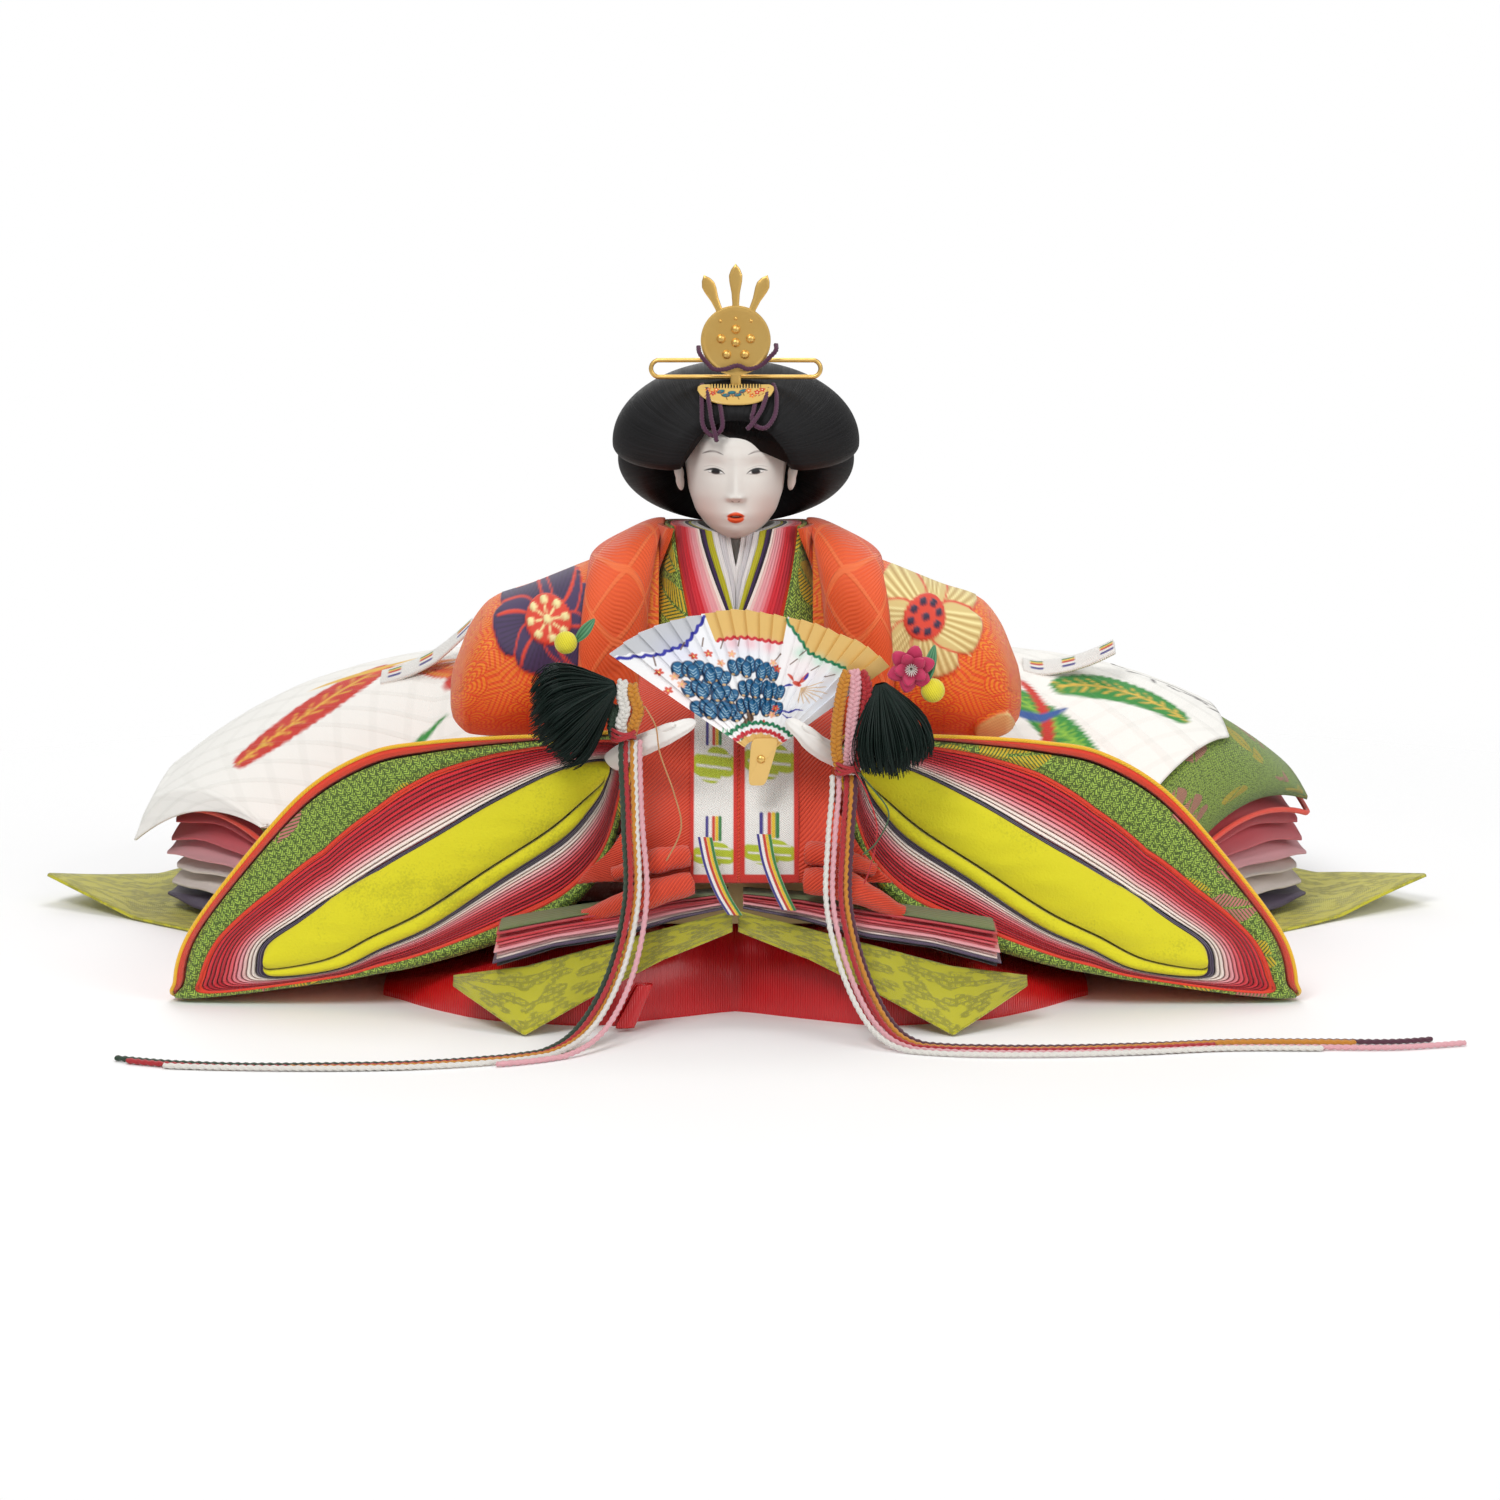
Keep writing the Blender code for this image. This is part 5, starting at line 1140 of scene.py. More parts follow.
def twill_finish(name, figure, stitched=False):
    """Orange twill: a lattice of light lines, or a field of chrysanthemums between waves."""
    finish = Finish(name, COAT_DYE, 0.62, Sheen_Weight=0.25)
    across, along = finish.cloth()
    here = finish.vector(across, along, 0.0)
    twill = (across + along * 0.7).wave(0.0009)
    mist = finish.cloud(here, 40.0)
    ground = finish.blend(twill * 0.30 + mist * 0.15, COAT_DYE, COAT_DEEP)
    if figure == "lattice":
        line = (across + along * 0.6).wave(0.0125).clear(0.955, 0.985)
        line2 = (across - along * 0.8).wave(0.0145).clear(0.96, 0.99)
        raised = line.math("MAXIMUM", line, line2)
        finish.feed("Base Color", finish.blend(raised * 0.45, ground, dye(246, 132, 70)))
        finish.relief(twill + raised, 0.00016)
        return finish
    cells = finish.node("TexVoronoi", {"feature": "F1"}, {"Vector": here, "Scale": 48.0, "Randomness": 0.75},
                        "Position")
    local = finish.node("VectorMath", {"operation": "SUBTRACT"}, {0: here, 1: cells})
    local_x = finish.node("SeparateXYZ", sockets={0: local})
    local_y = local_x.out("Y")
    away = (local_x * local_x + local_y * local_y) ** 0.5
    angle = local_x.math("ARCTAN2", local_y, local_x)
    turned = angle * 4.0
    petal = abs(turned.math("SINE", turned)) * 0.0016 + 0.0064
    bloom = away < petal
    rings = (away + abs(turned.math("SINE", turned)) * -0.0011).wave(0.00135) > 0.45
    spokes = abs(turned.math("SINE", turned)) > 0.22
    flower = bloom * rings * spokes
    patches = finish.node("TexVoronoi", {"feature": "F1"}, {"Vector": here, "Scale": 150.0, "Randomness": 1.0},
                          "Position")
    aside = finish.node("VectorMath", {"operation": "SUBTRACT"}, {0: here, 1: patches})
    aside_x = finish.node("SeparateXYZ", sockets={0: aside})
    turn = finish.node("SeparateXYZ", sockets={0: patches}) * 4187.0
    hatch = aside_x * turn.math("COSINE", turn) + aside_x.out("Y") * turn.math("SINE", turn)
    waves = (hatch.wave(0.00135) > 0.42) * (1 - bloom)
    colour = finish.blend(flower * 0.85, ground, FLORAL_DYE)
    colour = finish.blend(waves * 0.62, colour, FLORAL_DYE)
    if stitched:
        thread = finish.painted()
        colour = finish.blend(thread.out("Alpha"), colour, thread)
        laid = (1 - thread.out("Alpha")) * (twill * 0.4 + flower + waves * 0.6)
        finish.relief(laid, 0.00024)
    else:
        finish.relief(twill * 0.4 + flower + waves * 0.6, 0.00024)
    finish.feed("Base Color", colour)
    return finish


coat_twill = twill_finish("orange_lattice_twill", "lattice")
coat_brocade = twill_finish("orange_flower_brocade", "flowers")
embroidered_brocade = twill_finish("embroidered_brocade", "flowers", stitched=True)
bm = bmesh.new()
robe_wall(bm, COAT_FROM, COAT_WALL, COAT_OPENING)
sealed(bm)
coat_body = finished("coat_lapels", bm, coat_twill, "doll", smooth=70)
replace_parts(coat_body, "coat_body")

# Upper sleeves: the coat's shoulders, padded out over the arms, with one big flower embroidered
# on each in laid silk thread
SHOULDER_REACH = 0.056
SHOULDER_TOP = 0.1275
SHOULDER_BOTTOM = 0.0735
SHOULDER_HALF_DEPTH = 0.030
# Rows: share of the reach, top, bottom and depth; the first ones run in under the lapels
SHOULDER_SHARES = ((-0.21, 1.14, 0.20, 0.40), (-0.05, 1.12, 0.16, 0.60), (0.12, 1.04, 0.12, 0.86),
                   (0.30, 0.965, 0.05, 0.98), (0.50, 0.88, 0.0, 1.0), (0.70, 0.815, 0.0, 1.0),
                   (0.80, 0.735, 0.0, 0.92), (0.90, 0.54, 0.02, 0.74), (0.95, 0.40, 0.06, 0.60))
SHOULDER_FOLD = 0.0008
SHOULDER_Y = -SHOULDER_HALF_DEPTH * 0.15
VIOLET, VIOLET_SHADE = dye(62, 40, 84), dye(44, 26, 62)
EMBROIDERY_RED, THREAD_CREAM = dye(216, 58, 32), dye(240, 226, 160)
THREAD_GOLD = dye(214, 188, 120)


def paint_left_flower(art):
    x, z = -0.0575, 0.1125
    art.soft = 0.0004
    for k in range(6):
        angle = 2 * math.pi * k / 6 + 0.3
        cx, cz = x + math.cos(angle) * 0.0098, z + math.sin(angle) * 0.0088
        art.oval(cx, cz, 0.0078, 0.0078, angle, EMBROIDERY_RED, 0.0006, 3.0)
        art.oval(cx, cz, 0.0073, 0.0073, angle, VIOLET, 0.0012, 3.0)
        for j in range(-4, 5):
            far = (cx + math.cos(angle) * 0.006 - math.sin(angle) * j * 0.0015,
                   cz + math.sin(angle) * 0.006 + math.cos(angle) * j * 0.0015)
            near = (cx - math.cos(angle) * 0.004 - math.sin(angle) * j * 0.0007,
                    cz - math.sin(angle) * 0.004 + math.cos(angle) * j * 0.0007)
            art.stroke([near, far], 0.00022, VIOLET_SHADE)
    for k in range(6):
        angle = 2 * math.pi * k / 6 + 0.82
        art.stroke(bent(x + math.cos(angle) * 0.006, z + math.sin(angle) * 0.006, angle, 0.010, 0.6),
                   0.0005, EMBROIDERY_RED, 0.4, 0.0014)
    art.oval(x, z, 0.0068, 0.0068, 0.0, EMBROIDERY_RED, 0.0018)
    art.oval(x, z, 0.0012, 0.0012, 0.0, THREAD_CREAM, 0.0024)
    for k in range(8):
        angle = 2 * math.pi * k / 8 + 0.2
        art.oval(x + math.cos(angle) * 0.0050, z + math.sin(angle) * 0.0050, 0.0010, 0.0010, angle,
                 THREAD_CREAM, 0.0024, 4.0)
        art.stroke([(x + math.cos(angle) * 0.0018, z + math.sin(angle) * 0.0018),
                    (x + math.cos(angle) * 0.0034, z + math.sin(angle) * 0.0034)], 0.00028, THREAD_CREAM)


def paint_right_flower(art):
    x, z = 0.0580, 0.1130
    art.soft = 0.0004
    for k in range(7):
        angle = 2 * math.pi * k / 7 + 0.55
        cx, cz = x + math.cos(angle) * 0.0105, z + math.sin(angle) * 0.0100
        art.oval(cx, cz, 0.0080, 0.0066, angle, EMBROIDERY_RED, 0.0006, 3.0)
        art.oval(cx, cz, 0.0075, 0.0061, angle, THREAD_GOLD, 0.0013, 3.0)
        for j in range(-5, 6):
            far = (cx + math.cos(angle) * 0.0068 - math.sin(angle) * j * 0.0011,
                   cz + math.sin(angle) * 0.0068 + math.cos(angle) * j * 0.0011)
            near = (cx - math.cos(angle) * 0.0055 - math.sin(angle) * j * 0.0006,
                    cz - math.sin(angle) * 0.0055 + math.cos(angle) * j * 0.0006)
            art.stroke([near, far], 0.00026, THREAD_CREAM if j % 2 else dye(186, 152, 84))
    art.oval(x, z, 0.0062, 0.0062, 0.0, EMBROIDERY_RED, 0.0019)
    for k in range(9):
        angle = 2 * math.pi * k / 8 + 0.2
        away = 0.0040 if k else 0.0
        art.oval(x + math.cos(angle) * away, z + math.sin(angle) * away, 0.0010, 0.0010, angle,
                 VIOLET_SHADE, 0.0024, 4.0)
    art.oval(0.0800, 0.0790, 0.0062, 0.0042, 0.5, THREAD_GOLD, 0.0012, 3.0)
    for j in range(-3, 4):
        art.stroke([(0.0755, 0.0770 + j * 0.0011), (0.0845, 0.0812 + j * 0.0011)], 0.00025, THREAD_CREAM)


def shoulder_at(at):
    """Top, bottom and half depth of the shoulder at a share of its reach."""
    picks = [between(SHOULDER_SHARES, at + 0.05 * k) for k in (-1, -0.5, 0, 0.5, 1)]
    high, low, deep = [sum(pick[axis] for pick in picks) / 5 for axis in range(3)]
    tall = SHOULDER_TOP - SHOULDER_BOTTOM
    return SHOULDER_BOTTOM + tall * high, SHOULDER_BOTTOM + tall * low, SHOULDER_HALF_DEPTH * deep


def shoulder_front(x, z):
    """How far forward the shoulder reaches at this place."""
    top, foot, deep = shoulder_at((abs(x) - COAT_HALF_WIDTH - BACK_GAP) / SHOULDER_REACH)
    rise = min(1.0, abs(2 * z - top - foot) / (top - foot)) ** 1.25
    return SHOULDER_Y - deep * math.sqrt(1 - rise * rise)


def shoulder_place(side):
    first, last = SHOULDER_SHARES[0][0], SHOULDER_SHARES[-1][0]

    def place(around, along):
        at = first + (last - first) * along
        top, foot, deep = shoulder_at(at)
        cap = min(1.0, (1 - along) / 0.09)
        cap = math.sqrt(max(0.0, 1 - (1 - cap) ** 2))
        turn = 2 * math.pi * around
        up = math.copysign(abs(math.sin(turn)) ** 0.8, math.sin(turn)) * (top - foot) / 2
        fold = SHOULDER_FOLD * math.sin(at * 16 + math.sin(turn) * 3.2) * (0.3 + 0.7 * abs(math.cos(turn)))
        size = 0.55 + 0.45 * cap
        centre = Vector((side * (COAT_HALF_WIDTH + BACK_GAP + SHOULDER_REACH * at), SHOULDER_Y, (top + foot) / 2))
        return centre + Vector((0, (math.cos(turn) * deep + fold * math.cos(turn)) * size, up * size))
    return place


for word, side, paint_flower in (("left", -1, paint_left_flower), ("right", 1, paint_right_flower)):
    bm = bmesh.new()
    made, _ = laid_grid(bm, 340, 110, shoulder_place(side), (0.150, SHOULDER_REACH), closed=True)
    bm.verts.ensure_lookup_table()
    points = [v.co.copy() for v in bm.verts]
    art = Painting([p.x for p in points], [p.z for p in points], (*COAT_DYE[:3], 0.0))
    paint_flower(art)
    front = np.array([p.y < -0.010 for p in points])
    art.colour[~front] = (*COAT_DYE[:3], 0.0)
    art.raised[~front] = 0.0
    facing_out(bm)
    bm.normal_update()
    for vert, raised in zip(bm.verts, art.raised):
        vert.co += vert.normal * float(raised)
    rings = [edge for edge in bm.edges if edge.is_boundary]
    bmesh.ops.holes_fill(bm, edges=rings, sides=0)
    puff = finished("coat_shoulder_" + word, bm, embroidered_brocade, "doll", smooth=80, paint=art.colour)
    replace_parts(puff, "upper_sleeve_" + word)

# Lapels: broad padded bands of plain lattice twill from the back of the neck over the shoulders and
# down the front, their edges turned under
# Rows: inner and outer edge of the right lapel, from behind the neck to the waist
LAPEL_ROWS = (((0.0225, 0.0190, 0.1290), (0.0440, 0.0235, 0.1130)),
              ((0.0226, 0.0130, 0.1375), (0.0450, 0.0140, 0.1255)),
              ((0.0222, 0.0020, 0.1405), (0.0455, 0.0000, 0.1290)),
              ((0.0240, -0.0110, 0.1350), (0.0462, -0.0180, 0.1245)),
              ((0.0266, -0.0165, 0.1200), (0.0475, -0.0290, 0.1130)),
              ((0.0278, -0.0195, 0.1020), (0.0485, -0.0340, 0.0990)),
              ((0.0286, -0.0205, 0.0780), (0.0490, -0.0350, 0.0780)))
LAPEL_PROUD = 0.0012
LAPEL_BULGE = 0.0016


def lapel_place(side):
    inner_line = [row[0] for row in LAPEL_ROWS]
    outer_line = [row[1] for row in LAPEL_ROWS]

    def place(around, along):
        turn = 2 * math.pi * around
        across = 0.5 - 0.5 * math.copysign(abs(math.cos(turn)) ** 0.75, math.cos(turn))
        face = math.copysign(abs(math.sin(turn)) ** 0.6, math.sin(turn))
        inner, outer = curve_at(inner_line, along), curve_at(outer_line, along)
        point = inner.lerp(outer, across)
        ahead = curve_at(inner_line, min(1.0, along + 0.02)) - curve_at(inner_line, max(0.0, along - 0.02))
        out = ahead.cross(outer - inner).normalized()
        out = -out if out.dot(point - Vector((0.010, -0.002, 0.100))) < 0 else out
        if point.y < -0.006:
            point.y = min(point.y, shoulder_front(point.x, point.z) - LAPEL_PROUD)
        crown_up = LAPEL_BULGE * (1 - (2 * across - 1) ** 4)
        point += out * (crown_up + face * LAPEL_PROUD * 0.6)
        return Vector((side * point.x, point.y, point.z))
    return place


for word, side in (("left", -1), ("right", 1)):
    bm = bmesh.new()
    laid_grid(bm, 100, 120, lapel_place(side), (0.052, 0.085), closed=True)
    sealed(bm)
    lapel = finished("coat_lapel_" + word, bm, coat_twill, "doll", smooth=80)

# Big sleeves: five nested cloths a side, folded so that their mouths face the front as long leaves.
# The coat is piped in yellow and lined in orange red; the brocade's edge is piped in orange red;
# between brocade and lime lie twelve hems and a ribbed purple robe
MOUTH_Y = -0.075
MOUTH_SWEEP = 0.012
SLEEVE_INNER_X = 0.032
SLEEVE_REACH = 0.139
SLEEVE_HEIGHT = 0.084
SLEEVE_DEPTH = 0.099
OUTER_LEAF_SHARES = ((0.0, 0.99), (0.144, 1.0), (0.288, 0.994), (0.432, 0.976), (0.561, 0.935),
                     (0.698, 0.80), (0.835, 0.55), (0.964, 0.262), (1.0, 0.08), (0.978, 0.012),
                     (0.66, 0.088), (0.55, 0.122), (0.453, 0.155), (0.288, 0.238), (0.151, 0.339),
                     (0.058, 0.50), (0.014, 0.72))
INNER_LEAF_SHARES = ((0.05, 0.90), (0.144, 0.869), (0.288, 0.744), (0.417, 0.607), (0.532, 0.488),
                     (0.633, 0.381), (0.712, 0.292), (0.773, 0.226), (0.784, 0.167), (0.766, 0.115),
                     (0.640, 0.143), (0.540, 0.226), (0.424, 0.321), (0.273, 0.50), (0.143, 0.649),
                     (0.085, 0.755), (0.055, 0.83))
SLEEVE_DEPTH_SHARES = ((0.0, 0.0, 0.0, 1.0), (0.13, 0.025, 0.022, 0.95), (0.35, 0.060, 0.079, 0.84),
                       (0.66, 0.075, 0.151, 0.70), (1.0, 0.090, 0.237, 0.50))
# Where the brocade's band ends and where the hems end, at the outline's points
BROCADE_EDGE_SHARES = (0.26, 0.24, 0.25, 0.32, 0.46, 0.54, 0.48, 0.36, 0.28, 0.26, 0.30, 0.30, 0.30, 0.28,
                       0.26, 0.25, 0.26)
HEM_EDGE_SHARES = (0.86, 0.88, 0.89, 0.90, 0.91, 0.92, 0.90, 0.87, 0.85, 0.85, 0.85, 0.85, 0.85, 0.85,
                   0.85, 0.85, 0.85)
HEM_RIDGE = 0.0010
HEM_DYES = (ORANGE_RED, RED, CRIMSON, RED, CRIMSON, CORAL_RED, CORAL, ROSE, PINK, PALE_PINK, CREAM, CREAM)
HEM_COUNT = len(HEM_DYES)
# Dark red painted shade laid in the valleys between one sleeve hem and the next
HEM_VALLEY_SHADE = dye(150, 16, 40)
LEAF_COLUMNS = 300
YELLOW = dye(244, 196, 16)


def ring_share(shares, around):
    place = (around % 1.0) * len(shares)
    i = int(place)
    t = place - i
    return shares[i % len(shares)] * (1 - t) + shares[(i + 1) % len(shares)] * t


def leaf_point(side, around, place, depth, forward=0.0):
    """Point of the sleeve's mouth (depth 0) or wall, at a place from its outline (0) to its middle (1)."""
    outer = curve_at(OUTER_LEAF_3D, around % 1.0, closed=True)
    inner = curve_at(INNER_LEAF_3D, around % 1.0, closed=True)
    across, up, _ = outer.lerp(inner, place)
    inner_in, outer_in, tall = between(SLEEVE_DEPTH_SHARES, depth)
    x = SLEEVE_INNER_X + SLEEVE_REACH * (inner_in + across * (1 - inner_in - outer_in))
    y = MOUTH_Y + MOUTH_SWEEP * across ** 2 + SLEEVE_DEPTH * depth - forward
    return Vector((side * x, y, max(SLEEVE_HEIGHT * up * tall, 0.0006)))


OUTER_LEAF_3D = [(a, b, 0.0) for a, b in OUTER_LEAF_SHARES]
INNER_LEAF_3D = [(a, b, 0.0) for a, b in INNER_LEAF_SHARES]


# Along the leaf's upper edge the coat's lining shows; along the lower edge the brocade lies outside
LOWER_FROM, LOWER_TO = 0.49, 0.97


def upper(around):
    """1 along the leaf's upper edge and 0 along its lower one."""
    away = abs(around % 1.0 - (LOWER_FROM + LOWER_TO) / 2) / ((LOWER_TO - LOWER_FROM) / 2)
    return min(1.0, max(0.0, away - 0.88) / 0.12)


def mixed(high, low):
    """A value of the upper edge that eases into one of the lower edge."""
    return lambda around: low + (high - low) * upper(around)


def profile_sheet(side, stops, rows, columns=LEAF_COLUMNS):
    """Sheet round the leaf whose section runs through stops of (place, depth, forward)."""
    def place(around, along):
        spot = along * (len(stops) - 1)
        i = min(int(spot), len(stops) - 2)
        t = spot - i
        low = [value(around) if callable(value) else value for value in stops[i]]
        high = [value(around) if callable(value) else value for value in stops[i + 1]]
        here, depth, forward = [a + (b - a) * t for a, b in zip(low, high)]
        return leaf_point(side, around, here, depth, forward)

    bm = bmesh.new()
    laid_grid(bm, columns, rows, place, (0.34, 1.0), closed=True)
    reach = [0.0]
    for low, high in zip(stops, stops[1:]):
        ends = [[value(0.2) if callable(value) else value for value in stop] for stop in (low, high)]
        reach.append(reach[-1] + abs(ends[1][0] - ends[0][0]) * 0.045 + abs(ends[1][1] - ends[0][1]) * SLEEVE_DEPTH
                     + abs(ends[1][2] - ends[0][2]))
    flat = bm.loops.layers.uv["cloth"]
    for face in bm.faces:
        for corner in face.loops:
            u, v = corner[flat].uv
            corner[flat].uv = (u, float(np.interp(v * (len(stops) - 1), range(len(stops)), reach)))
    return bm


def brocade_edge(around):
    return ring_share(BROCADE_EDGE_SHARES, around)


def hem_edge(around):
    return ring_share(HEM_EDGE_SHARES, around)


def sleeve_piece(name, bm, finish, nodes, paint=None, wall=0.0):
    facing_out(bm)
    piece = finished(name, bm, finish, "doll", smooth=65, paint=paint, wall=wall, offset=-1.0)
    if nodes:
        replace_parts(piece, *nodes)
    return piece


yellow_silk = Finish("yellow_piping_silk", YELLOW, 0.5, Sheen_Weight=0.3)
yellow_twist = (yellow_silk.cloth()[0] + yellow_silk.cloth()[1]).wave(0.0010)
yellow_silk.feed("Base Color", yellow_silk.blend(yellow_twist * 0.5, YELLOW, dye(232, 150, 10)))
yellow_silk.relief(yellow_twist, 0.00015)
purple_silk = Finish("ribbed_purple_silk", PURPLE, 0.6, Sheen_Weight=0.3)
purple_rib = purple_silk.cloth()[1].wave(0.0011)
purple_silk.feed("Base Color", purple_silk.blend(purple_rib, NAVY, PURPLE))
purple_silk.relief(purple_rib, 0.0002)


def lime_velvet_finish():
    finish = Finish("lime_velvet", dye(216, 208, 0), 0.75, Sheen_Weight=0.3)
    where = finish.node("TexCoord", output="Object")
    grain = finish.cloud(where, 1400.0, 2.0)
    mist = finish.cloud(where, 42.0, 3.0)
    rub = (mist * 0.75 + grain * 0.45).clear(0.62, 0.82)
    finish.feed("Base Color", finish.blend(rub * 0.32, dye(216, 208, 0), dye(120, 122, 0)))
    finish.relief(grain + mist, 0.00018)
    return finish


lime_velvet = lime_velvet_finish()
SLIT_SPLIT = 0.80
LIME_RIM_SHARE = 0.07


def lime_place(side):
    """Flattened inner sleeve: bulges forward from the leaf's rim and folds into a slit near its foot."""
    def place(around, along):
        def rim_at(share):
            inner = curve_at(INNER_LEAF_3D, share, closed=True)
            return inner.lerp(curve_at(OUTER_LEAF_3D, share, closed=True), LIME_RIM_SHARE)

        rim = rim_at(around)
        count = 17
        spot = around * count
        mirror = (16 - spot) % count
        opposite = rim_at(mirror / count)
        top_side = spot < 8.0 or spot > 16.0
        upper, lower = (rim, opposite) if top_side else (opposite, rim)
        slit = upper.lerp(lower, SLIT_SPLIT)
        point = rim.lerp(slit, min(1.0, along / 0.86) * 0.97)
        swell = math.sin(math.pi * min(1.0, along / 0.86)) ** 0.45
        forward = 0.0010 + 0.0028 * swell * (1.0 if top_side else 0.6)
        late = max(0.0, along - 0.86) / 0.14
        across, up = point.x, point.y
        x = SLEEVE_INNER_X + SLEEVE_REACH * across
        y = MOUTH_Y + MOUTH_SWEEP * across ** 2 - forward + 0.010 * late
        wrinkle = noise.noise(Vector((across * 9, up * 16, side))) * 0.0007 * swell
        return Vector((side * x, y + wrinkle, SLEEVE_HEIGHT * up))
    return place


for word, side in (("left", -1), ("right", 1)):
    recess, proud = mixed(0.0, 0.035), mixed(0.0012, 0.0)
    bm = profile_sheet(side, [(0.0, 1.0, 0.0), (0.0, 0.66, 0.0), (0.0, 0.35, 0.0), (0.0, 0.13, 0.0),
                              (0.0, recess, 0.0), (0.004, recess, mixed(0.0009, 0.0)), (0.02, recess, proud)], 48)
    sleeve_piece("sleeve_coat_silk_" + word, bm, coat_brocade, ["sleeve_coat_" + word])
    bm = profile_sheet(side, [(0.018, recess, proud), (0.055, mixed(0.0, 0.035), mixed(0.0018, 0.0)),
                              (mixed(0.092, 0.045), mixed(0.0, 0.05), mixed(0.0010, 0.0)),
                              (mixed(0.097, 0.047), 0.13, 0.0), (mixed(0.097, 0.047), 0.35, 0.0)], 16)
    sleeve_piece("sleeve_coat_lining_" + word, bm, piping_red, None)
    loop = [leaf_point(side, i / 420, 0.012, recess(i / 420), 0.0014 * upper(i / 420)) for i in range(421)]
    bm = bmesh.new()
    rope(bm, loop, 0.0006, 8)
    facing_out(bm)
    finished("sleeve_piping_" + word, bm, yellow_silk, "doll")

    rim = mixed(0.12, 0.012)
    bm = profile_sheet(side, [
        (mixed(0.11, 0.06), 0.90, 0.0), (mixed(0.11, 0.06), 0.35, 0.0), (mixed(0.11, 0.02), 0.04, 0.0),
        (rim, 0.0, 0.0008), (lambda a: rim(a) + (brocade_edge(a) - rim(a)) * 0.25, 0.0, 0.0024),
        (lambda a: rim(a) + (brocade_edge(a) - rim(a)) * 0.6, 0.0, 0.0030),
        (lambda a: brocade_edge(a) - 0.02, 0.0, 0.0020), (lambda a: brocade_edge(a), 0.0, 0.0006)], 56)
    lean = 0.62 * side
    flat = bm.loops.layers.uv["cloth"]
    for face in bm.faces:
        for corner in face.loops:
            point = corner.vert.co
            corner[flat].uv = (point.x * math.cos(lean) - point.z * math.sin(lean),
                               point.x * math.sin(lean) + point.z * math.cos(lean))
    sleeve_piece("sleeve_brocade_silk_" + word, bm, green_brocade, ["sleeve_brocade_" + word])
    loop = [leaf_point(side, i / 420, brocade_edge(i / 420) + 0.004, 0.0, 0.0012) for i in range(421)]
    bm = bmesh.new()
    rope(bm, loop, 0.0006, 8)
    facing_out(bm)
    finished("sleeve_brocade_piping_" + word, bm, piping_red, "doll")

    def hem_place(around, along, side=side):
        start, end = brocade_edge(around) + 0.012, hem_edge(around)
        hems = along * HEM_COUNT
        ridge = abs(math.sin(math.pi * hems)) ** 0.55
        wander = 0.0002 * math.sin(around * 40 + int(hems) * 2.4)
        here = start + (end - start) * along
        return leaf_point(side, around, here, 0.0, HEM_RIDGE * (2 * ridge - 1) + 0.0002 + wander)

    def hem_dye_and_valley_shade(around, along):
        hem = min(HEM_COUNT - 1, int(along * HEM_COUNT))
        # each hem's own dye darkens into the painted valley shade where it meets the next hem
        share = min(1.0, abs(math.sin(math.pi * along * HEM_COUNT)) * 3.0)
        return tuple(line + (whole - line) * share for line, whole in zip(HEM_VALLEY_SHADE, HEM_DYES[hem]))

    bm = bmesh.new()
    laid_grid(bm, 260, HEM_COUNT * 8, hem_place, (0.34, 0.024), closed=True, colour=hem_dye_and_valley_shade)
    sleeve_piece("sleeve_hems_" + word, bm, robe_silk, ["sleeve_layers_" + word])

    bm = profile_sheet(side, [
        (lambda a: hem_edge(a) + 0.002, 0.02, 0.0), (lambda a: hem_edge(a) + 0.006, 0.0, 0.0006),
        (lambda a: (hem_edge(a) + 0.97) / 2, 0.0, 0.0018), (0.975, 0.0, 0.0006), (0.985, 0.03, 0.0)], 20)
    sleeve_piece("sleeve_purple_silk_" + word, bm, purple_silk, ["sleeve_purple_" + word])

    bm = bmesh.new()
    laid_grid(bm, 260, 60, lime_place(side), (0.20, 0.02), closed=True)
    sleeve_piece("sleeve_lime_velvet_" + word, bm, lime_velvet, ["sleeve_lime_" + word])

# Lap: the coat's front drawn over the padded knees in soft folds, its edges rolled under at the foot
LAP_BACK_Y = -0.0345
LAP_REACH = 0.054
LAP_HEIGHT = 0.096
LAP_HALF_WIDTH = 0.0295
LAP_SHARES = ((0.0, 1.0, 1.0), (0.30, 0.958, 1.0), (0.56, 0.854, 1.0), (0.78, 0.687, 1.0),
              (0.93, 0.542, 1.25), (1.0, 0.432, 1.6))
LAP_WALL = 0.0020
LAP_FOLD = 0.0014
BAND_GAP = 0.0007
BAND_PLACES = {"left": (-0.0136, 0.0006), "right": (0.0014, 0.0190)}


def lap_line(down, inward):
    """Side view of the lap at a share of its run, moved in: y, z and half width."""
    points = [(LAP_BACK_Y - LAP_REACH * out, LAP_HEIGHT * up, LAP_HALF_WIDTH * half)
              for out, up, half in LAP_SHARES]
    here = curve_at(points, down)
    ahead = curve_at(points, min(1.0, down + 0.01))
    behind = curve_at(points, max(0.0, down - 0.01))
    along = Vector((0, ahead.x - behind.x, ahead.y - behind.y)).normalized()
    return (here.x - along.z * inward, here.y + along.y * inward, here.z)


def lap_place(across, down):
    y, z, half = lap_line(down, 0.0)
    x = (2 * across - 1) * half
    beyond = min(1.0, max(0.0, (abs(x) - 0.013) / 0.012))
    pucker = math.sin(z * 260 + math.sin(x * 130) * 1.6 + x * 40) * LAP_FOLD * beyond * down
    drape = math.sin(x * 210) * 0.0009 * beyond
    return Vector((x + pucker * 0.4, y - pucker - drape - 0.0004, z))


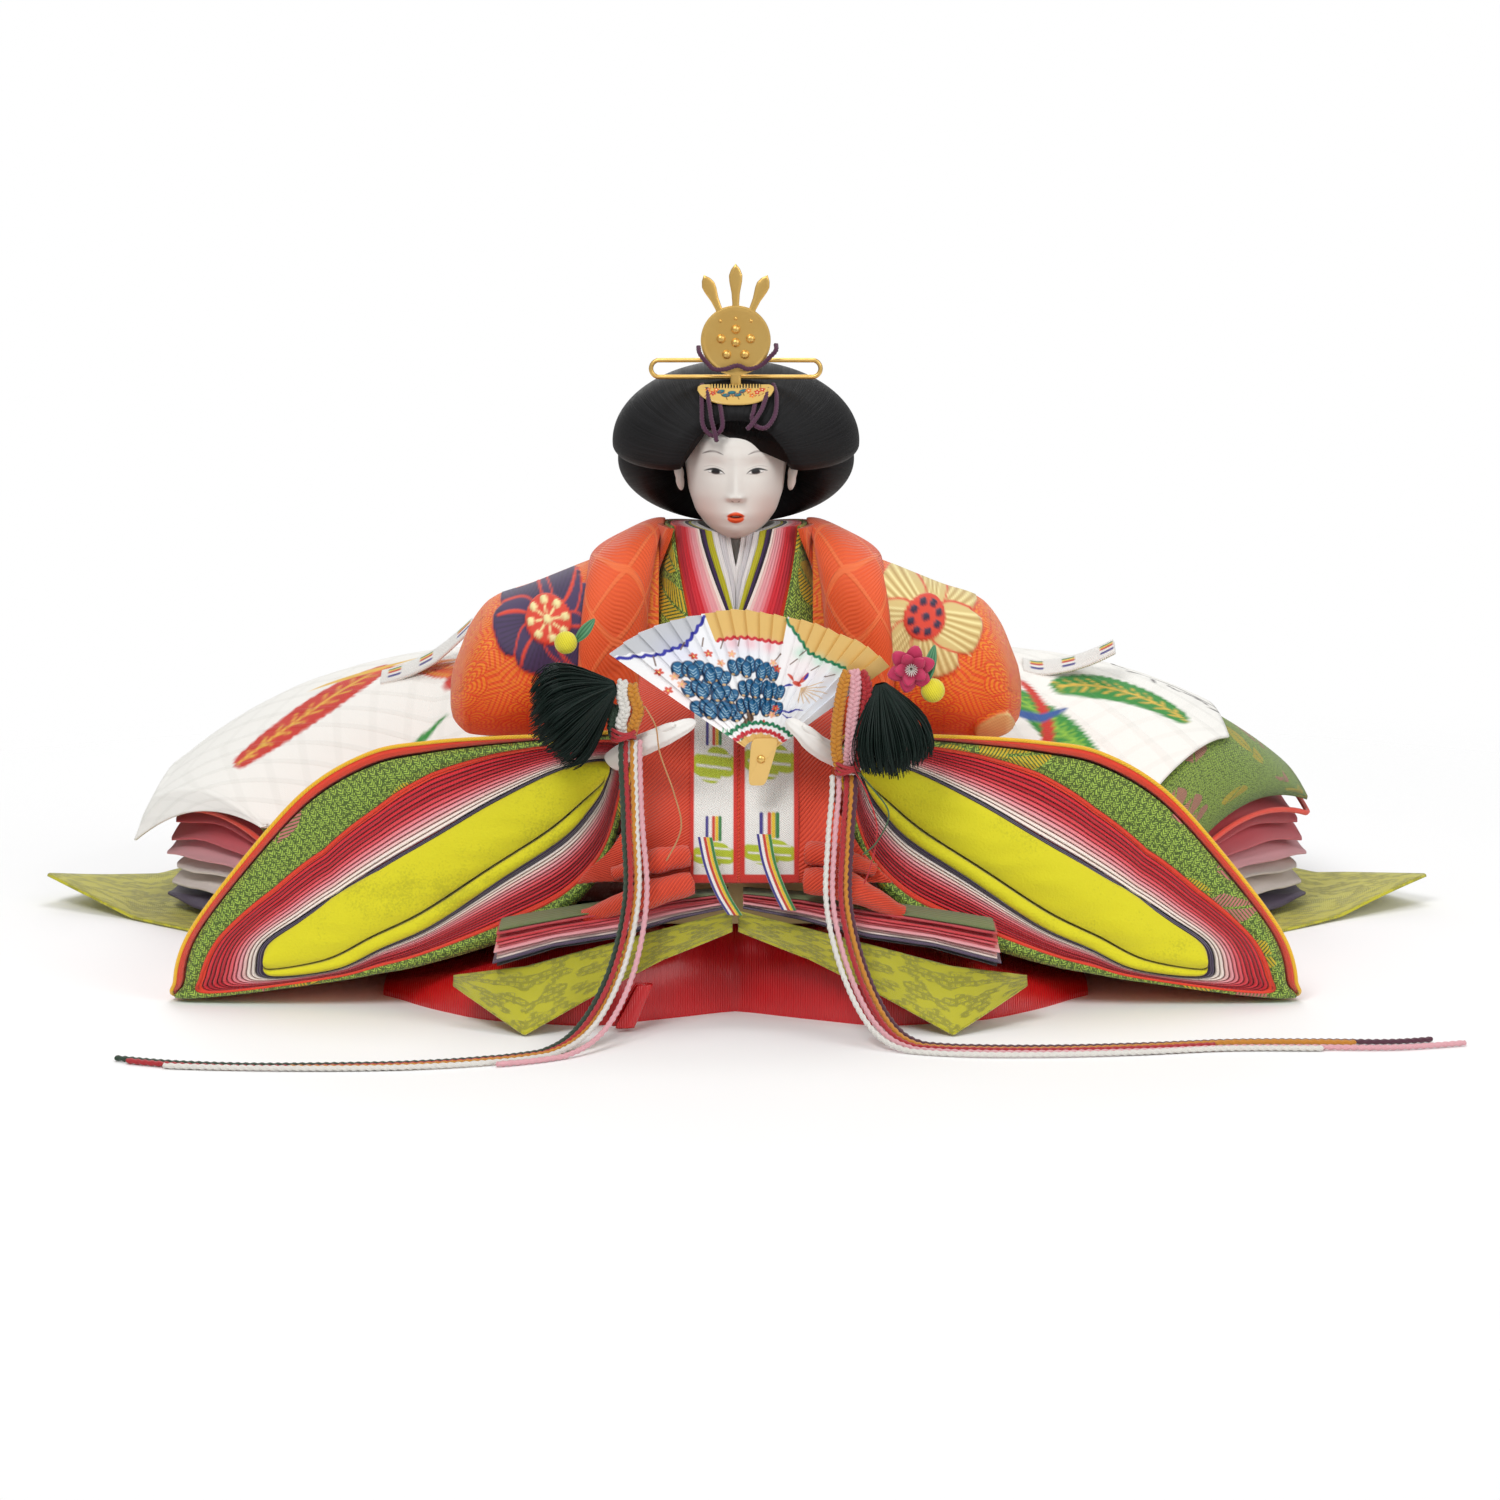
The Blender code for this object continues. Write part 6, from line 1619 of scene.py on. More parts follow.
bm = bmesh.new()
laid_grid(bm, 130, 100, lap_place, (2 * LAP_HALF_WIDTH, 0.085))
lap_red = Finish("lap_red_twill", dye(222, 62, 24), 0.6, Sheen_Weight=0.25)
lap_u, lap_v = lap_red.cloth()
lap_twill = (lap_u + lap_v).wave(0.0013)
lap_red.feed("Base Color", lap_red.blend(lap_twill * 0.6, dye(228, 70, 26), dye(184, 30, 14)))
lap_red.relief(lap_twill, 0.0003)
lap = finished("coat_lap", bm, lap_red, "doll", wall=LAP_WALL * 0.7, offset=0.0)
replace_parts(lap, "lap_brocade")
# Rows: name, points of the roll's middle, and its half height
LAP_ROLLS = (("left", ((-0.0120, -0.0935, 0.0425), (-0.0230, -0.0950, 0.0400), (-0.0350, -0.0950, 0.0360),
                       (-0.0455, -0.0925, 0.0315)), 0.0042),
             ("right", ((0.0200, -0.0935, 0.0430), (0.0300, -0.0952, 0.0425), (0.0400, -0.0955, 0.0385),
                        (0.0500, -0.0925, 0.0325)), 0.0046),
             ("left_upper", ((-0.0130, -0.0900, 0.0500), (-0.0240, -0.0915, 0.0485),
                             (-0.0370, -0.0890, 0.0440)), 0.0038),
             ("right_upper", ((0.0205, -0.0900, 0.0510), (0.0300, -0.0920, 0.0500),
                              (0.0420, -0.0885, 0.0450)), 0.0040))
for roll_name, roll_points, roll_half in LAP_ROLLS:
    points = even(roll_points, 0.0008)
    bm = bmesh.new()
    rope(bm, points, roll_half, 26, girth=lambda t: 0.60 + 0.40 * math.sin(math.pi * min(1, t * 1.2 + 0.1))
         + 0.06 * math.sin(t * 19))
    facing_out(bm)
    roll = finished("lap_fold_" + roll_name, bm, lap_red, "doll", smooth=80)

# Two woven bands: white herringbone bordered in red, with striped blocks and yellow-green clouds,
# hanging down the lap, each with its end folded back and a striped ribbon over it
BAND_RED = dye(222, 44, 26)
CLOUD_GREEN = dye(190, 206, 40)


def band_finish_place(low, high):
    def place(across, down):
        y, z, _ = lap_line(0.12 + 0.88 * down, -BAND_GAP - 0.0004)
        x = low + (high - low) * across
        curl = 0.0010 * (abs(2 * across - 1) ** 3) * down
        return Vector((x, y - 0.0006 + curl * 0.4, z))
    return place


def paint_band(art, width, length, shift):
    art.soft = 0.0003
    edge = width * 0.085
    for k in range(7):
        along = length * (0.16 + 0.13 * k) + shift
        if k % 3 == 1:
            court_stripes(art, width * 0.5, along, width * 0.17, 0.0034)
        elif k % 3 == 2:
            for j in range(4):
                art.oval(width * (0.28 + 0.15 * j), along + 0.0018 * math.sin(j * 2.1), width * 0.24, 0.0028,
                         0.2, CLOUD_GREEN, 0.0, 2.6)
            for j in range(3):
                art.stroke([(width * 0.15, along - 0.003 + 0.003 * j), (width * 0.85, along - 0.002 + 0.003 * j)],
                           0.0003, TRAIN_WHITE)
    art.cover(art.inside(edge - art.x), BAND_RED)
    art.cover(art.inside(art.x - width + edge), BAND_RED)
    art.cover(art.inside(art.y - length * 0.93), BAND_RED)


for word, (low, high) in BAND_PLACES.items():
    width = high - low
    length = 0.066
    bm = bmesh.new()
    made, shares = laid_grid(bm, 56, 200, band_finish_place(low, high), (width, length))
    art = Painting([s[0] * width for s in shares], [s[1] * length for s in shares], TRAIN_WHITE)
    paint_band(art, width, length, 0.001 if word == "left" else 0.0)
    band = finished("woven_band_" + word, bm, woven_band, "doll", paint=art.colour, wall=0.0008, offset=1.0)
    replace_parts(band, "band_" + word)

# Striped ribbons: narrow flat braids of the five colours, which hang from the bands' feet
RIBBONS = {"left": ((-0.0090, -0.0925, 0.0560), (-0.0072, -0.0950, 0.0480), (-0.0040, -0.0972, 0.0400),
                    (0.0000, -0.0985, 0.0335)),
           "right": ((0.0085, -0.0930, 0.0570), (0.0100, -0.0952, 0.0490), (0.0130, -0.0972, 0.0410),
                     (0.0160, -0.0985, 0.0350))}
RIBBON_HALF = 0.0022
for word, route in RIBBONS.items():
    run = [Vector(p) for p in even(route, 0.0005)]

    def ribbon_place(across, down, run=run):
        i = round(down * (len(run) - 1))
        return run[i] + Vector(((2 * across - 1) * RIBBON_HALF, 0.0004 * math.cos(across * 3), 0))

    bm = bmesh.new()
    made, shares = laid_grid(bm, 30, len(run) - 1, ribbon_place, (2 * RIBBON_HALF, run_length(run)))
    art = Painting([s[0] * 2 * RIBBON_HALF for s in shares], [s[1] for s in shares], TRAIN_WHITE)
    art.soft = 0.0001
    for k, colour in enumerate(STRIPE_DYES):
        centre = 2 * RIBBON_HALF * (k + 0.5) / 5
        art.cover(art.inside(RIBBON_HALF / 5 - np.abs(art.x - centre)), colour)
    ribbon = finished("striped_ribbon_" + word, bm, woven_band, "doll", paint=art.colour, wall=0.0005, offset=0)

# Head: a matte white face and neck of polished shell paste, its features modelled low and painted
# with a fine brush; ears stand out under the hair
NECK_BASE = 0.1128
NECK_RADIUS = 0.0078
HEAD_BASE = 0.135
HEAD_HEIGHT = 0.045
HEAD_HALF_WIDTH = 0.0162
HEAD_HALF_DEPTH = 0.0200
# Rows: height, half width, front and back shares
HEAD_SHARES = ((0.0, 0.02, 0.30, 0.10), (0.02, 0.22, 0.62, 0.25), (0.05, 0.40, 0.82, 0.38), (0.10, 0.58, 0.96, 0.48),
               (0.20, 0.78, 1.05, 0.60), (0.34, 0.91, 1.09, 0.68), (0.52, 0.975, 1.10, 0.76),
               (0.70, 0.95, 1.07, 0.76), (0.84, 0.80, 0.90, 0.62), (0.93, 0.52, 0.58, 0.42),
               (0.98, 0.24, 0.28, 0.20), (1.0, 0.01, 0.01, 0.01))
FACE_COLUMNS = 300
FACE_ROWS = 300
EYE_X = 0.0066
EYE_Z = 0.1577
NOSE_Z = 0.1504
MOUTH_Z = 0.1437
GOFUN = dye(232, 227, 220)
INK, BROWN_INK = dye(18, 14, 16), dye(96, 82, 78)
LIP_RED, LIP_DARK, BLUSH = dye(236, 84, 32), dye(70, 26, 20), dye(240, 208, 196)


def hill(x, z, centre_x, centre_z, wide, tall):
    return math.exp(-((x - centre_x) / wide) ** 2 - ((z - centre_z) / tall) ** 2)


def face_relief(x, z):
    """How far the features stand out of the egg of the head, in metres."""
    away = abs(x)
    out = -0.0011 * hill(away, z, EYE_X, EYE_Z + 0.0006, 0.0040, 0.0026)
    out += 0.0007 * hill(away, z, EYE_X, EYE_Z + 0.0002, 0.0030, 0.0014)
    out += 0.0005 * hill(away, z, EYE_X, EYE_Z + 0.0052, 0.0050, 0.0018)
    bridge = min(1.0, max(0.0, (EYE_Z + 0.002 - z) / (EYE_Z + 0.002 - NOSE_Z)))
    under = min(1.0, max(0.0, (z - NOSE_Z + 0.0022) / 0.0016))
    ridge = (0.0004 + 0.0021 * bridge ** 1.4) * under * math.exp(-(x / (0.0014 + 0.0008 * bridge)) ** 2)
    out += ridge if z < EYE_Z + 0.004 else 0.0004 * hill(x, z, 0, EYE_Z + 0.004, 0.0016, 0.003)
    out += 0.0010 * hill(away, z, 0.0019, NOSE_Z - 0.0006, 0.0011, 0.0010)
    out += 0.0010 * hill(x, z, 0, MOUTH_Z, 0.0042, 0.0030)
    out += 0.0005 * hill(away, z, 0.0008, MOUTH_Z + 0.0010, 0.0014, 0.0006)
    out += 0.0006 * hill(x, z, 0, MOUTH_Z - 0.0011, 0.0018, 0.0007)
    out -= 0.0009 * hill(x, z, 0, MOUTH_Z, 0.0018, 0.0004)
    out += 0.0009 * hill(x, z, 0, 0.1388, 0.0040, 0.0022)
    out += 0.0004 * hill(away, z, 0.0098, 0.1500, 0.0045, 0.0050)
    return out


def head_place(around, along):
    rows = HEAD_SHARES
    wide, front, back = [sum(pick[axis] for pick in [between(rows, along + 0.02 * k) for k in (-1, 0, 1)]) / 3
                         for axis in range(3)]
    side = 2 * around - 1
    turn = math.pi + math.pi * (0.36 * side + 0.64 * side ** 3)
    c, s = math.cos(turn), math.sin(turn)
    x = HEAD_HALF_WIDTH * wide * math.copysign(abs(s) ** 0.96, s)
    depth = front if c < 0 else back
    y = HEAD_HALF_DEPTH * depth * math.copysign(abs(c) ** 0.92, c)
    z = HEAD_BASE + HEAD_HEIGHT * along
    if y < -0.004:
        y -= face_relief(x, z) * min(1.0, (-0.004 - y) / 0.006)
    return Vector((x, y, z))


def paint_face(art):
    art.soft = 0.00022
    for side in (-1, 1):
        art.blot(side * 0.0105, 0.1440, 0.0060, BLUSH, 0.45)
        art.blot(side * 0.0047, 0.1683, 0.0012, dye(150, 146, 146), 0.50)
        brow = [(side * (0.0038 + 0.0066 * k / 14), 0.1630 + 0.0010 * math.sin(math.pi * k / 14))
                for k in range(15)]
        art.stroke(brow, 0.00030, BROWN_INK, 0.9)
        art.blot(side * 0.0066, 0.1640, 0.0018, dye(214, 206, 200), 0.5)
        art.oval(side * 0.0064, EYE_Z - 0.0001, 0.0026, 0.00050, side * 0.06, dye(246, 244, 240))
        art.oval(side * 0.0062, EYE_Z - 0.00005, 0.0014, 0.0008, 0.0, INK)
        lid = [(side * (0.0034 + 0.0064 * k / 14), EYE_Z - 0.0006 + 0.0011 * math.sin(math.pi * (k / 14) ** 0.8)
                + 0.0007 * (k / 14)) for k in range(15)]
        art.stroke(lid, 0.00032, INK, 0.8)
        lower = [(side * (0.0038 + 0.0048 * k / 10), EYE_Z - 0.0006 - 0.00025 * math.sin(math.pi * k / 10)
                  + 0.0004 * (k / 10)) for k in range(11)]
        art.stroke(lower, 0.00013, BROWN_INK, 0.7)
        fold = [(side * (0.0036 + 0.0062 * k / 10), EYE_Z + 0.0008 + 0.0009 * math.sin(math.pi * k / 12))
                for k in range(11)]
        art.stroke(fold, 0.00012, dye(196, 188, 182), 0.8)
        art.oval(side * 0.0010, NOSE_Z - 0.00175, 0.00042, 0.00022, side * 0.5, dye(170, 156, 148))
        art.blot(side * 0.0165, 0.1655, 0.0035, dye(120, 118, 120), 0.6)
        art.blot(side * 0.0150, 0.1700, 0.0030, dye(120, 118, 120), 0.6)
    for k in range(44):
        x = -0.0105 + 0.0210 * k / 43
        reach = 0.0022 + 0.0016 * math.sin(k * 5.1) ** 2
        art.stroke([(x, 0.1738), (x * 0.94, 0.1738 - reach)], 0.00010, dye(176, 172, 172), 0.6)
    art.oval(0.0, MOUTH_Z - 0.0006, 0.0026, 0.0013, 0.0, LIP_RED, 0.0, 1.8)
    for side in (-1, 1):
        art.oval(side * 0.0010, MOUTH_Z + 0.0007, 0.0018, 0.0007, side * -0.35, LIP_RED, 0.0, 1.8)
    art.oval(0.0, MOUTH_Z + 0.0001, 0.0021, 0.00042, 0.0, LIP_DARK, 0.0, 1.7)
    art.stroke([(-0.0010, MOUTH_Z + 0.00025), (0.0010, MOUTH_Z + 0.00025)], 0.00012, dye(220, 214, 206), 0.4)


gofun = Finish("white_gofun", GOFUN, 0.52)
gofun_mist = gofun.cloud(gofun.node("TexCoord", output="Object"), 160.0)
gofun_dyed = gofun.painted()
gofun.feed("Base Color", gofun.blend(
    gofun_mist * 0.10, gofun_dyed, gofun.deeper(1.0, gofun_dyed, (0.86, 0.83, 0.80))))
gofun.relief(gofun_mist, 0.00003)

bm = bmesh.new()
laid_grid(bm, FACE_COLUMNS, FACE_ROWS, head_place, (0.1, 0.05), closed=True)


def neck_place(around, along):
    turn = 2 * math.pi * around
    z = NECK_BASE + 0.036 * along
    flare = 1 + 0.10 * max(0.0, 0.3 - along) / 0.3 + 0.12 * max(0.0, along - 0.6) / 0.4
    return Vector((NECK_RADIUS * flare * math.sin(turn), NECK_RADIUS * flare * math.cos(turn) - 0.001 * along, z))


laid_grid(bm, 48, 20, neck_place, (0.05, 0.036), closed=True)


def ear_place(side):
    def place(around, along):
        turn, rise = 2 * math.pi * around, math.pi * (along - 0.5)
        c, s = math.cos(turn) * math.cos(rise), math.sin(turn) * math.cos(rise)
        z = math.sin(rise)
        wide = 0.0014 + 0.0010 * max(0.0, z)
        dish = 0.0005 * max(0.0, 1 - (s * s + (z - 0.2) ** 2) / 0.35) if c * side > 0 else 0.0
        return Vector((side * (0.0176 + 0.0006 * z) + c * wide - side * dish,
                       -0.0055 + s * 0.0024 - 0.0008 * z, 0.1545 + z * 0.0042))
    return place


for side in (-1, 1):
    laid_grid(bm, 28, 24, ear_place(side), (0.01, 0.01), closed=True)
sealed(bm)
bm.verts.ensure_lookup_table()
art = Painting([v.co.x for v in bm.verts], [v.co.z for v in bm.verts], GOFUN)
paint_face(art)
behind = np.array([v.co.y > -0.006 for v in bm.verts])
art.colour[behind] = GOFUN
head = finished("gofun_head", bm, gofun, "head", smooth=180, paint=art.colour)
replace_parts(head, "head")

# Hair: black silk filament combed from the hairline over two wide lobes, with the back roll below
# them and a flat tail behind, bound once in white paper
HAIR_CENTRE = Vector((0.0, 0.006, 0.165))
HAIR_HALF = Vector((0.0390, 0.0300, 0.0250))
ROLL_CENTRE = Vector((0.0, 0.014, 0.1585))
ROLL_HALF = Vector((0.0372, 0.0245, 0.0205))
FACE_OPENING_Z = 0.149
FACE_OPENING_HALF = (0.0194, 0.0250)
HAIR_LOW_AT_FACE = math.radians(33)
HAIR_LOW_AT_SIDE = math.radians(10)
HAIR_WALL = 0.0026
LOBES_BACK_TURN = math.radians(172)
HAIR_DYE, HAIR_LIGHT = dye(12, 12, 13), dye(32, 32, 34)

hair_silk = Finish("black_silk_hair", HAIR_DYE, 0.54, Specular_IOR_Level=0.22)
strand_u, strand_v = hair_silk.cloth()
strand_place = hair_silk.vector(strand_u * 2600.0, strand_v * 34.0, 0.0)
lock_place = hair_silk.vector(strand_u * 420.0, strand_v * 16.0, 2.0)
strand = hair_silk.cloud(strand_place, 1.0, 2.0, 0.6)
lock = hair_silk.cloud(lock_place, 1.0, 2.0, 0.6)
strand_tone = strand * 0.6 + lock * 0.5
hair_silk.feed("Base Color", hair_silk.blend(strand_tone.clear(0.42, 0.78), HAIR_DYE, HAIR_LIGHT))
hair_silk.feed("Roughness", strand_tone.clear(0.3, 0.9) * 0.2 + 0.45)
hair_silk.relief(strand + lock * 0.6, 0.00022)


def hairline(turn):
    """Share of the lobe's radius at which the face opening starts in this direction."""
    c, s = math.cos(turn), math.sin(turn)
    wide, tall = FACE_OPENING_HALF
    drop = HAIR_CENTRE.z - FACE_OPENING_Z
    a = (HAIR_HALF.x * c / wide) ** 2 + (HAIR_HALF.z * s / tall) ** 2
    b = 2 * drop * HAIR_HALF.z * s / tall ** 2
    d = (drop / tall) ** 2 - 1
    return (-b + math.sqrt(max(0.0, b * b - 4 * a * d))) / (2 * a)


def lobe_point(turn_share, back_share, inward):
    """Point on the lobes: turn share 0 to 1 from the left ear over the top to the right ear."""
    low = HAIR_LOW_AT_SIDE + (HAIR_LOW_AT_FACE - HAIR_LOW_AT_SIDE) * max(0.0, 1 - back_share / 0.42) ** 1.4
    turn = math.pi + low - (math.pi + 2 * low) * turn_share
    start = math.asin(min(0.97, hairline(turn)))
    rise = start + (LOBES_BACK_TURN - start) * back_share
    lip = max(0.0, 1 - back_share / 0.05)
    edge = min(turn_share, 1 - turn_share)
    tuck = max(0.0, 1 - edge / 0.035)
    inward = inward + HAIR_WALL * 0.5 * (lip ** 2) + HAIR_WALL * 0.45 * tuck ** 2
    fringe = 0.00008 * math.sin(turn_share * 260) * lip
    half = HAIR_HALF - Vector((inward, inward, inward))
    c, s = math.cos(turn), math.sin(turn)
    swell = 1 + 0.012 * math.sin(back_share * 9) * abs(c)
    return HAIR_CENTRE + Vector((half.x * math.sin(rise) * c * swell, -half.y * math.cos(rise) - fringe,
                                 half.z * math.sin(rise) * s))


def lobes_place(across, along):
    """Outer face, then back along the inner one, closed into a padded shell."""
    outer = across <= 0.5
    turn_share = across * 2 if outer else 2 - across * 2
    return lobe_point(turn_share, along, 0.0 if outer else HAIR_WALL)


bm = bmesh.new()
laid_grid(bm, 300, 80, lobes_place, (0.30, 0.06), closed=True)
sealed(bm)
hair_lobes = finished("hair_lobes", bm, hair_silk, "head", smooth=50)
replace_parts(hair_lobes, "hair_front")


def roll_place(around, along):
    turn = 2 * math.pi * around
    rise = math.pi * (0.02 + 0.96 * along)
    x = ROLL_HALF.x * math.sin(rise) * math.cos(turn)
    y = -ROLL_HALF.y * math.cos(rise)
    if y < 0:
        y *= 1 - 0.9 * math.exp(-(x / 0.024) ** 6)
    return ROLL_CENTRE + Vector((x, y, ROLL_HALF.z * math.sin(rise) * math.sin(turn)))


bm = bmesh.new()
laid_grid(bm, 160, 80, roll_place, (0.30, 0.06), closed=True)
sealed(bm)
hair_roll = finished("hair_roll", bm, hair_silk, "head", smooth=180)
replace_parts(hair_roll, "hair_back")

TAIL_FRONT_Y = 0.0300
TAIL_THICKNESS = 0.0068
TAIL_HALF_WIDTH = 0.0080
TAIL_TOP = 0.1431
TAIL_LENGTH = 0.046
TAIL_SHARES = ((0.0, 0.62, 0.80), (0.12, 0.90, 1.0), (0.22, 0.60, 0.85), (0.34, 0.90, 1.0), (0.85, 1.0, 1.0),
               (1.0, 0.75, 0.70))


def tail_place(around, along, grown=0.0):
    picks = [between(TAIL_SHARES, along + 0.03 * k) for k in (-1, 0, 1)]
    wide, deep = [sum(pick[axis] for pick in picks) / 3 for axis in range(2)]
    turn = 2 * math.pi * around
    c, s = math.cos(turn), math.sin(turn)
    comb_line = 1 + 0.03 * math.sin(turn * 22 + along * 5)
    return Vector(((TAIL_HALF_WIDTH * wide + grown) * math.copysign(abs(c) ** 0.7, c) * comb_line,
                   TAIL_FRONT_Y + TAIL_THICKNESS / 2 + (TAIL_THICKNESS / 2 * deep + grown) * s,
                   TAIL_TOP - TAIL_LENGTH * along))


bm = bmesh.new()
laid_grid(bm, 132, 60, tail_place, (0.04, TAIL_LENGTH), closed=True)
sealed(bm)
hair_tail = finished("hair_tail_silk", bm, hair_silk, "head", smooth=70)
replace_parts(hair_tail, "hair_tail")
white_paper = Finish("white_paper_cord", dye(238, 234, 226), 0.7)
white_paper.relief(white_paper.cloth()[1].wave(0.0008), 0.0002)
bm = bmesh.new()
laid_grid(bm, 48, 10, lambda around, along: tail_place(around, 0.19 + 0.06 * along, 0.0004), (0.04, 0.003),
          closed=True)
facing_out(bm)
finished("hair_tie", bm, white_paper, "head", wall=0.0003, offset=1.0)

# Crown: thin gilt disc with three spear-shaped prongs, six domed studs and three small ones
gilt = Finish("satin_gilt", dye(232, 192, 112), 0.40, metallic=1.0)
gilt_mist = gilt.cloud(gilt.node("TexCoord", output="Object"), 420.0)
gilt_smear = gilt.cloud(gilt.node("TexCoord", output="Object"), 90.0)
gilt.feed("Base Color", gilt.blend(gilt_smear.clear(0.35, 0.7) * 0.4, dye(236, 196, 116), dye(216, 170, 88)))
gilt.feed("Roughness", gilt_smear * 0.14 + 0.36)
gilt.relief(gilt_mist + gilt_smear * 0.6, 0.00006)
CROWN_Y = -0.0135
CROWN_CENTRE_Z = 0.1976
CROWN_RADIUS = 0.0108
CROWN_THICKNESS = 0.0009
DOME_RADIUS = 0.0014
DOME_SHARES = ((0, 0.32), (-0.42, 0.05), (0.42, 0.05), (0, -0.06), (-0.26, -0.40), (0.26, -0.40))
RIVET_SHARES = ((-0.44, 0.56), (0.0, 0.63), (0.44, 0.56))
# Rows: foot and tip of the prong from the disc's centre
PRONGS = (((-0.0047, 0.0086), (-0.0098, 0.0201)), ((0.0, 0.0098), (0.0, 0.0236)),
          ((0.0047, 0.0086), (0.0098, 0.0201)))
PRONG_SHARES = ((0.0, 0.62), (0.10, 0.50), (0.35, 0.62), (0.60, 0.94), (0.74, 1.0), (0.88, 0.66), (1.0, 0.03))
PRONG_HALF_WIDTH = 0.0021


def crown_at(x, z, out):
    return Vector((x, CROWN_Y - CROWN_THICKNESS / 2 - out, CROWN_CENTRE_Z + z))


def disc_place(around, along):
    """Front of the disc: a shallow dish inside a rounded rim."""
    turn = 2 * math.pi * around
    share = math.sin(along * math.pi / 2) if along < 0.999 else 1.0
    dish = -0.00018 * (1 - share ** 2) + 0.00012 * math.exp(-((share - 0.93) / 0.04) ** 2)
    fall = CROWN_THICKNESS * max(0.0, (along - 0.93) / 0.07) ** 2
    return crown_at(CROWN_RADIUS * share * math.cos(turn), CROWN_RADIUS * share * math.sin(turn), dish - fall)


bm = bmesh.new()
laid_grid(bm, 96, 30, disc_place, closed=True, merge=1e-6)
bmesh.ops.holes_fill(bm, edges=[edge for edge in bm.edges if edge.is_boundary], sides=0)
for (share_x, share_z), radius in ([(place, DOME_RADIUS) for place in DOME_SHARES]
                                   + [(place, 0.00055) for place in RIVET_SHARES]):
    def dome_place(around, along, share_x=share_x, share_z=share_z, radius=radius):
        turn, rise = 2 * math.pi * around, math.pi / 2 * along
        return crown_at(share_x * CROWN_RADIUS + radius * math.cos(turn) * math.cos(rise),
                        share_z * CROWN_RADIUS + radius * math.sin(turn) * math.cos(rise),
                        radius * 0.8 * math.sin(rise) - 0.0002)

    laid_grid(bm, 20, 8, dome_place, closed=True)
for (foot_x, foot_z), (tip_x, tip_z) in PRONGS:
    lean = Vector((tip_x - foot_x, 0, tip_z - foot_z))
    aside = Vector((lean.z, 0, -lean.x)).normalized()

    def prong_place(around, along, foot_x=foot_x, foot_z=foot_z, lean=lean, aside=aside):
        half = PRONG_HALF_WIDTH * between(PRONG_SHARES, along)[0]
        c, s = math.cos(2 * math.pi * around), math.sin(2 * math.pi * around)
        return (crown_at(foot_x, foot_z, -CROWN_THICKNESS / 2) + lean * along + aside * half * c
                + Vector((0, CROWN_THICKNESS / 2 * s * min(1.0, half / 0.0008), 0)))

    laid_grid(bm, 20, 36, prong_place, closed=True)


def stem_place(around, along):
    c, s = math.cos(2 * math.pi * around), math.sin(2 * math.pi * around)
    return crown_at(0.0016 * c, -CROWN_RADIUS * 0.9 - 0.0082 * along, -CROWN_THICKNESS / 2 - 0.0004 * s)


laid_grid(bm, 12, 6, stem_place, closed=True)
sealed(bm)
crown = finished("gilt_crown", bm, gilt, "crown", smooth=45)
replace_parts(crown, "crown")

# Hairpin: one gilt wire bent into a long narrow loop
PIN_CENTRE = Vector((0.0, -0.0117, 0.1888))
PIN_HALF_LENGTH = 0.0262
PIN_HALF_HEIGHT = 0.0026
PIN_WIRE = 0.0007
loop = []
for k in range(180):
    turn = math.pi / 2 + 2 * math.pi * k / 179
    straight = PIN_HALF_LENGTH - PIN_HALF_HEIGHT
    c, s = math.cos(turn), math.sin(turn)
    bow = math.copysign(min(1.0, abs(c) * 6), c)
    loop.append(PIN_CENTRE + Vector((bow * straight * min(1.0, abs(c) * 6) ** 0.2 + c * PIN_HALF_HEIGHT, 0,
                                     s * PIN_HALF_HEIGHT)))
bm = bmesh.new()
rope(bm, even(loop, 0.0006), PIN_WIRE, 12)
facing_out(bm)
hairpin = finished("gilt_hairpin", bm, gilt, "hairpin", smooth=180)
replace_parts(hairpin, "hairpin")

# Comb: lacquered half moon with fine teeth along its straight edge, gold ground painted with a pine
# and blossoms
COMB_FOOT = Vector((0.0, -0.0201, 0.1781))
COMB_HALF_WIDTH = 0.0118
COMB_HEIGHT = 0.0080
COMB_THICKNESS = 0.0012
COMB_TILT = math.radians(40)
COMB_UP = Vector((0, math.sin(COMB_TILT), math.cos(COMB_TILT)))
COMB_OUT = Vector((0, -math.cos(COMB_TILT), math.sin(COMB_TILT)))
COMB_TEETH = 17
comb_lacquer = Finish("gold_lacquer", dye(216, 178, 92), 0.26, Coat_Weight=0.6, Coat_Roughness=0.08)
comb_dyed = comb_lacquer.painted()
comb_lacquer.feed("Base Color", comb_dyed)
comb_lacquer.relief(comb_lacquer.cloud(comb_lacquer.node("TexCoord", output="Object"), 900.0), 0.00003)


def comb_at(x, up, out):
    return COMB_FOOT + Vector((x, 0, 0)) + COMB_UP * up + COMB_OUT * out


def comb_place(around, along):
    """Half moon drawn as a fan of lines from the straight edge's middle to the curved edge."""
    side = 2 * around - 1
    x = COMB_HALF_WIDTH * side
    low = COMB_HEIGHT * 0.80 * (1 - math.sqrt(max(0.0, 1 - abs(side) ** 2.4)))
    high = COMB_HEIGHT * 0.80
    edge = min(along, 1 - along, (1 - abs(side)) * 2)
    round_off = COMB_THICKNESS * 0.35 * max(0.0, 1 - edge / 0.08) ** 2
    return comb_at(x, low + (high - low) * along, COMB_THICKNESS / 2 - round_off)


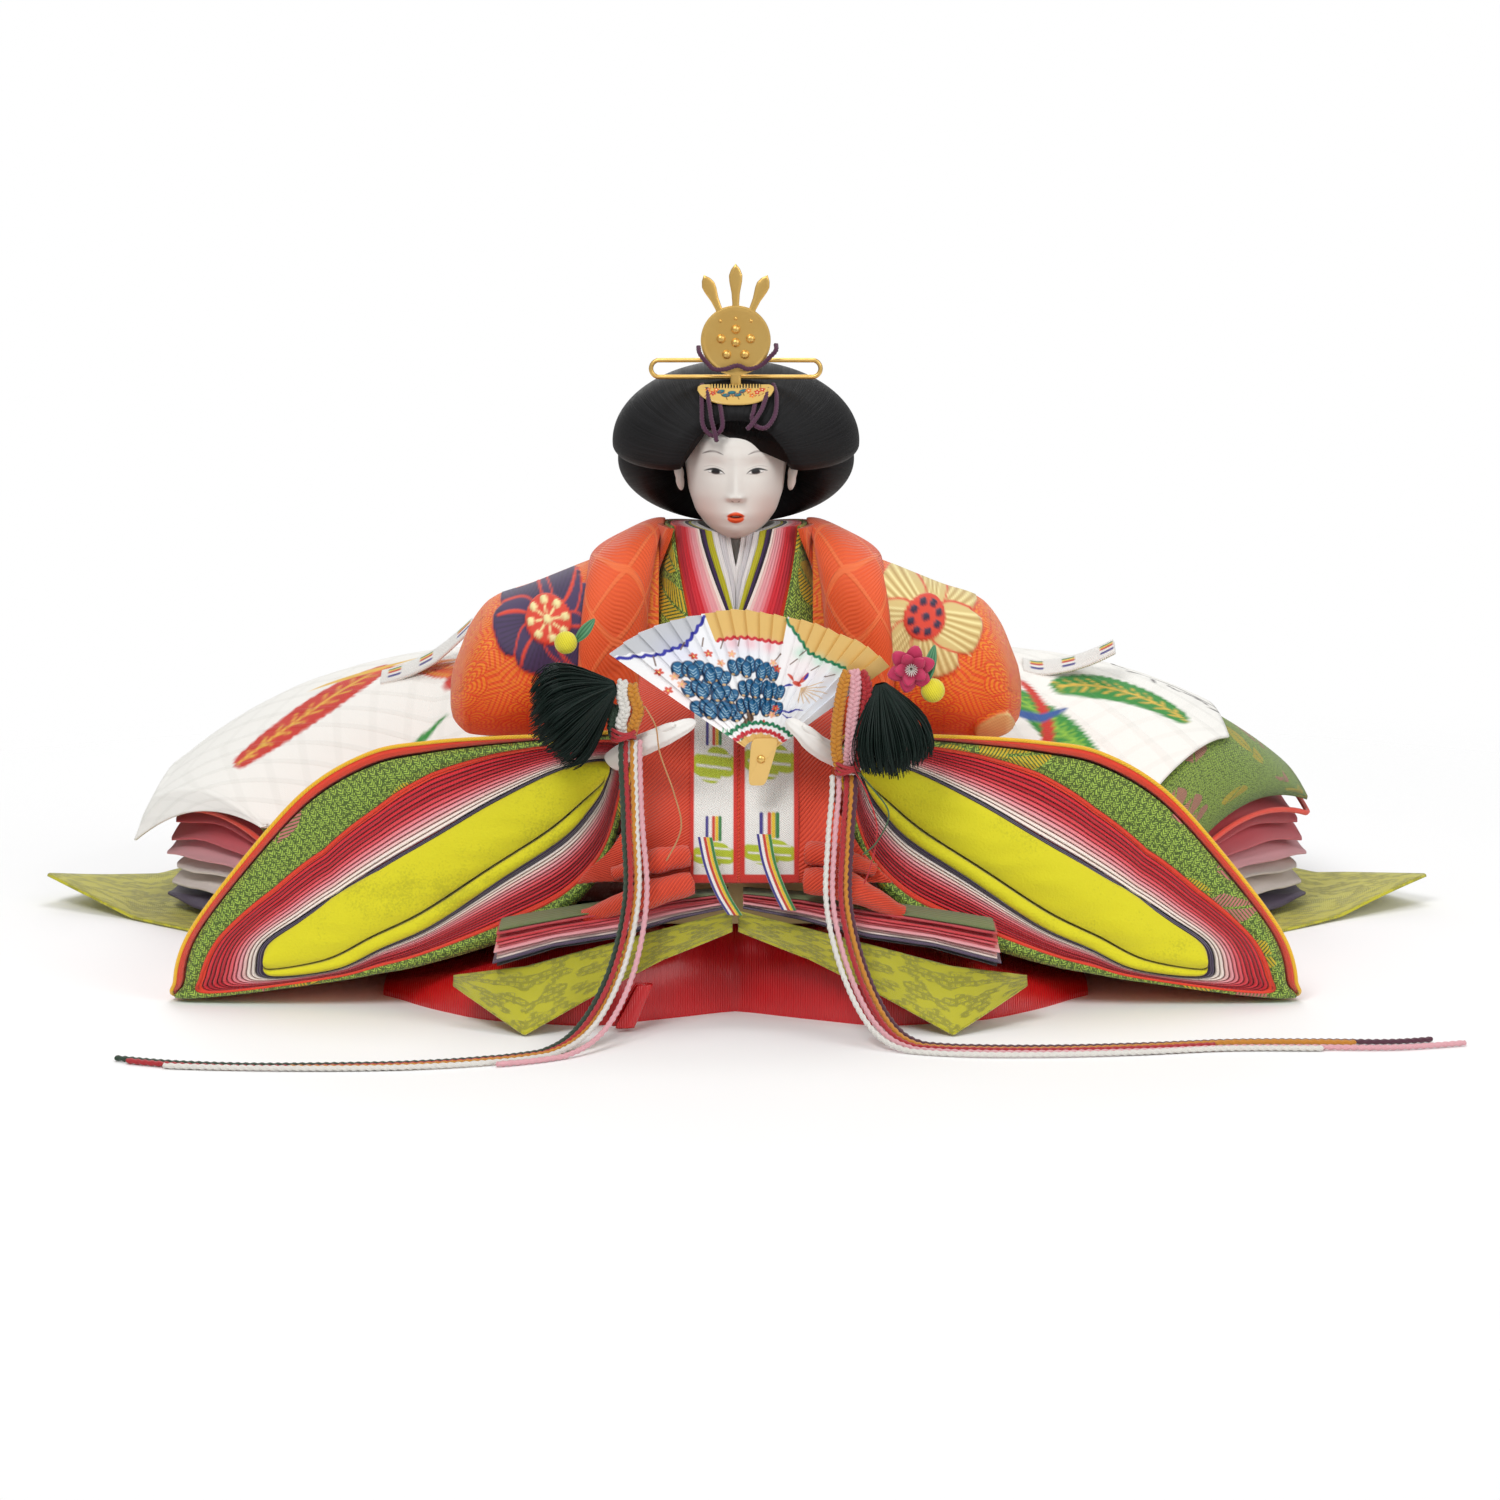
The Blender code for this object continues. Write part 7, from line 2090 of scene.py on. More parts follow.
COMB_GOLD = dye(222, 184, 100)
TEAL, TEAL_DARK, BLOSSOM_RED = dye(34, 116, 128), dye(22, 62, 80), dye(206, 40, 36)
bm = bmesh.new()
paint_layer = paint_of(bm)
made, shares = laid_grid(bm, 150, 50, comb_place)
art = Painting([(2 * s[0] - 1) * COMB_HALF_WIDTH for s in shares],
               [(v.co - COMB_FOOT).dot(COMB_UP) for v in made], COMB_GOLD)
art.soft = 0.00018
for k, (x, z) in enumerate(((-0.0030, 0.0034), (-0.0012, 0.0044), (0.0006, 0.0036), (-0.0046, 0.0048),
                            (0.0022, 0.0050))):
    art.oval(x, z, 0.0013, 0.0007, 0.1 * k, TEAL_DARK)
    art.oval(x, z + 0.00015, 0.0010, 0.0005, 0.1 * k, TEAL)
    art.stroke([(x, z - 0.0006), (x + 0.0004, z - 0.0016)], 0.00014, dye(90, 60, 30))
for k, (x, z) in enumerate(((0.0050, 0.0034), (0.0066, 0.0046), (0.0040, 0.0052), (-0.0070, 0.0042),
                            (-0.0060, 0.0056), (0.0082, 0.0056), (-0.0085, 0.0055))):
    colour = BLOSSOM_RED if k % 2 else dye(230, 120, 40)
    art.petals(x, z, 5, 0.0009, 0.0003, colour, 0.3 * k)
    art.oval(x, z, 0.0002, 0.0002, 0, dye(250, 240, 200))
for k in range(18):
    art.stroke([(-0.0095 + 0.0011 * k, 0.0030 + 0.0016 * math.sin(k * 2.7) ** 2),
                (-0.0090 + 0.0011 * k, 0.0034 + 0.0016 * math.sin(k * 2.7) ** 2)], 0.00012, dye(150, 60, 30))
for point, colour in zip(made, art.colour):
    point[paint_layer] = colour
for k in range(COMB_TEETH):
    x = COMB_HALF_WIDTH * 0.62 * (2 * k / (COMB_TEETH - 1) - 1)

    def tooth_place(around, along, x=x):
        wide = 0.00030 * (1 - 0.4 * along)
        return comb_at(x + (2 * around - 1) * wide, COMB_HEIGHT * (0.79 + 0.19 * along), COMB_THICKNESS * 0.3)

    for point in laid_grid(bm, 2, 4, tooth_place)[0]:
        point[paint_layer] = COMB_GOLD
for x_low, x_high in ((-1.0, -0.66), (0.66, 1.0)):
    def cheek_place(around, along, x_low=x_low, x_high=x_high):
        share = x_low + (x_high - x_low) * around
        tall = 0.79 + 0.17 * along * (1 - max(0.0, abs(share) - 0.9) * 6)
        return comb_at(COMB_HALF_WIDTH * share * 0.99, COMB_HEIGHT * tall, COMB_THICKNESS * 0.3)

    for point in laid_grid(bm, 8, 4, cheek_place)[0]:
        point[paint_layer] = COMB_GOLD
comb = finished("gold_comb", bm, comb_lacquer, "comb", smooth=50, wall=COMB_THICKNESS * 0.8, offset=-1.0)
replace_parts(comb, "comb")

# Crown cord: purple twisted cord round the crown's foot, tied above the comb, its loops and cut
# ends hanging over the hairline
PURPLE_CORD_RADIUS = 0.0008
PURPLE_PITCH = 0.0030
CROWN_CORD_LIFT = 0.0004
CROWN_CORD_ROUTE = ((-0.0104, 0.1842), (-0.0104, 0.1780), (-0.0101, 0.1725), (-0.0082, 0.1697), (-0.0061, 0.1694),
                    (-0.0041, 0.1719), (-0.0044, 0.1762), (-0.0050, -0.0150, 0.1812), (0.0, -0.0145, 0.1826),
                    (0.0058, -0.0150, 0.1812), (0.0056, 0.1768), (0.0050, 0.1747), (0.0061, 0.1722),
                    (0.0093, 0.1716), (0.0121, 0.1753),
                    (0.0126, 0.1808), (0.0115, 0.1842))
END_ROUTES = (((-0.0090, 0.1832), (-0.0080, 0.1780), (-0.0074, 0.1740), (-0.0064, 0.1700), (-0.0058, 0.1672)),
              ((0.0102, 0.1832), (0.0090, 0.1795), (0.0077, 0.1765), (0.0052, 0.1730), (0.0033, 0.1711)))
CROWN_FOOT_ROUTE = ((-0.0115, -0.0125, 0.1958), (-0.0110, -0.0150, 0.1936), (-0.0088, -0.0152, 0.1908),
                    (-0.0067, -0.0152, 0.1889), (-0.0033, -0.0152, 0.1889), (0.0006, -0.0152, 0.1900),
                    (0.0038, -0.0152, 0.1889), (0.0077, -0.0152, 0.1900), (0.0104, -0.0152, 0.1925),
                    (0.0124, -0.0150, 0.1947), (0.0124, -0.0125, 0.1964))


def hair_front_y(x, z):
    up = max(z, 0.1712) - HAIR_CENTRE.z
    inside = 1 - (x / HAIR_HALF.x) ** 2 - (up / HAIR_HALF.z) ** 2
    return HAIR_CENTRE.y - HAIR_HALF.y * math.sqrt(max(0.0, inside))


purple_cord = silk_cord("purple_twisted_cord", dye(84, 24, 66))
for k, route in enumerate((CROWN_CORD_ROUTE,) + END_ROUTES + (CROWN_FOOT_ROUTE,)):
    lift = PURPLE_CORD_RADIUS + CROWN_CORD_LIFT + (0.0010 if k else 0.0)
    points = even([place if len(place) == 3 else (place[0], hair_front_y(*place) - lift, place[1])
                   for place in route], PURPLE_PITCH / 10)
    bm = bmesh.new()
    rope(bm, points, PURPLE_CORD_RADIUS, 12, 3, PURPLE_PITCH, 0.26)
    facing_out(bm)
    piece = finished("crown_cord_%d" % k, bm, purple_cord, "head", smooth=180)
    if k == 0:
        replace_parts(piece, "crown_cord")
        tuple(points[0])
        round(run_length(points), 4)
        [tuple(p) for p in points[::8] + [points[-1]]]

# Hands: small white carved hands that hold the open fan, with grooves for the fingers
HAND_RADIUS = 0.0036
HAND_WHITE = dye(238, 235, 230)
HAND_SHARES = ((0.0, 1.0), (0.25, 0.92), (0.45, 1.0), (0.7, 0.92), (0.9, 0.66), (1.0, 0.35))
HAND_ROUTES = {
    "left": ((-0.0365, -0.0780, 0.0765), (-0.0330, -0.0835, 0.0800), (-0.0260, -0.0890, 0.0840),
             (-0.0180, -0.0925, 0.0880), (-0.0115, -0.0915, 0.0908)),
    "right": ((0.0365, -0.0780, 0.0750), (0.0310, -0.0835, 0.0785), (0.0240, -0.0895, 0.0835),
              (0.0195, -0.0926, 0.0880), (0.0150, -0.0915, 0.0912))}
for word, route in HAND_ROUTES.items():
    run = even(route, 0.0004)
    last_step = len(run) - 1

    def hand_place(around, along, run=run):
        i = round(along * last_step)
        ahead = (run[min(i + 1, last_step)] - run[max(i - 1, 0)]).normalized()
        out = Vector((0, -1, 0)) - ahead * -ahead.y
        out.normalize()
        up = ahead.cross(out)
        up = up if up.z > 0 else -up
        turn = 2 * math.pi * around
        c, s = math.cos(turn), math.sin(turn)
        size = HAND_RADIUS * between(HAND_SHARES, along)[0]
        groove = 0.10 * (0.5 + 0.5 * math.cos(turn * 7)) * min(1.0, along * 3) if c > -0.3 else 0.0
        tip = math.sqrt(max(0.0, 1 - max(0.0, (along - 0.94) / 0.06) ** 2))
        return run[i] + (out * c * 0.62 + up * s * 0.95) * size * (1 - groove) * max(tip, 0.05)

    bm = bmesh.new()
    laid_grid(bm, 84, last_step, hand_place, closed=True)
    thumb_from, thumb_to = run[round(last_step * 0.45)], run[round(last_step * 0.80)]
    thumb = even([tuple(thumb_from + Vector((0, -0.0010, 0.0020))), tuple(thumb_to + Vector((0, -0.0022, 0.0024)))],
                 0.0005)
    rope(bm, thumb, 0.0013, 14, girth=lambda t: math.sqrt(max(0.05, 1 - abs(2 * t - 1) ** 3)))
    sealed(bm)
    skin = paint_of(bm)
    for point in bm.verts:
        point[skin] = HAND_WHITE
    hand = finished("carved_hand_" + word, bm, gofun, "doll", smooth=180)
    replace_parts(hand, "hand_" + word)

# Fan: twenty white boards threaded and fixed open, their rim silver at the left and gold beyond,
# painted with a pine, plum blossom and a bird of the traditional kind
FAN_RIVET = Vector((0.0077, -0.0880, 0.0790))
FAN_LENGTH = 0.0500
FAN_ROOT = 0.0060
FAN_THICKNESS = 0.0010
FAN_BLADES = 20
FAN_FROM, FAN_TO = math.radians(145), math.radians(36)
FAN_RAISE = 0.0010
FAN_WHITE, FAN_SILVER, FAN_GOLD = dye(246, 246, 246), dye(196, 198, 202), dye(226, 186, 108)
FAN_BLUE, FAN_RED, FAN_GREEN = dye(44, 46, 160), dye(206, 42, 56), dye(20, 128, 84)
PINE, PINE_DARK, PINE_LIGHT = dye(14, 96, 142), dye(8, 44, 80), dye(176, 212, 226)
TRUNK, PLUM, PLUM_RED, STRAW = dye(104, 78, 60), dye(240, 180, 150), dye(214, 84, 66), dye(214, 176, 120)
MM = 0.001
# Rows: direction in degrees and how far the boards reach
FAN_REACH = ((36, 0.0470), (49.6, 0.0455), (58.2, 0.0437), (66.7, 0.0434), (78.8, 0.0428), (88, 0.0433),
             (99.4, 0.0451), (111.8, 0.0463), (122.4, 0.0487), (134.5, 0.0521), (145, 0.0545))


def fan_reach(turn):
    return float(np.interp(math.degrees(turn), [row[0] for row in FAN_REACH], [row[1] for row in FAN_REACH]))


def polar(degrees, reach):
    return (math.cos(math.radians(degrees)) * reach, math.sin(math.radians(degrees)) * reach)


def wavy(from_degrees, to_degrees, reach, pitch=3.2, swing=0.0007):
    """Scalloped line across the fan; reach is a function of the share along it."""
    count = 60
    points = []
    for k in range(count + 1):
        share = k / count
        degrees = from_degrees + (to_degrees - from_degrees) * share
        wave = abs(math.sin(math.pi * (degrees / pitch))) * swing
        points.append(polar(degrees, reach(share) - wave))
    return points


def pine_clump(art, x, y, half, seed):
    """Cloud of upright needles: rounded teal lobes with light herringbone lines."""
    pick = random.Random(seed)
    lobes = [(-0.82, -0.10, 1.9), (-0.50, 0.20, 1.75), (0.84, -0.12, 1.2), (0.52, 0.18, 1.35), (-0.14, 0.52, 1.65),
             (0.22, 0.40, 1.5), (-0.30, -0.15, 1.7), (0.30, -0.18, 1.4)]
    for across, up, turn in lobes:
        lobe_x, lobe_y = x + across * half, y + up * half * 0.40
        turn += pick.uniform(-0.15, 0.15)
        art.oval(lobe_x, lobe_y, 2.9 * MM, 1.8 * MM, turn, PINE_DARK, 0.0, 2.3)
        art.oval(lobe_x + 0.1 * MM, lobe_y + 0.2 * MM, 2.5 * MM, 1.4 * MM, turn, PINE, 0.0, 2.3)
        aim = (math.cos(turn), math.sin(turn))
        for step in (-1.4, -0.4, 0.6):
            for side in (-1, 1):
                foot = (lobe_x + aim[0] * step * MM, lobe_y + aim[1] * step * MM)
                lean = turn + side * 0.85
                art.stroke([foot, (foot[0] + math.cos(lean) * 1.2 * MM, foot[1] + math.sin(lean) * 1.2 * MM)],
                           0.00009, PINE_LIGHT)
        art.oval(lobe_x, lobe_y - 2.2 * MM, 0.5 * MM, 0.4 * MM, 0, STRAW)


def paint_fan(art):
    art.soft = 0.00022
    for k, (x, y) in enumerate(((-20, 15), (-8, 36), (16, 34), (20, 20))):
        art.blot(x * MM, y * MM, 9 * MM, dye(236, 240, 248) if k % 2 else dye(250, 238, 238), 0.8)
    away = np.hypot(art.x, art.y)
    angle = np.degrees(np.arctan2(art.y, art.x))
    silver_edge = FAN_LENGTH - 0.0078 * np.clip((146 - angle) / 14, 0, 1) * np.clip((angle - 111) / 12, 0, 1) ** 0.8
    scallop = np.abs(np.sin(np.pi * angle / 3.2)) * 0.0007
    art.cover(art.inside(away - silver_edge + scallop) * (angle > 112.4), FAN_SILVER)
    art.blot(*polar(128, 0.0395), 0.006, dye(190, 196, 236), 0.35)
    gold_edge = FAN_LENGTH - 0.0086
    art.cover(art.inside(away - gold_edge + scallop) * (angle < 111.0) * (angle > 79.5), FAN_GOLD)
    right_edge = FAN_LENGTH - 0.0095 * np.clip((80 - angle) / 14, 0, 1)
    art.cover(art.inside(away - right_edge + scallop) * (angle < 79.0), FAN_GOLD)
    for degrees in (86, 95, 104):
        art.blot(*polar(degrees, 0.0392), 0.0022, dye(244, 176, 186), 0.6)
    for degrees in (50, 60, 70):
        art.blot(*polar(degrees, 0.0392), 0.0022, dye(180, 232, 206), 0.6)
    art.stroke(wavy(146, 134, lambda s: FAN_LENGTH - 0.0078 * s ** 0.7), 0.00050, FAN_BLUE)
    art.stroke(wavy(134, 123, lambda s: FAN_LENGTH - 0.0078), 0.00050, FAN_BLUE)
    art.stroke(wavy(123, 111.5, lambda s: FAN_LENGTH - 0.0078 * (1 - s) ** 0.8), 0.00050, FAN_BLUE)
    art.stroke(wavy(110, 80, lambda s: gold_edge), 0.00050, FAN_RED)
    art.stroke(wavy(79.5, 66, lambda s: FAN_LENGTH - 0.0095 * s ** 0.8), 0.00050, FAN_GREEN)
    art.stroke(wavy(66, 35, lambda s: FAN_LENGTH - 0.0095), 0.00050, FAN_GREEN)
    art.stroke([(-4.5 * MM, 4 * MM), (-6.2 * MM, 9 * MM), (-3.2 * MM, 13 * MM), (-4.5 * MM, 17 * MM)],
               0.0010, TRUNK, 0.3)
    art.stroke([(-3.4 * MM, 13 * MM), (0.5 * MM, 19 * MM), (2.0 * MM, 22.5 * MM)], 0.0007, TRUNK, 0.5)
    art.stroke([(-4.5 * MM, 12 * MM), (-10 * MM, 19 * MM), (-15 * MM, 22 * MM)], 0.0006, TRUNK, 0.5)
    for x, y in ((-5.8, 8.6), (-2.6, 10.5), (-1.6, 5.8)):
        art.oval(x * MM, y * MM, 1.1 * MM, 0.8 * MM, 0.6, dye(96, 120, 130))
        art.oval(x * MM, y * MM, 0.6 * MM, 0.4 * MM, 0.6, FAN_WHITE)
    for k, (x, y, half) in enumerate(((-12.5, 14.2, 6.2), (-0.4, 17.2, 7.0), (-15.0, 20.4, 6.8), (0.2, 23.4, 7.2),
                                      (-17.8, 26.2, 7.4), (-2.4, 30.2, 8.0))):
        pine_clump(art, x * MM, y * MM, half * MM, k)
    for k, (x, y) in enumerate(((-28.5, 24.5), (-24.5, 23.6), (-25.5, 19), (-22.4, 21.4), (-20.5, 31.6), (-12.8, 31),
                                (-16.5, 33.5), (4.2, 33.6), (5.6, 31.6), (3.6, 14.8), (0.6, 11.6), (-0.6, 9.0),
                                (4.8, 17.2), (-9.5, 34.5))):
        colour = PLUM if k % 2 else PLUM_RED
        art.petals(x * MM, y * MM, 5, 0.0012, 0.00042, colour, 0.5 * k)
        art.oval(x * MM, y * MM, 0.00024, 0.00024, 0, dye(240, 210, 90))
    for k, (x, y, turn) in enumerate(((-18.4, 35.6, 1.5), (-13.0, 36.0, 1.3), (-24.0, 33.0, 1.3), (5.0, 34.5, 0.9),
                                      (10.0, 33.0, 0.6), (-7.5, 37.5, 1.4), (17.0, 30.5, 0.5), (13.2, 35.8, 0.7),
                                      (21.0, 27.5, 0.1), (-29.5, 26.5, 1.9))):
        art.stroke(bent(x * MM, y * MM, turn, 0.0030, 0.0, 3), 0.00020, dye(120, 96, 84))
    art.oval(12.2 * MM, 26.0 * MM, 1.6 * MM, 0.8 * MM, -0.5, PLUM_RED)
    art.stroke(bent(11.0 * MM, 27.2 * MM, 1.9, 0.0030, 0.5, 4), 0.0005, PLUM_RED, 0.6)
    art.stroke(bent(13.2 * MM, 26.4 * MM, 0.5, 0.0042, 0.6, 4), 0.0007, PLUM_RED, 0.6)
    art.stroke(bent(14.6 * MM, 27.4 * MM, 0.6, 0.0026, 0.6, 4), 0.0005, FAN_BLUE, 0.6)
    art.stroke(bent(10.8 * MM, 25.6 * MM, 2.9, 0.0030, 0.5, 4), 0.0004, FAN_BLUE, 0.6)
    for k in range(8):
        art.stroke(bent(13.6 * MM, 24.4 * MM, 0.15 - 0.28 * k, 0.0082 - 0.0006 * abs(k - 2), 0.05, 3),
                   0.00016, STRAW, 0.4)
    art.stroke([(5.5 * MM, 15.2 * MM), (7.2 * MM, 16.2 * MM), (9.2 * MM, 15.6 * MM), (11.4 * MM, 16.6 * MM),
                (13.6 * MM, 16.0 * MM)], 0.00034, FAN_BLUE, 0.6)
    art.stroke([(7.0 * MM, 15.0 * MM), (8.6 * MM, 13.6 * MM), (10.0 * MM, 13.8 * MM)], 0.00026, FAN_BLUE, 0.6)
    for k in range(9):
        art.stroke(bent((-11 + 1.3 * k) * MM, (6.4 - 0.25 * k) * MM, 1.2 + 0.1 * (k % 3), 0.0026, 0.4, 3),
                   0.00018, dye(70, 170, 110), 0.6)
    away = np.hypot(art.x, art.y)
    art.stroke(wavy(150, 30, lambda s: 0.0122, 9.0, 0.0009), 0.00050, FAN_GREEN)
    art.stroke(wavy(150, 30, lambda s: 0.0108, 9.0, 0.0009), 0.00050, FAN_WHITE)
    art.stroke(wavy(150, 30, lambda s: 0.0096, 9.0, 0.0009), 0.00050, FAN_RED)
    art.cover(art.inside(0.0084 - away - np.abs(np.sin(np.radians(angle) * 10)) * 0.0006), FAN_GOLD)
    art.cover(art.inside(-art.y), FAN_GOLD)


fan_board = Finish("painted_fan_board", FAN_WHITE, 0.5, Coat_Weight=0.1, Coat_Roughness=0.3)
fan_dyed = fan_board.painted()
fan_mist = fan_board.cloud(fan_board.node("TexCoord", output="Object"), 600.0)
fan_board.feed("Base Color", fan_board.blend(
    fan_mist * 0.12, fan_dyed, fan_board.deeper(1.0, fan_dyed, (0.8, 0.8, 0.8))))
fan_board.relief(fan_mist, 0.00004)

bm = bmesh.new()
blade_spread = (FAN_FROM - FAN_TO) / FAN_BLADES
for k in range(FAN_BLADES):
    first_turn = FAN_FROM - blade_spread * k

    def blade_place(across, along, first_turn=first_turn, k=k):
        turn = first_turn - blade_spread * across
        reach = FAN_ROOT + (fan_reach(turn) - FAN_ROOT) * along
        chord = math.cos(blade_spread / 2) / math.cos(blade_spread * (across - 0.5))
        step = 0.0004 * (1 - across) * along
        reach = reach * (1 - along + along * chord) + step
        raised = FAN_RAISE * (1 - across) * min(1.0, reach / 0.02) + 0.0001 * math.sin(k * 1.7)
        return FAN_RIVET + Vector((math.cos(turn) * reach, -FAN_THICKNESS / 2 - raised, math.sin(turn) * reach))

    laid_grid(bm, 20, 170, blade_place, (0.005, 0.044))
rim = [edge for edge in bm.edges if edge.is_boundary]
walls = bmesh.ops.extrude_edge_only(bm, edges=rim)["geom"]
for point in (item for item in walls if isinstance(item, bmesh.types.BMVert)):
    point.co.y = FAN_RIVET.y + FAN_THICKNESS / 2


def tail_block_place(around, along):
    """Block that holds the boards' roots: narrow below the rivet and wider above it."""
    turn = 2 * math.pi * around
    c, s = math.cos(turn), math.sin(turn)
    square = 0.35
    low, high = -0.0080, 0.0062
    middle, half = (low + high) / 2, (high - low) / 2
    z = middle + half * math.copysign(abs(s) ** square, s)
    half_wide = 0.0026 + 0.0016 * min(1.0, max(0.0, (z - low) / (high - low)))
    lean = 0.18 * (z - middle)
    shrink = 0.02 + 0.98 * math.sin(math.pi * min(along, 1 - along) * 3) if min(along, 1 - along) < 1 / 6 else 1.0
    return FAN_RIVET + Vector((half_wide * math.copysign(abs(c) ** square, c) * shrink + lean,
                               -0.0016 + 0.0028 * along, middle + (z - middle) * shrink))


laid_grid(bm, 64, 18, tail_block_place, closed=True)
bmesh.ops.recalc_face_normals(bm, faces=bm.faces)
painted_at = []
for point in bm.verts:
    x, z = point.co.x - FAN_RIVET.x, point.co.z - FAN_RIVET.z
    full = FAN_LENGTH / fan_reach(math.atan2(z, x)) if z > 0 else 1.0
    grown = 1 + (full - 1) * min(1.0, math.hypot(x, z) / 0.02)
    painted_at.append((x * grown, z * grown))
fan_art = Painting([place[0] for place in painted_at], [place[1] for place in painted_at], FAN_WHITE)
paint_fan(fan_art)
fan = finished("painted_fan", bm, fan_board, "fan", smooth=35, paint=fan_art.colour)
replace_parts(fan, "fan")


def rivet_place(around, along):
    turn, rise = 2 * math.pi * around, math.pi / 2 * along
    return FAN_RIVET + Vector((0.0013 * math.cos(turn) * math.cos(rise), -0.0014 - 0.0009 * math.sin(rise),
                               0.0013 * math.sin(turn) * math.cos(rise)))


bm = bmesh.new()
laid_grid(bm, 24, 8, rivet_place, closed=True)
sealed(bm)
rivet = finished("gilt_rivet", bm, gilt, "fan", smooth=60)
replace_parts(rivet, "fan_rivet")

# Braids on the fan's ends: three plaited silk cords a side, folded over at the top and bound in red
# below, where the hanging cords leave
BRAID_PITCH = 0.0044
BRAID_STRAND = 0.00085
BRAID_SWING = 0.0011
BRAIDS = {
    "left": ("fan_braids_left", (
        ("green", ((-0.0355, -0.0925, 0.0860), (-0.0362, -0.0926, 0.0890), (-0.0358, -0.0926, 0.0925),
                   (-0.0350, -0.0915, 0.0955))),
        ("white", ((-0.0330, -0.0930, 0.0868), (-0.0338, -0.0936, 0.0905), (-0.0326, -0.0938, 0.0945),
                   (-0.0336, -0.0930, 0.0990), (-0.0330, -0.0915, 0.1030))),
        ("gold", ((-0.0310, -0.0930, 0.0868), (-0.0298, -0.0938, 0.0905), (-0.0286, -0.0938, 0.0945),
                  (-0.0300, -0.0930, 0.0985), (-0.0306, -0.0915, 0.1020))))),
    "right": ("fan_braids_right", (
        ("gold", ((0.0312, -0.0932, 0.0768), (0.0300, -0.0940, 0.0830), (0.0304, -0.0942, 0.0920),
                  (0.0318, -0.0938, 0.1010), (0.0335, -0.0920, 0.1058))),
        ("pink", ((0.0334, -0.0932, 0.0768), (0.0340, -0.0942, 0.0830), (0.0346, -0.0944, 0.0920),
                  (0.0356, -0.0938, 0.1010), (0.0352, -0.0920, 0.1062))),
        ("red", ((0.0352, -0.0928, 0.0780), (0.0366, -0.0934, 0.0840), (0.0382, -0.0934, 0.0925),
                 (0.0390, -0.0928, 0.1005), (0.0372, -0.0915, 0.1056)))))}
for side_word, (piece_name, braids) in BRAIDS.items():
    for k, (cord_dye, route) in enumerate(braids):
        bm = bmesh.new()
        line = even(route, BRAID_PITCH / 14)
        for strand_index in range(3):
            points = []
            for i, point in enumerate(line):
                turn = 2 * math.pi * (i / 14 + strand_index / 3)
                ahead = (line[min(i + 1, len(line) - 1)] - line[max(i - 1, 0)]).normalized()
                aside = ahead.cross(Vector((0, -1, 0))).normalized()
                points.append(point + aside * BRAID_SWING * math.sin(turn)
                              + Vector((0, -1, 0)) * BRAID_STRAND * 0.62 * math.sin(2 * turn))
            rope(bm, points, BRAID_STRAND, 10, 2, 0.0026, 0.22)
        facing_out(bm)
        braid = finished("%s_%s" % (piece_name, cord_dye), bm, cord_finishes[cord_dye], "fan", smooth=180)
        if k == 1:
            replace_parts(braid, "knot_" + side_word)
    foot = Vector(braids[1][1][0])
    bm = bmesh.new()
    for turn_index in range(3):
        ring = [foot + Vector((0.0034 * math.cos(t), -0.0024 * math.sin(t) - 0.0004,
                               -0.0008 + 0.0010 * turn_index + 0.0006 * math.sin(t * 2 + turn_index)))
                for t in (2 * math.pi * i / 40 for i in range(41))]
        rope(bm, ring, 0.00055, 8)
    facing_out(bm)
    finished("fan_binding_" + side_word, bm, cord_finishes["red"], "fan", smooth=180)

# Tassels: loose green-black silk floss bound at the fan's ends, with a silk ball, a leaf and, at
# the right, a crimson blossom
FLOSS_RADIUS = 0.00022
FLOSS_DYE = dye(5, 20, 16)
floss = Finish("green_black_floss", FLOSS_DYE, 0.5, Specular_IOR_Level=0.3)
floss_tone = floss.cloud(floss.node("TexCoord", output="Object"), 700.0)
floss.feed("Base Color", floss.blend(floss_tone, dye(3, 13, 11), dye(9, 38, 29)))


def floss_place(points, radius):
    frames = axes_along(points)
    last = len(points) - 1

    def place(around, along):
        i = round(along * last)
        side, up = frames[i]
        turn = 2 * math.pi * around
        thin = 1 - 0.4 * along
        return points[i] + (side * math.cos(turn) + up * math.sin(turn)) * radius * thin
    return place


def tassel(word, anchor, aim, length, spread, count, seed):
    pick = random.Random(seed)
    bm = bmesh.new()
    aim = Vector(aim).normalized()
    aside = aim.orthogonal().normalized()
    third = aim.cross(aside)
    for k in range(count):
        turn, away = pick.uniform(0, 2 * math.pi), math.sqrt(pick.uniform(0.0, 1.0))
        lean = (aside * math.cos(turn) + third * math.sin(turn)) * away
        start = Vector(anchor) + lean * 0.0016
        reach = length * pick.uniform(0.86, 1.04)
        bend = pick.uniform(-0.2, 0.2)
        points = []
        for i in range(8):
            t = i / 7
            open_out = math.sin(t * math.pi * 0.62) * spread * length
            point = start + aim * reach * t * (1 - 0.25 * away * t) + lean * open_out * (0.9 + 0.2 * bend)
            point += Vector((0, 0, -0.0040)) * t * t + third * bend * 0.003 * math.sin(t * 3)
            points.append(point)
        laid_grid(bm, 4, 7, floss_place(points, FLOSS_RADIUS * pick.uniform(0.8, 1.3)), closed=True, merge=1e-7)
    facing = finished("floss_tassel_" + word, bm, floss, "fan", smooth=180)
    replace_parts(facing, "tassel_" + word)


tassel("left", (-0.0355, -0.0930, 0.1015), (-1.0, 0.05, -0.42), 0.0275, 0.56, 900, 3)
tassel("right", (0.0430, -0.0925, 0.1020), (0.22, 0.05, -1.0), 0.0255, 0.50, 900, 8)

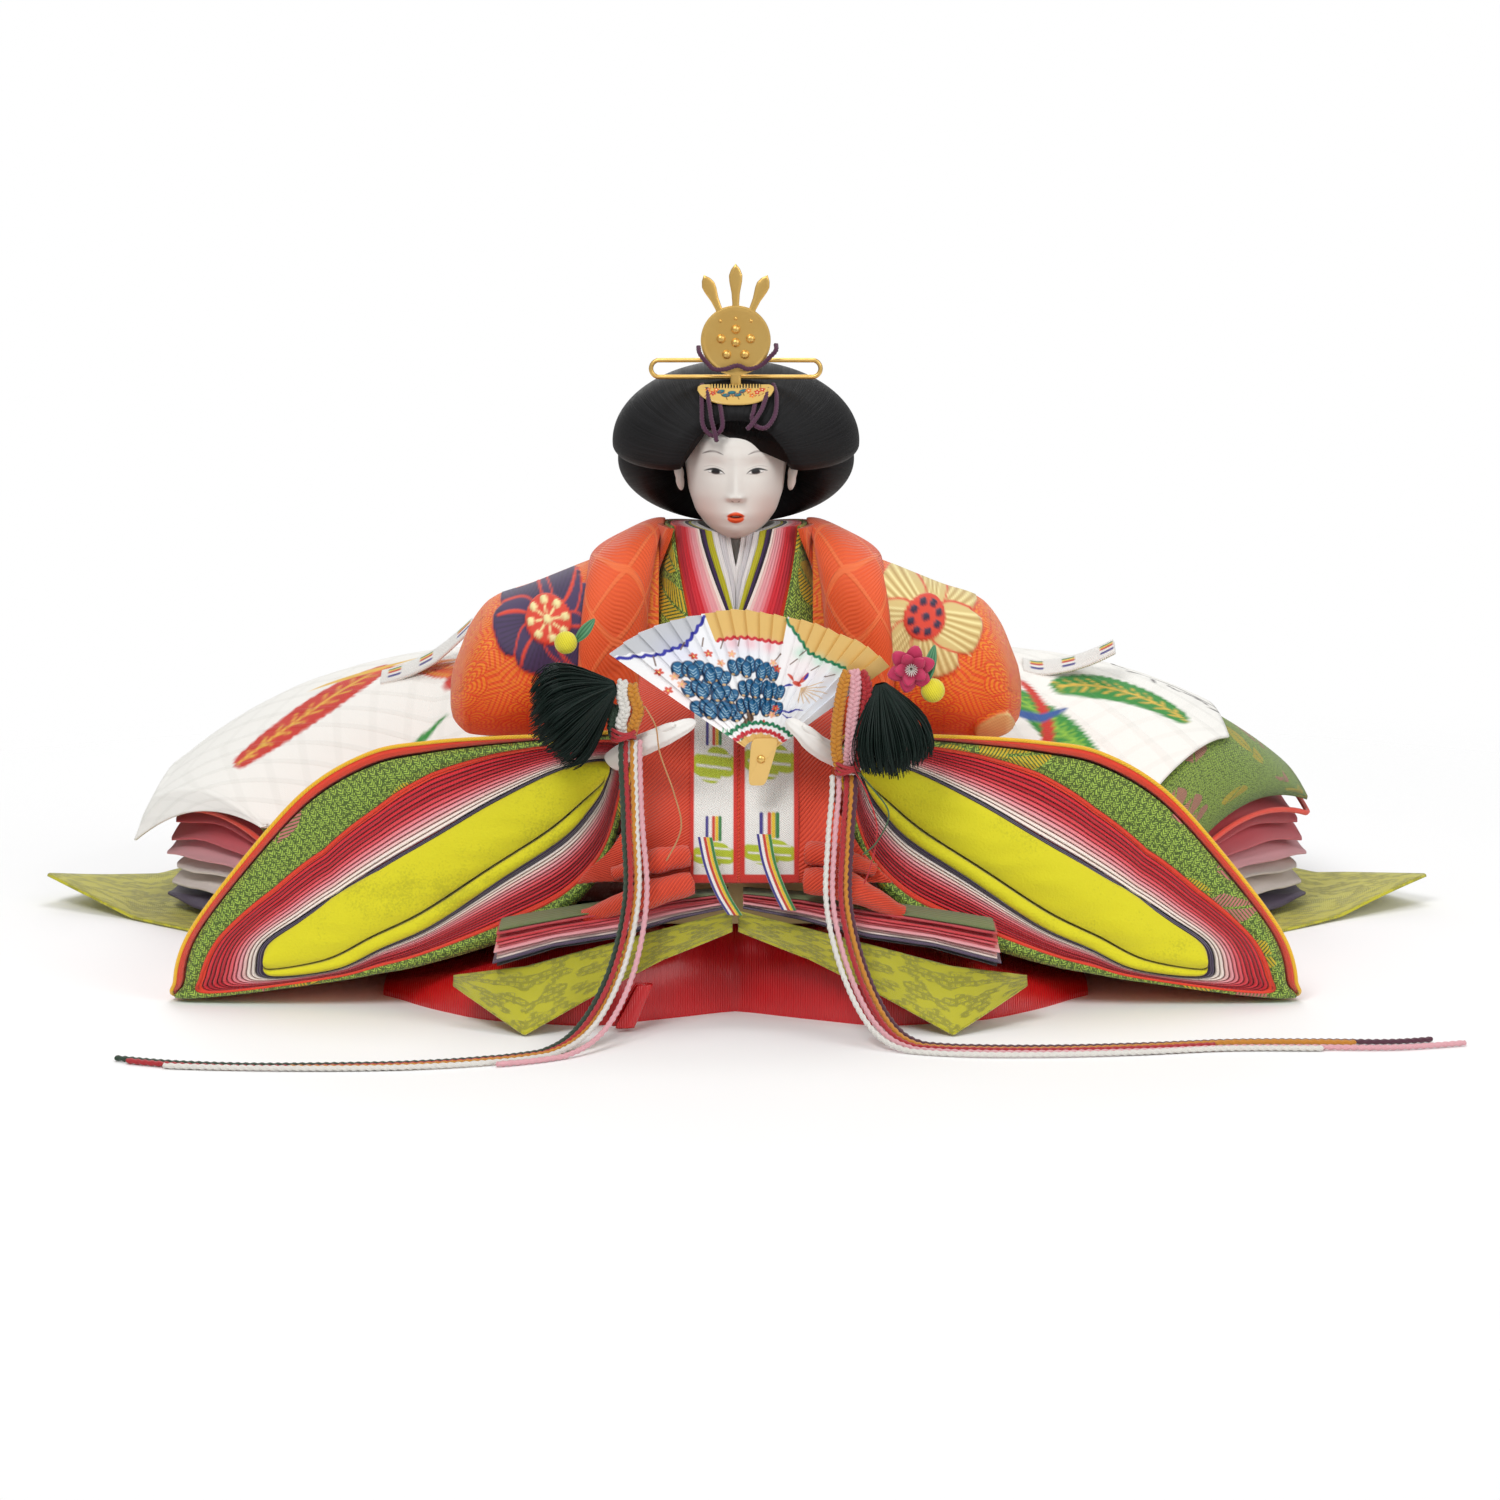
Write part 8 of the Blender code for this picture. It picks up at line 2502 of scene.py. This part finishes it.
ball_silk = Finish("yellow_silk_ball", dye(226, 214, 30), 0.6, Sheen_Weight=0.3)
ball_lines = (ball_silk.solid()[0] + ball_silk.solid()[2] * 0.6).wave(0.0007)
ball_silk.feed("Base Color", ball_silk.blend(ball_lines * 0.4, dye(228, 216, 30), dye(186, 170, 10)))
ball_silk.relief(ball_lines, 0.0001)
leaf_silk = Finish("green_silk_leaf", dye(44, 110, 70), 0.6, Sheen_Weight=0.2)
leaf_vein = leaf_silk.cloth()[0].wave(0.0010)
leaf_silk.feed("Base Color", leaf_silk.blend(leaf_vein, dye(40, 104, 66), dye(86, 148, 104)))
petal_silk = Finish("crimson_silk_petal", dye(196, 16, 78), 0.6, Sheen_Weight=0.3)
petal_tone = petal_silk.cloth()[1]
petal_silk.feed("Base Color", petal_silk.blend(petal_tone.clear(0.0, 0.006) * 0.6, dye(150, 8, 60), dye(214, 40, 96)))


def ball(name, centre, radius):
    def place(around, along):
        turn, rise = 2 * math.pi * around, math.pi * (along - 0.5)
        return Vector(centre) + Vector((math.cos(turn) * math.cos(rise), math.sin(turn) * math.cos(rise),
                                        math.sin(rise))) * radius

    bm = bmesh.new()
    laid_grid(bm, 32, 20, place, closed=True)
    facing_out(bm)
    piece = finished(name, bm, ball_silk, "fan", smooth=180)
    return piece


def leaf_piece(name, foot, tip, half_wide, bow):
    foot, tip = Vector(foot), Vector(tip)
    aim = tip - foot
    aside = aim.cross(Vector((0, -1, 0))).normalized()

    def place(across, along):
        side = 2 * across - 1
        wide = half_wide * math.sin(math.pi * min(1.0, 0.06 + along * 0.92)) ** 0.7
        return (foot + aim * along + aside * side * wide
                + Vector((0, -1, 0)) * (bow * math.sin(math.pi * along) + 0.0012 * abs(side) * (1 - along)))

    bm = bmesh.new()
    laid_grid(bm, 12, 24, place, (2 * half_wide, aim.length))
    piece = finished(name, bm, leaf_silk, "fan", wall=0.0002, offset=0.0)
    return piece


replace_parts(ball("silk_ball_left", (-0.0500, -0.0940, 0.1146), 0.0034), "ornament_left")
leaf_piece("silk_leaf_left", (-0.0470, -0.0930, 0.1150), (-0.0415, -0.0925, 0.1215), 0.0016, 0.0010)
ball("silk_ball_right", (0.0585, -0.0930, 0.1002), 0.0036)
leaf_piece("silk_leaf_right", (0.0560, -0.0925, 0.1020), (0.0590, -0.0915, 0.1135), 0.0018, 0.0012)
bm = bmesh.new()
blossom = Vector((0.0520, -0.0935, 0.1068))
for ring_index, (count, reach, lift) in enumerate(((6, 0.0072, 0.10), (5, 0.0056, 0.55))):
    for k in range(count):
        angle = 2 * math.pi * k / count + 0.4 * ring_index + 0.3
        aim = Vector((math.cos(angle), -lift, math.sin(angle))).normalized()
        aside = aim.cross(Vector((0, -1, 0))).normalized()

        def petal_place(across, along, aim=aim, aside=aside, reach=reach):
            side = 2 * across - 1
            wide = reach * 0.36 * math.sin(math.pi * min(1.0, 0.08 + along * 0.90)) ** 0.6
            cup = Vector((0, -1, 0)) * (0.0012 * math.sin(along * 2.4) - 0.0006 * side * side)
            return blossom + aim * reach * along + aside * side * wide + cup

        laid_grid(bm, 8, 10, petal_place, (0.004, 0.006))
petals = finished("silk_blossom_right", bm, petal_silk, "fan", wall=0.00015, offset=0.0, smooth=60)
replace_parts(petals, "ornament_right")
bm = bmesh.new()
for k in range(16):
    angle = 2 * math.pi * k / 16
    lean = Vector((math.cos(angle) * 0.5, -1.0, math.sin(angle) * 0.5)).normalized()
    points = [blossom + lean * (0.0004 + 0.0042 * i / 4) for i in range(5)]
    rope(bm, points, 0.00014, 6)
facing_out(bm)
finished("blossom_stamens", bm, white_paper, "fan", smooth=180)

# Loose threads: the tail ends of the bindings, thin silk that curls beside the hanging cords
THREAD_DIAMETER = 0.0005
# Rows: name, dye and route
THREADS = (("thread_left_tan", dye(206, 150, 96), ((-0.0270, -0.0945, 0.0960), (-0.0235, -0.0965, 0.0900),
                                                   (-0.0222, -0.0975, 0.0820), (-0.0180, -0.0985, 0.0700),
                                                   (-0.0160, -0.1000, 0.0600), (-0.0205, -0.1005, 0.0500))),
           ("thread_right_red", dye(200, 30, 36), ((0.0352, -0.0945, 0.0765), (0.0390, -0.0965, 0.0700),
                                                   (0.0420, -0.0985, 0.0600), (0.0405, -0.1000, 0.0500),
                                                   (0.0380, -0.1010, 0.0430))),
           ("thread_right_green", dye(60, 96, 60), ((0.0356, -0.0942, 0.0768), (0.0410, -0.0965, 0.0710),
                                                    (0.0455, -0.0985, 0.0640), (0.0420, -0.1000, 0.0560),
                                                    (0.0375, -0.1010, 0.0520))))
for thread_name, thread_dye, route in THREADS:
    points = even(route, 0.0008)
    bm = bmesh.new()
    rope(bm, points, THREAD_DIAMETER / 2, 6)
    facing_out(bm)
    thread = finished(thread_name, bm, silk_cord(thread_name + "_silk", thread_dye), "fan", smooth=180)
    tuple(points[0])
    round(run_length(points), 4)
    [tuple(p) for p in points[::6] + [points[-1]]]
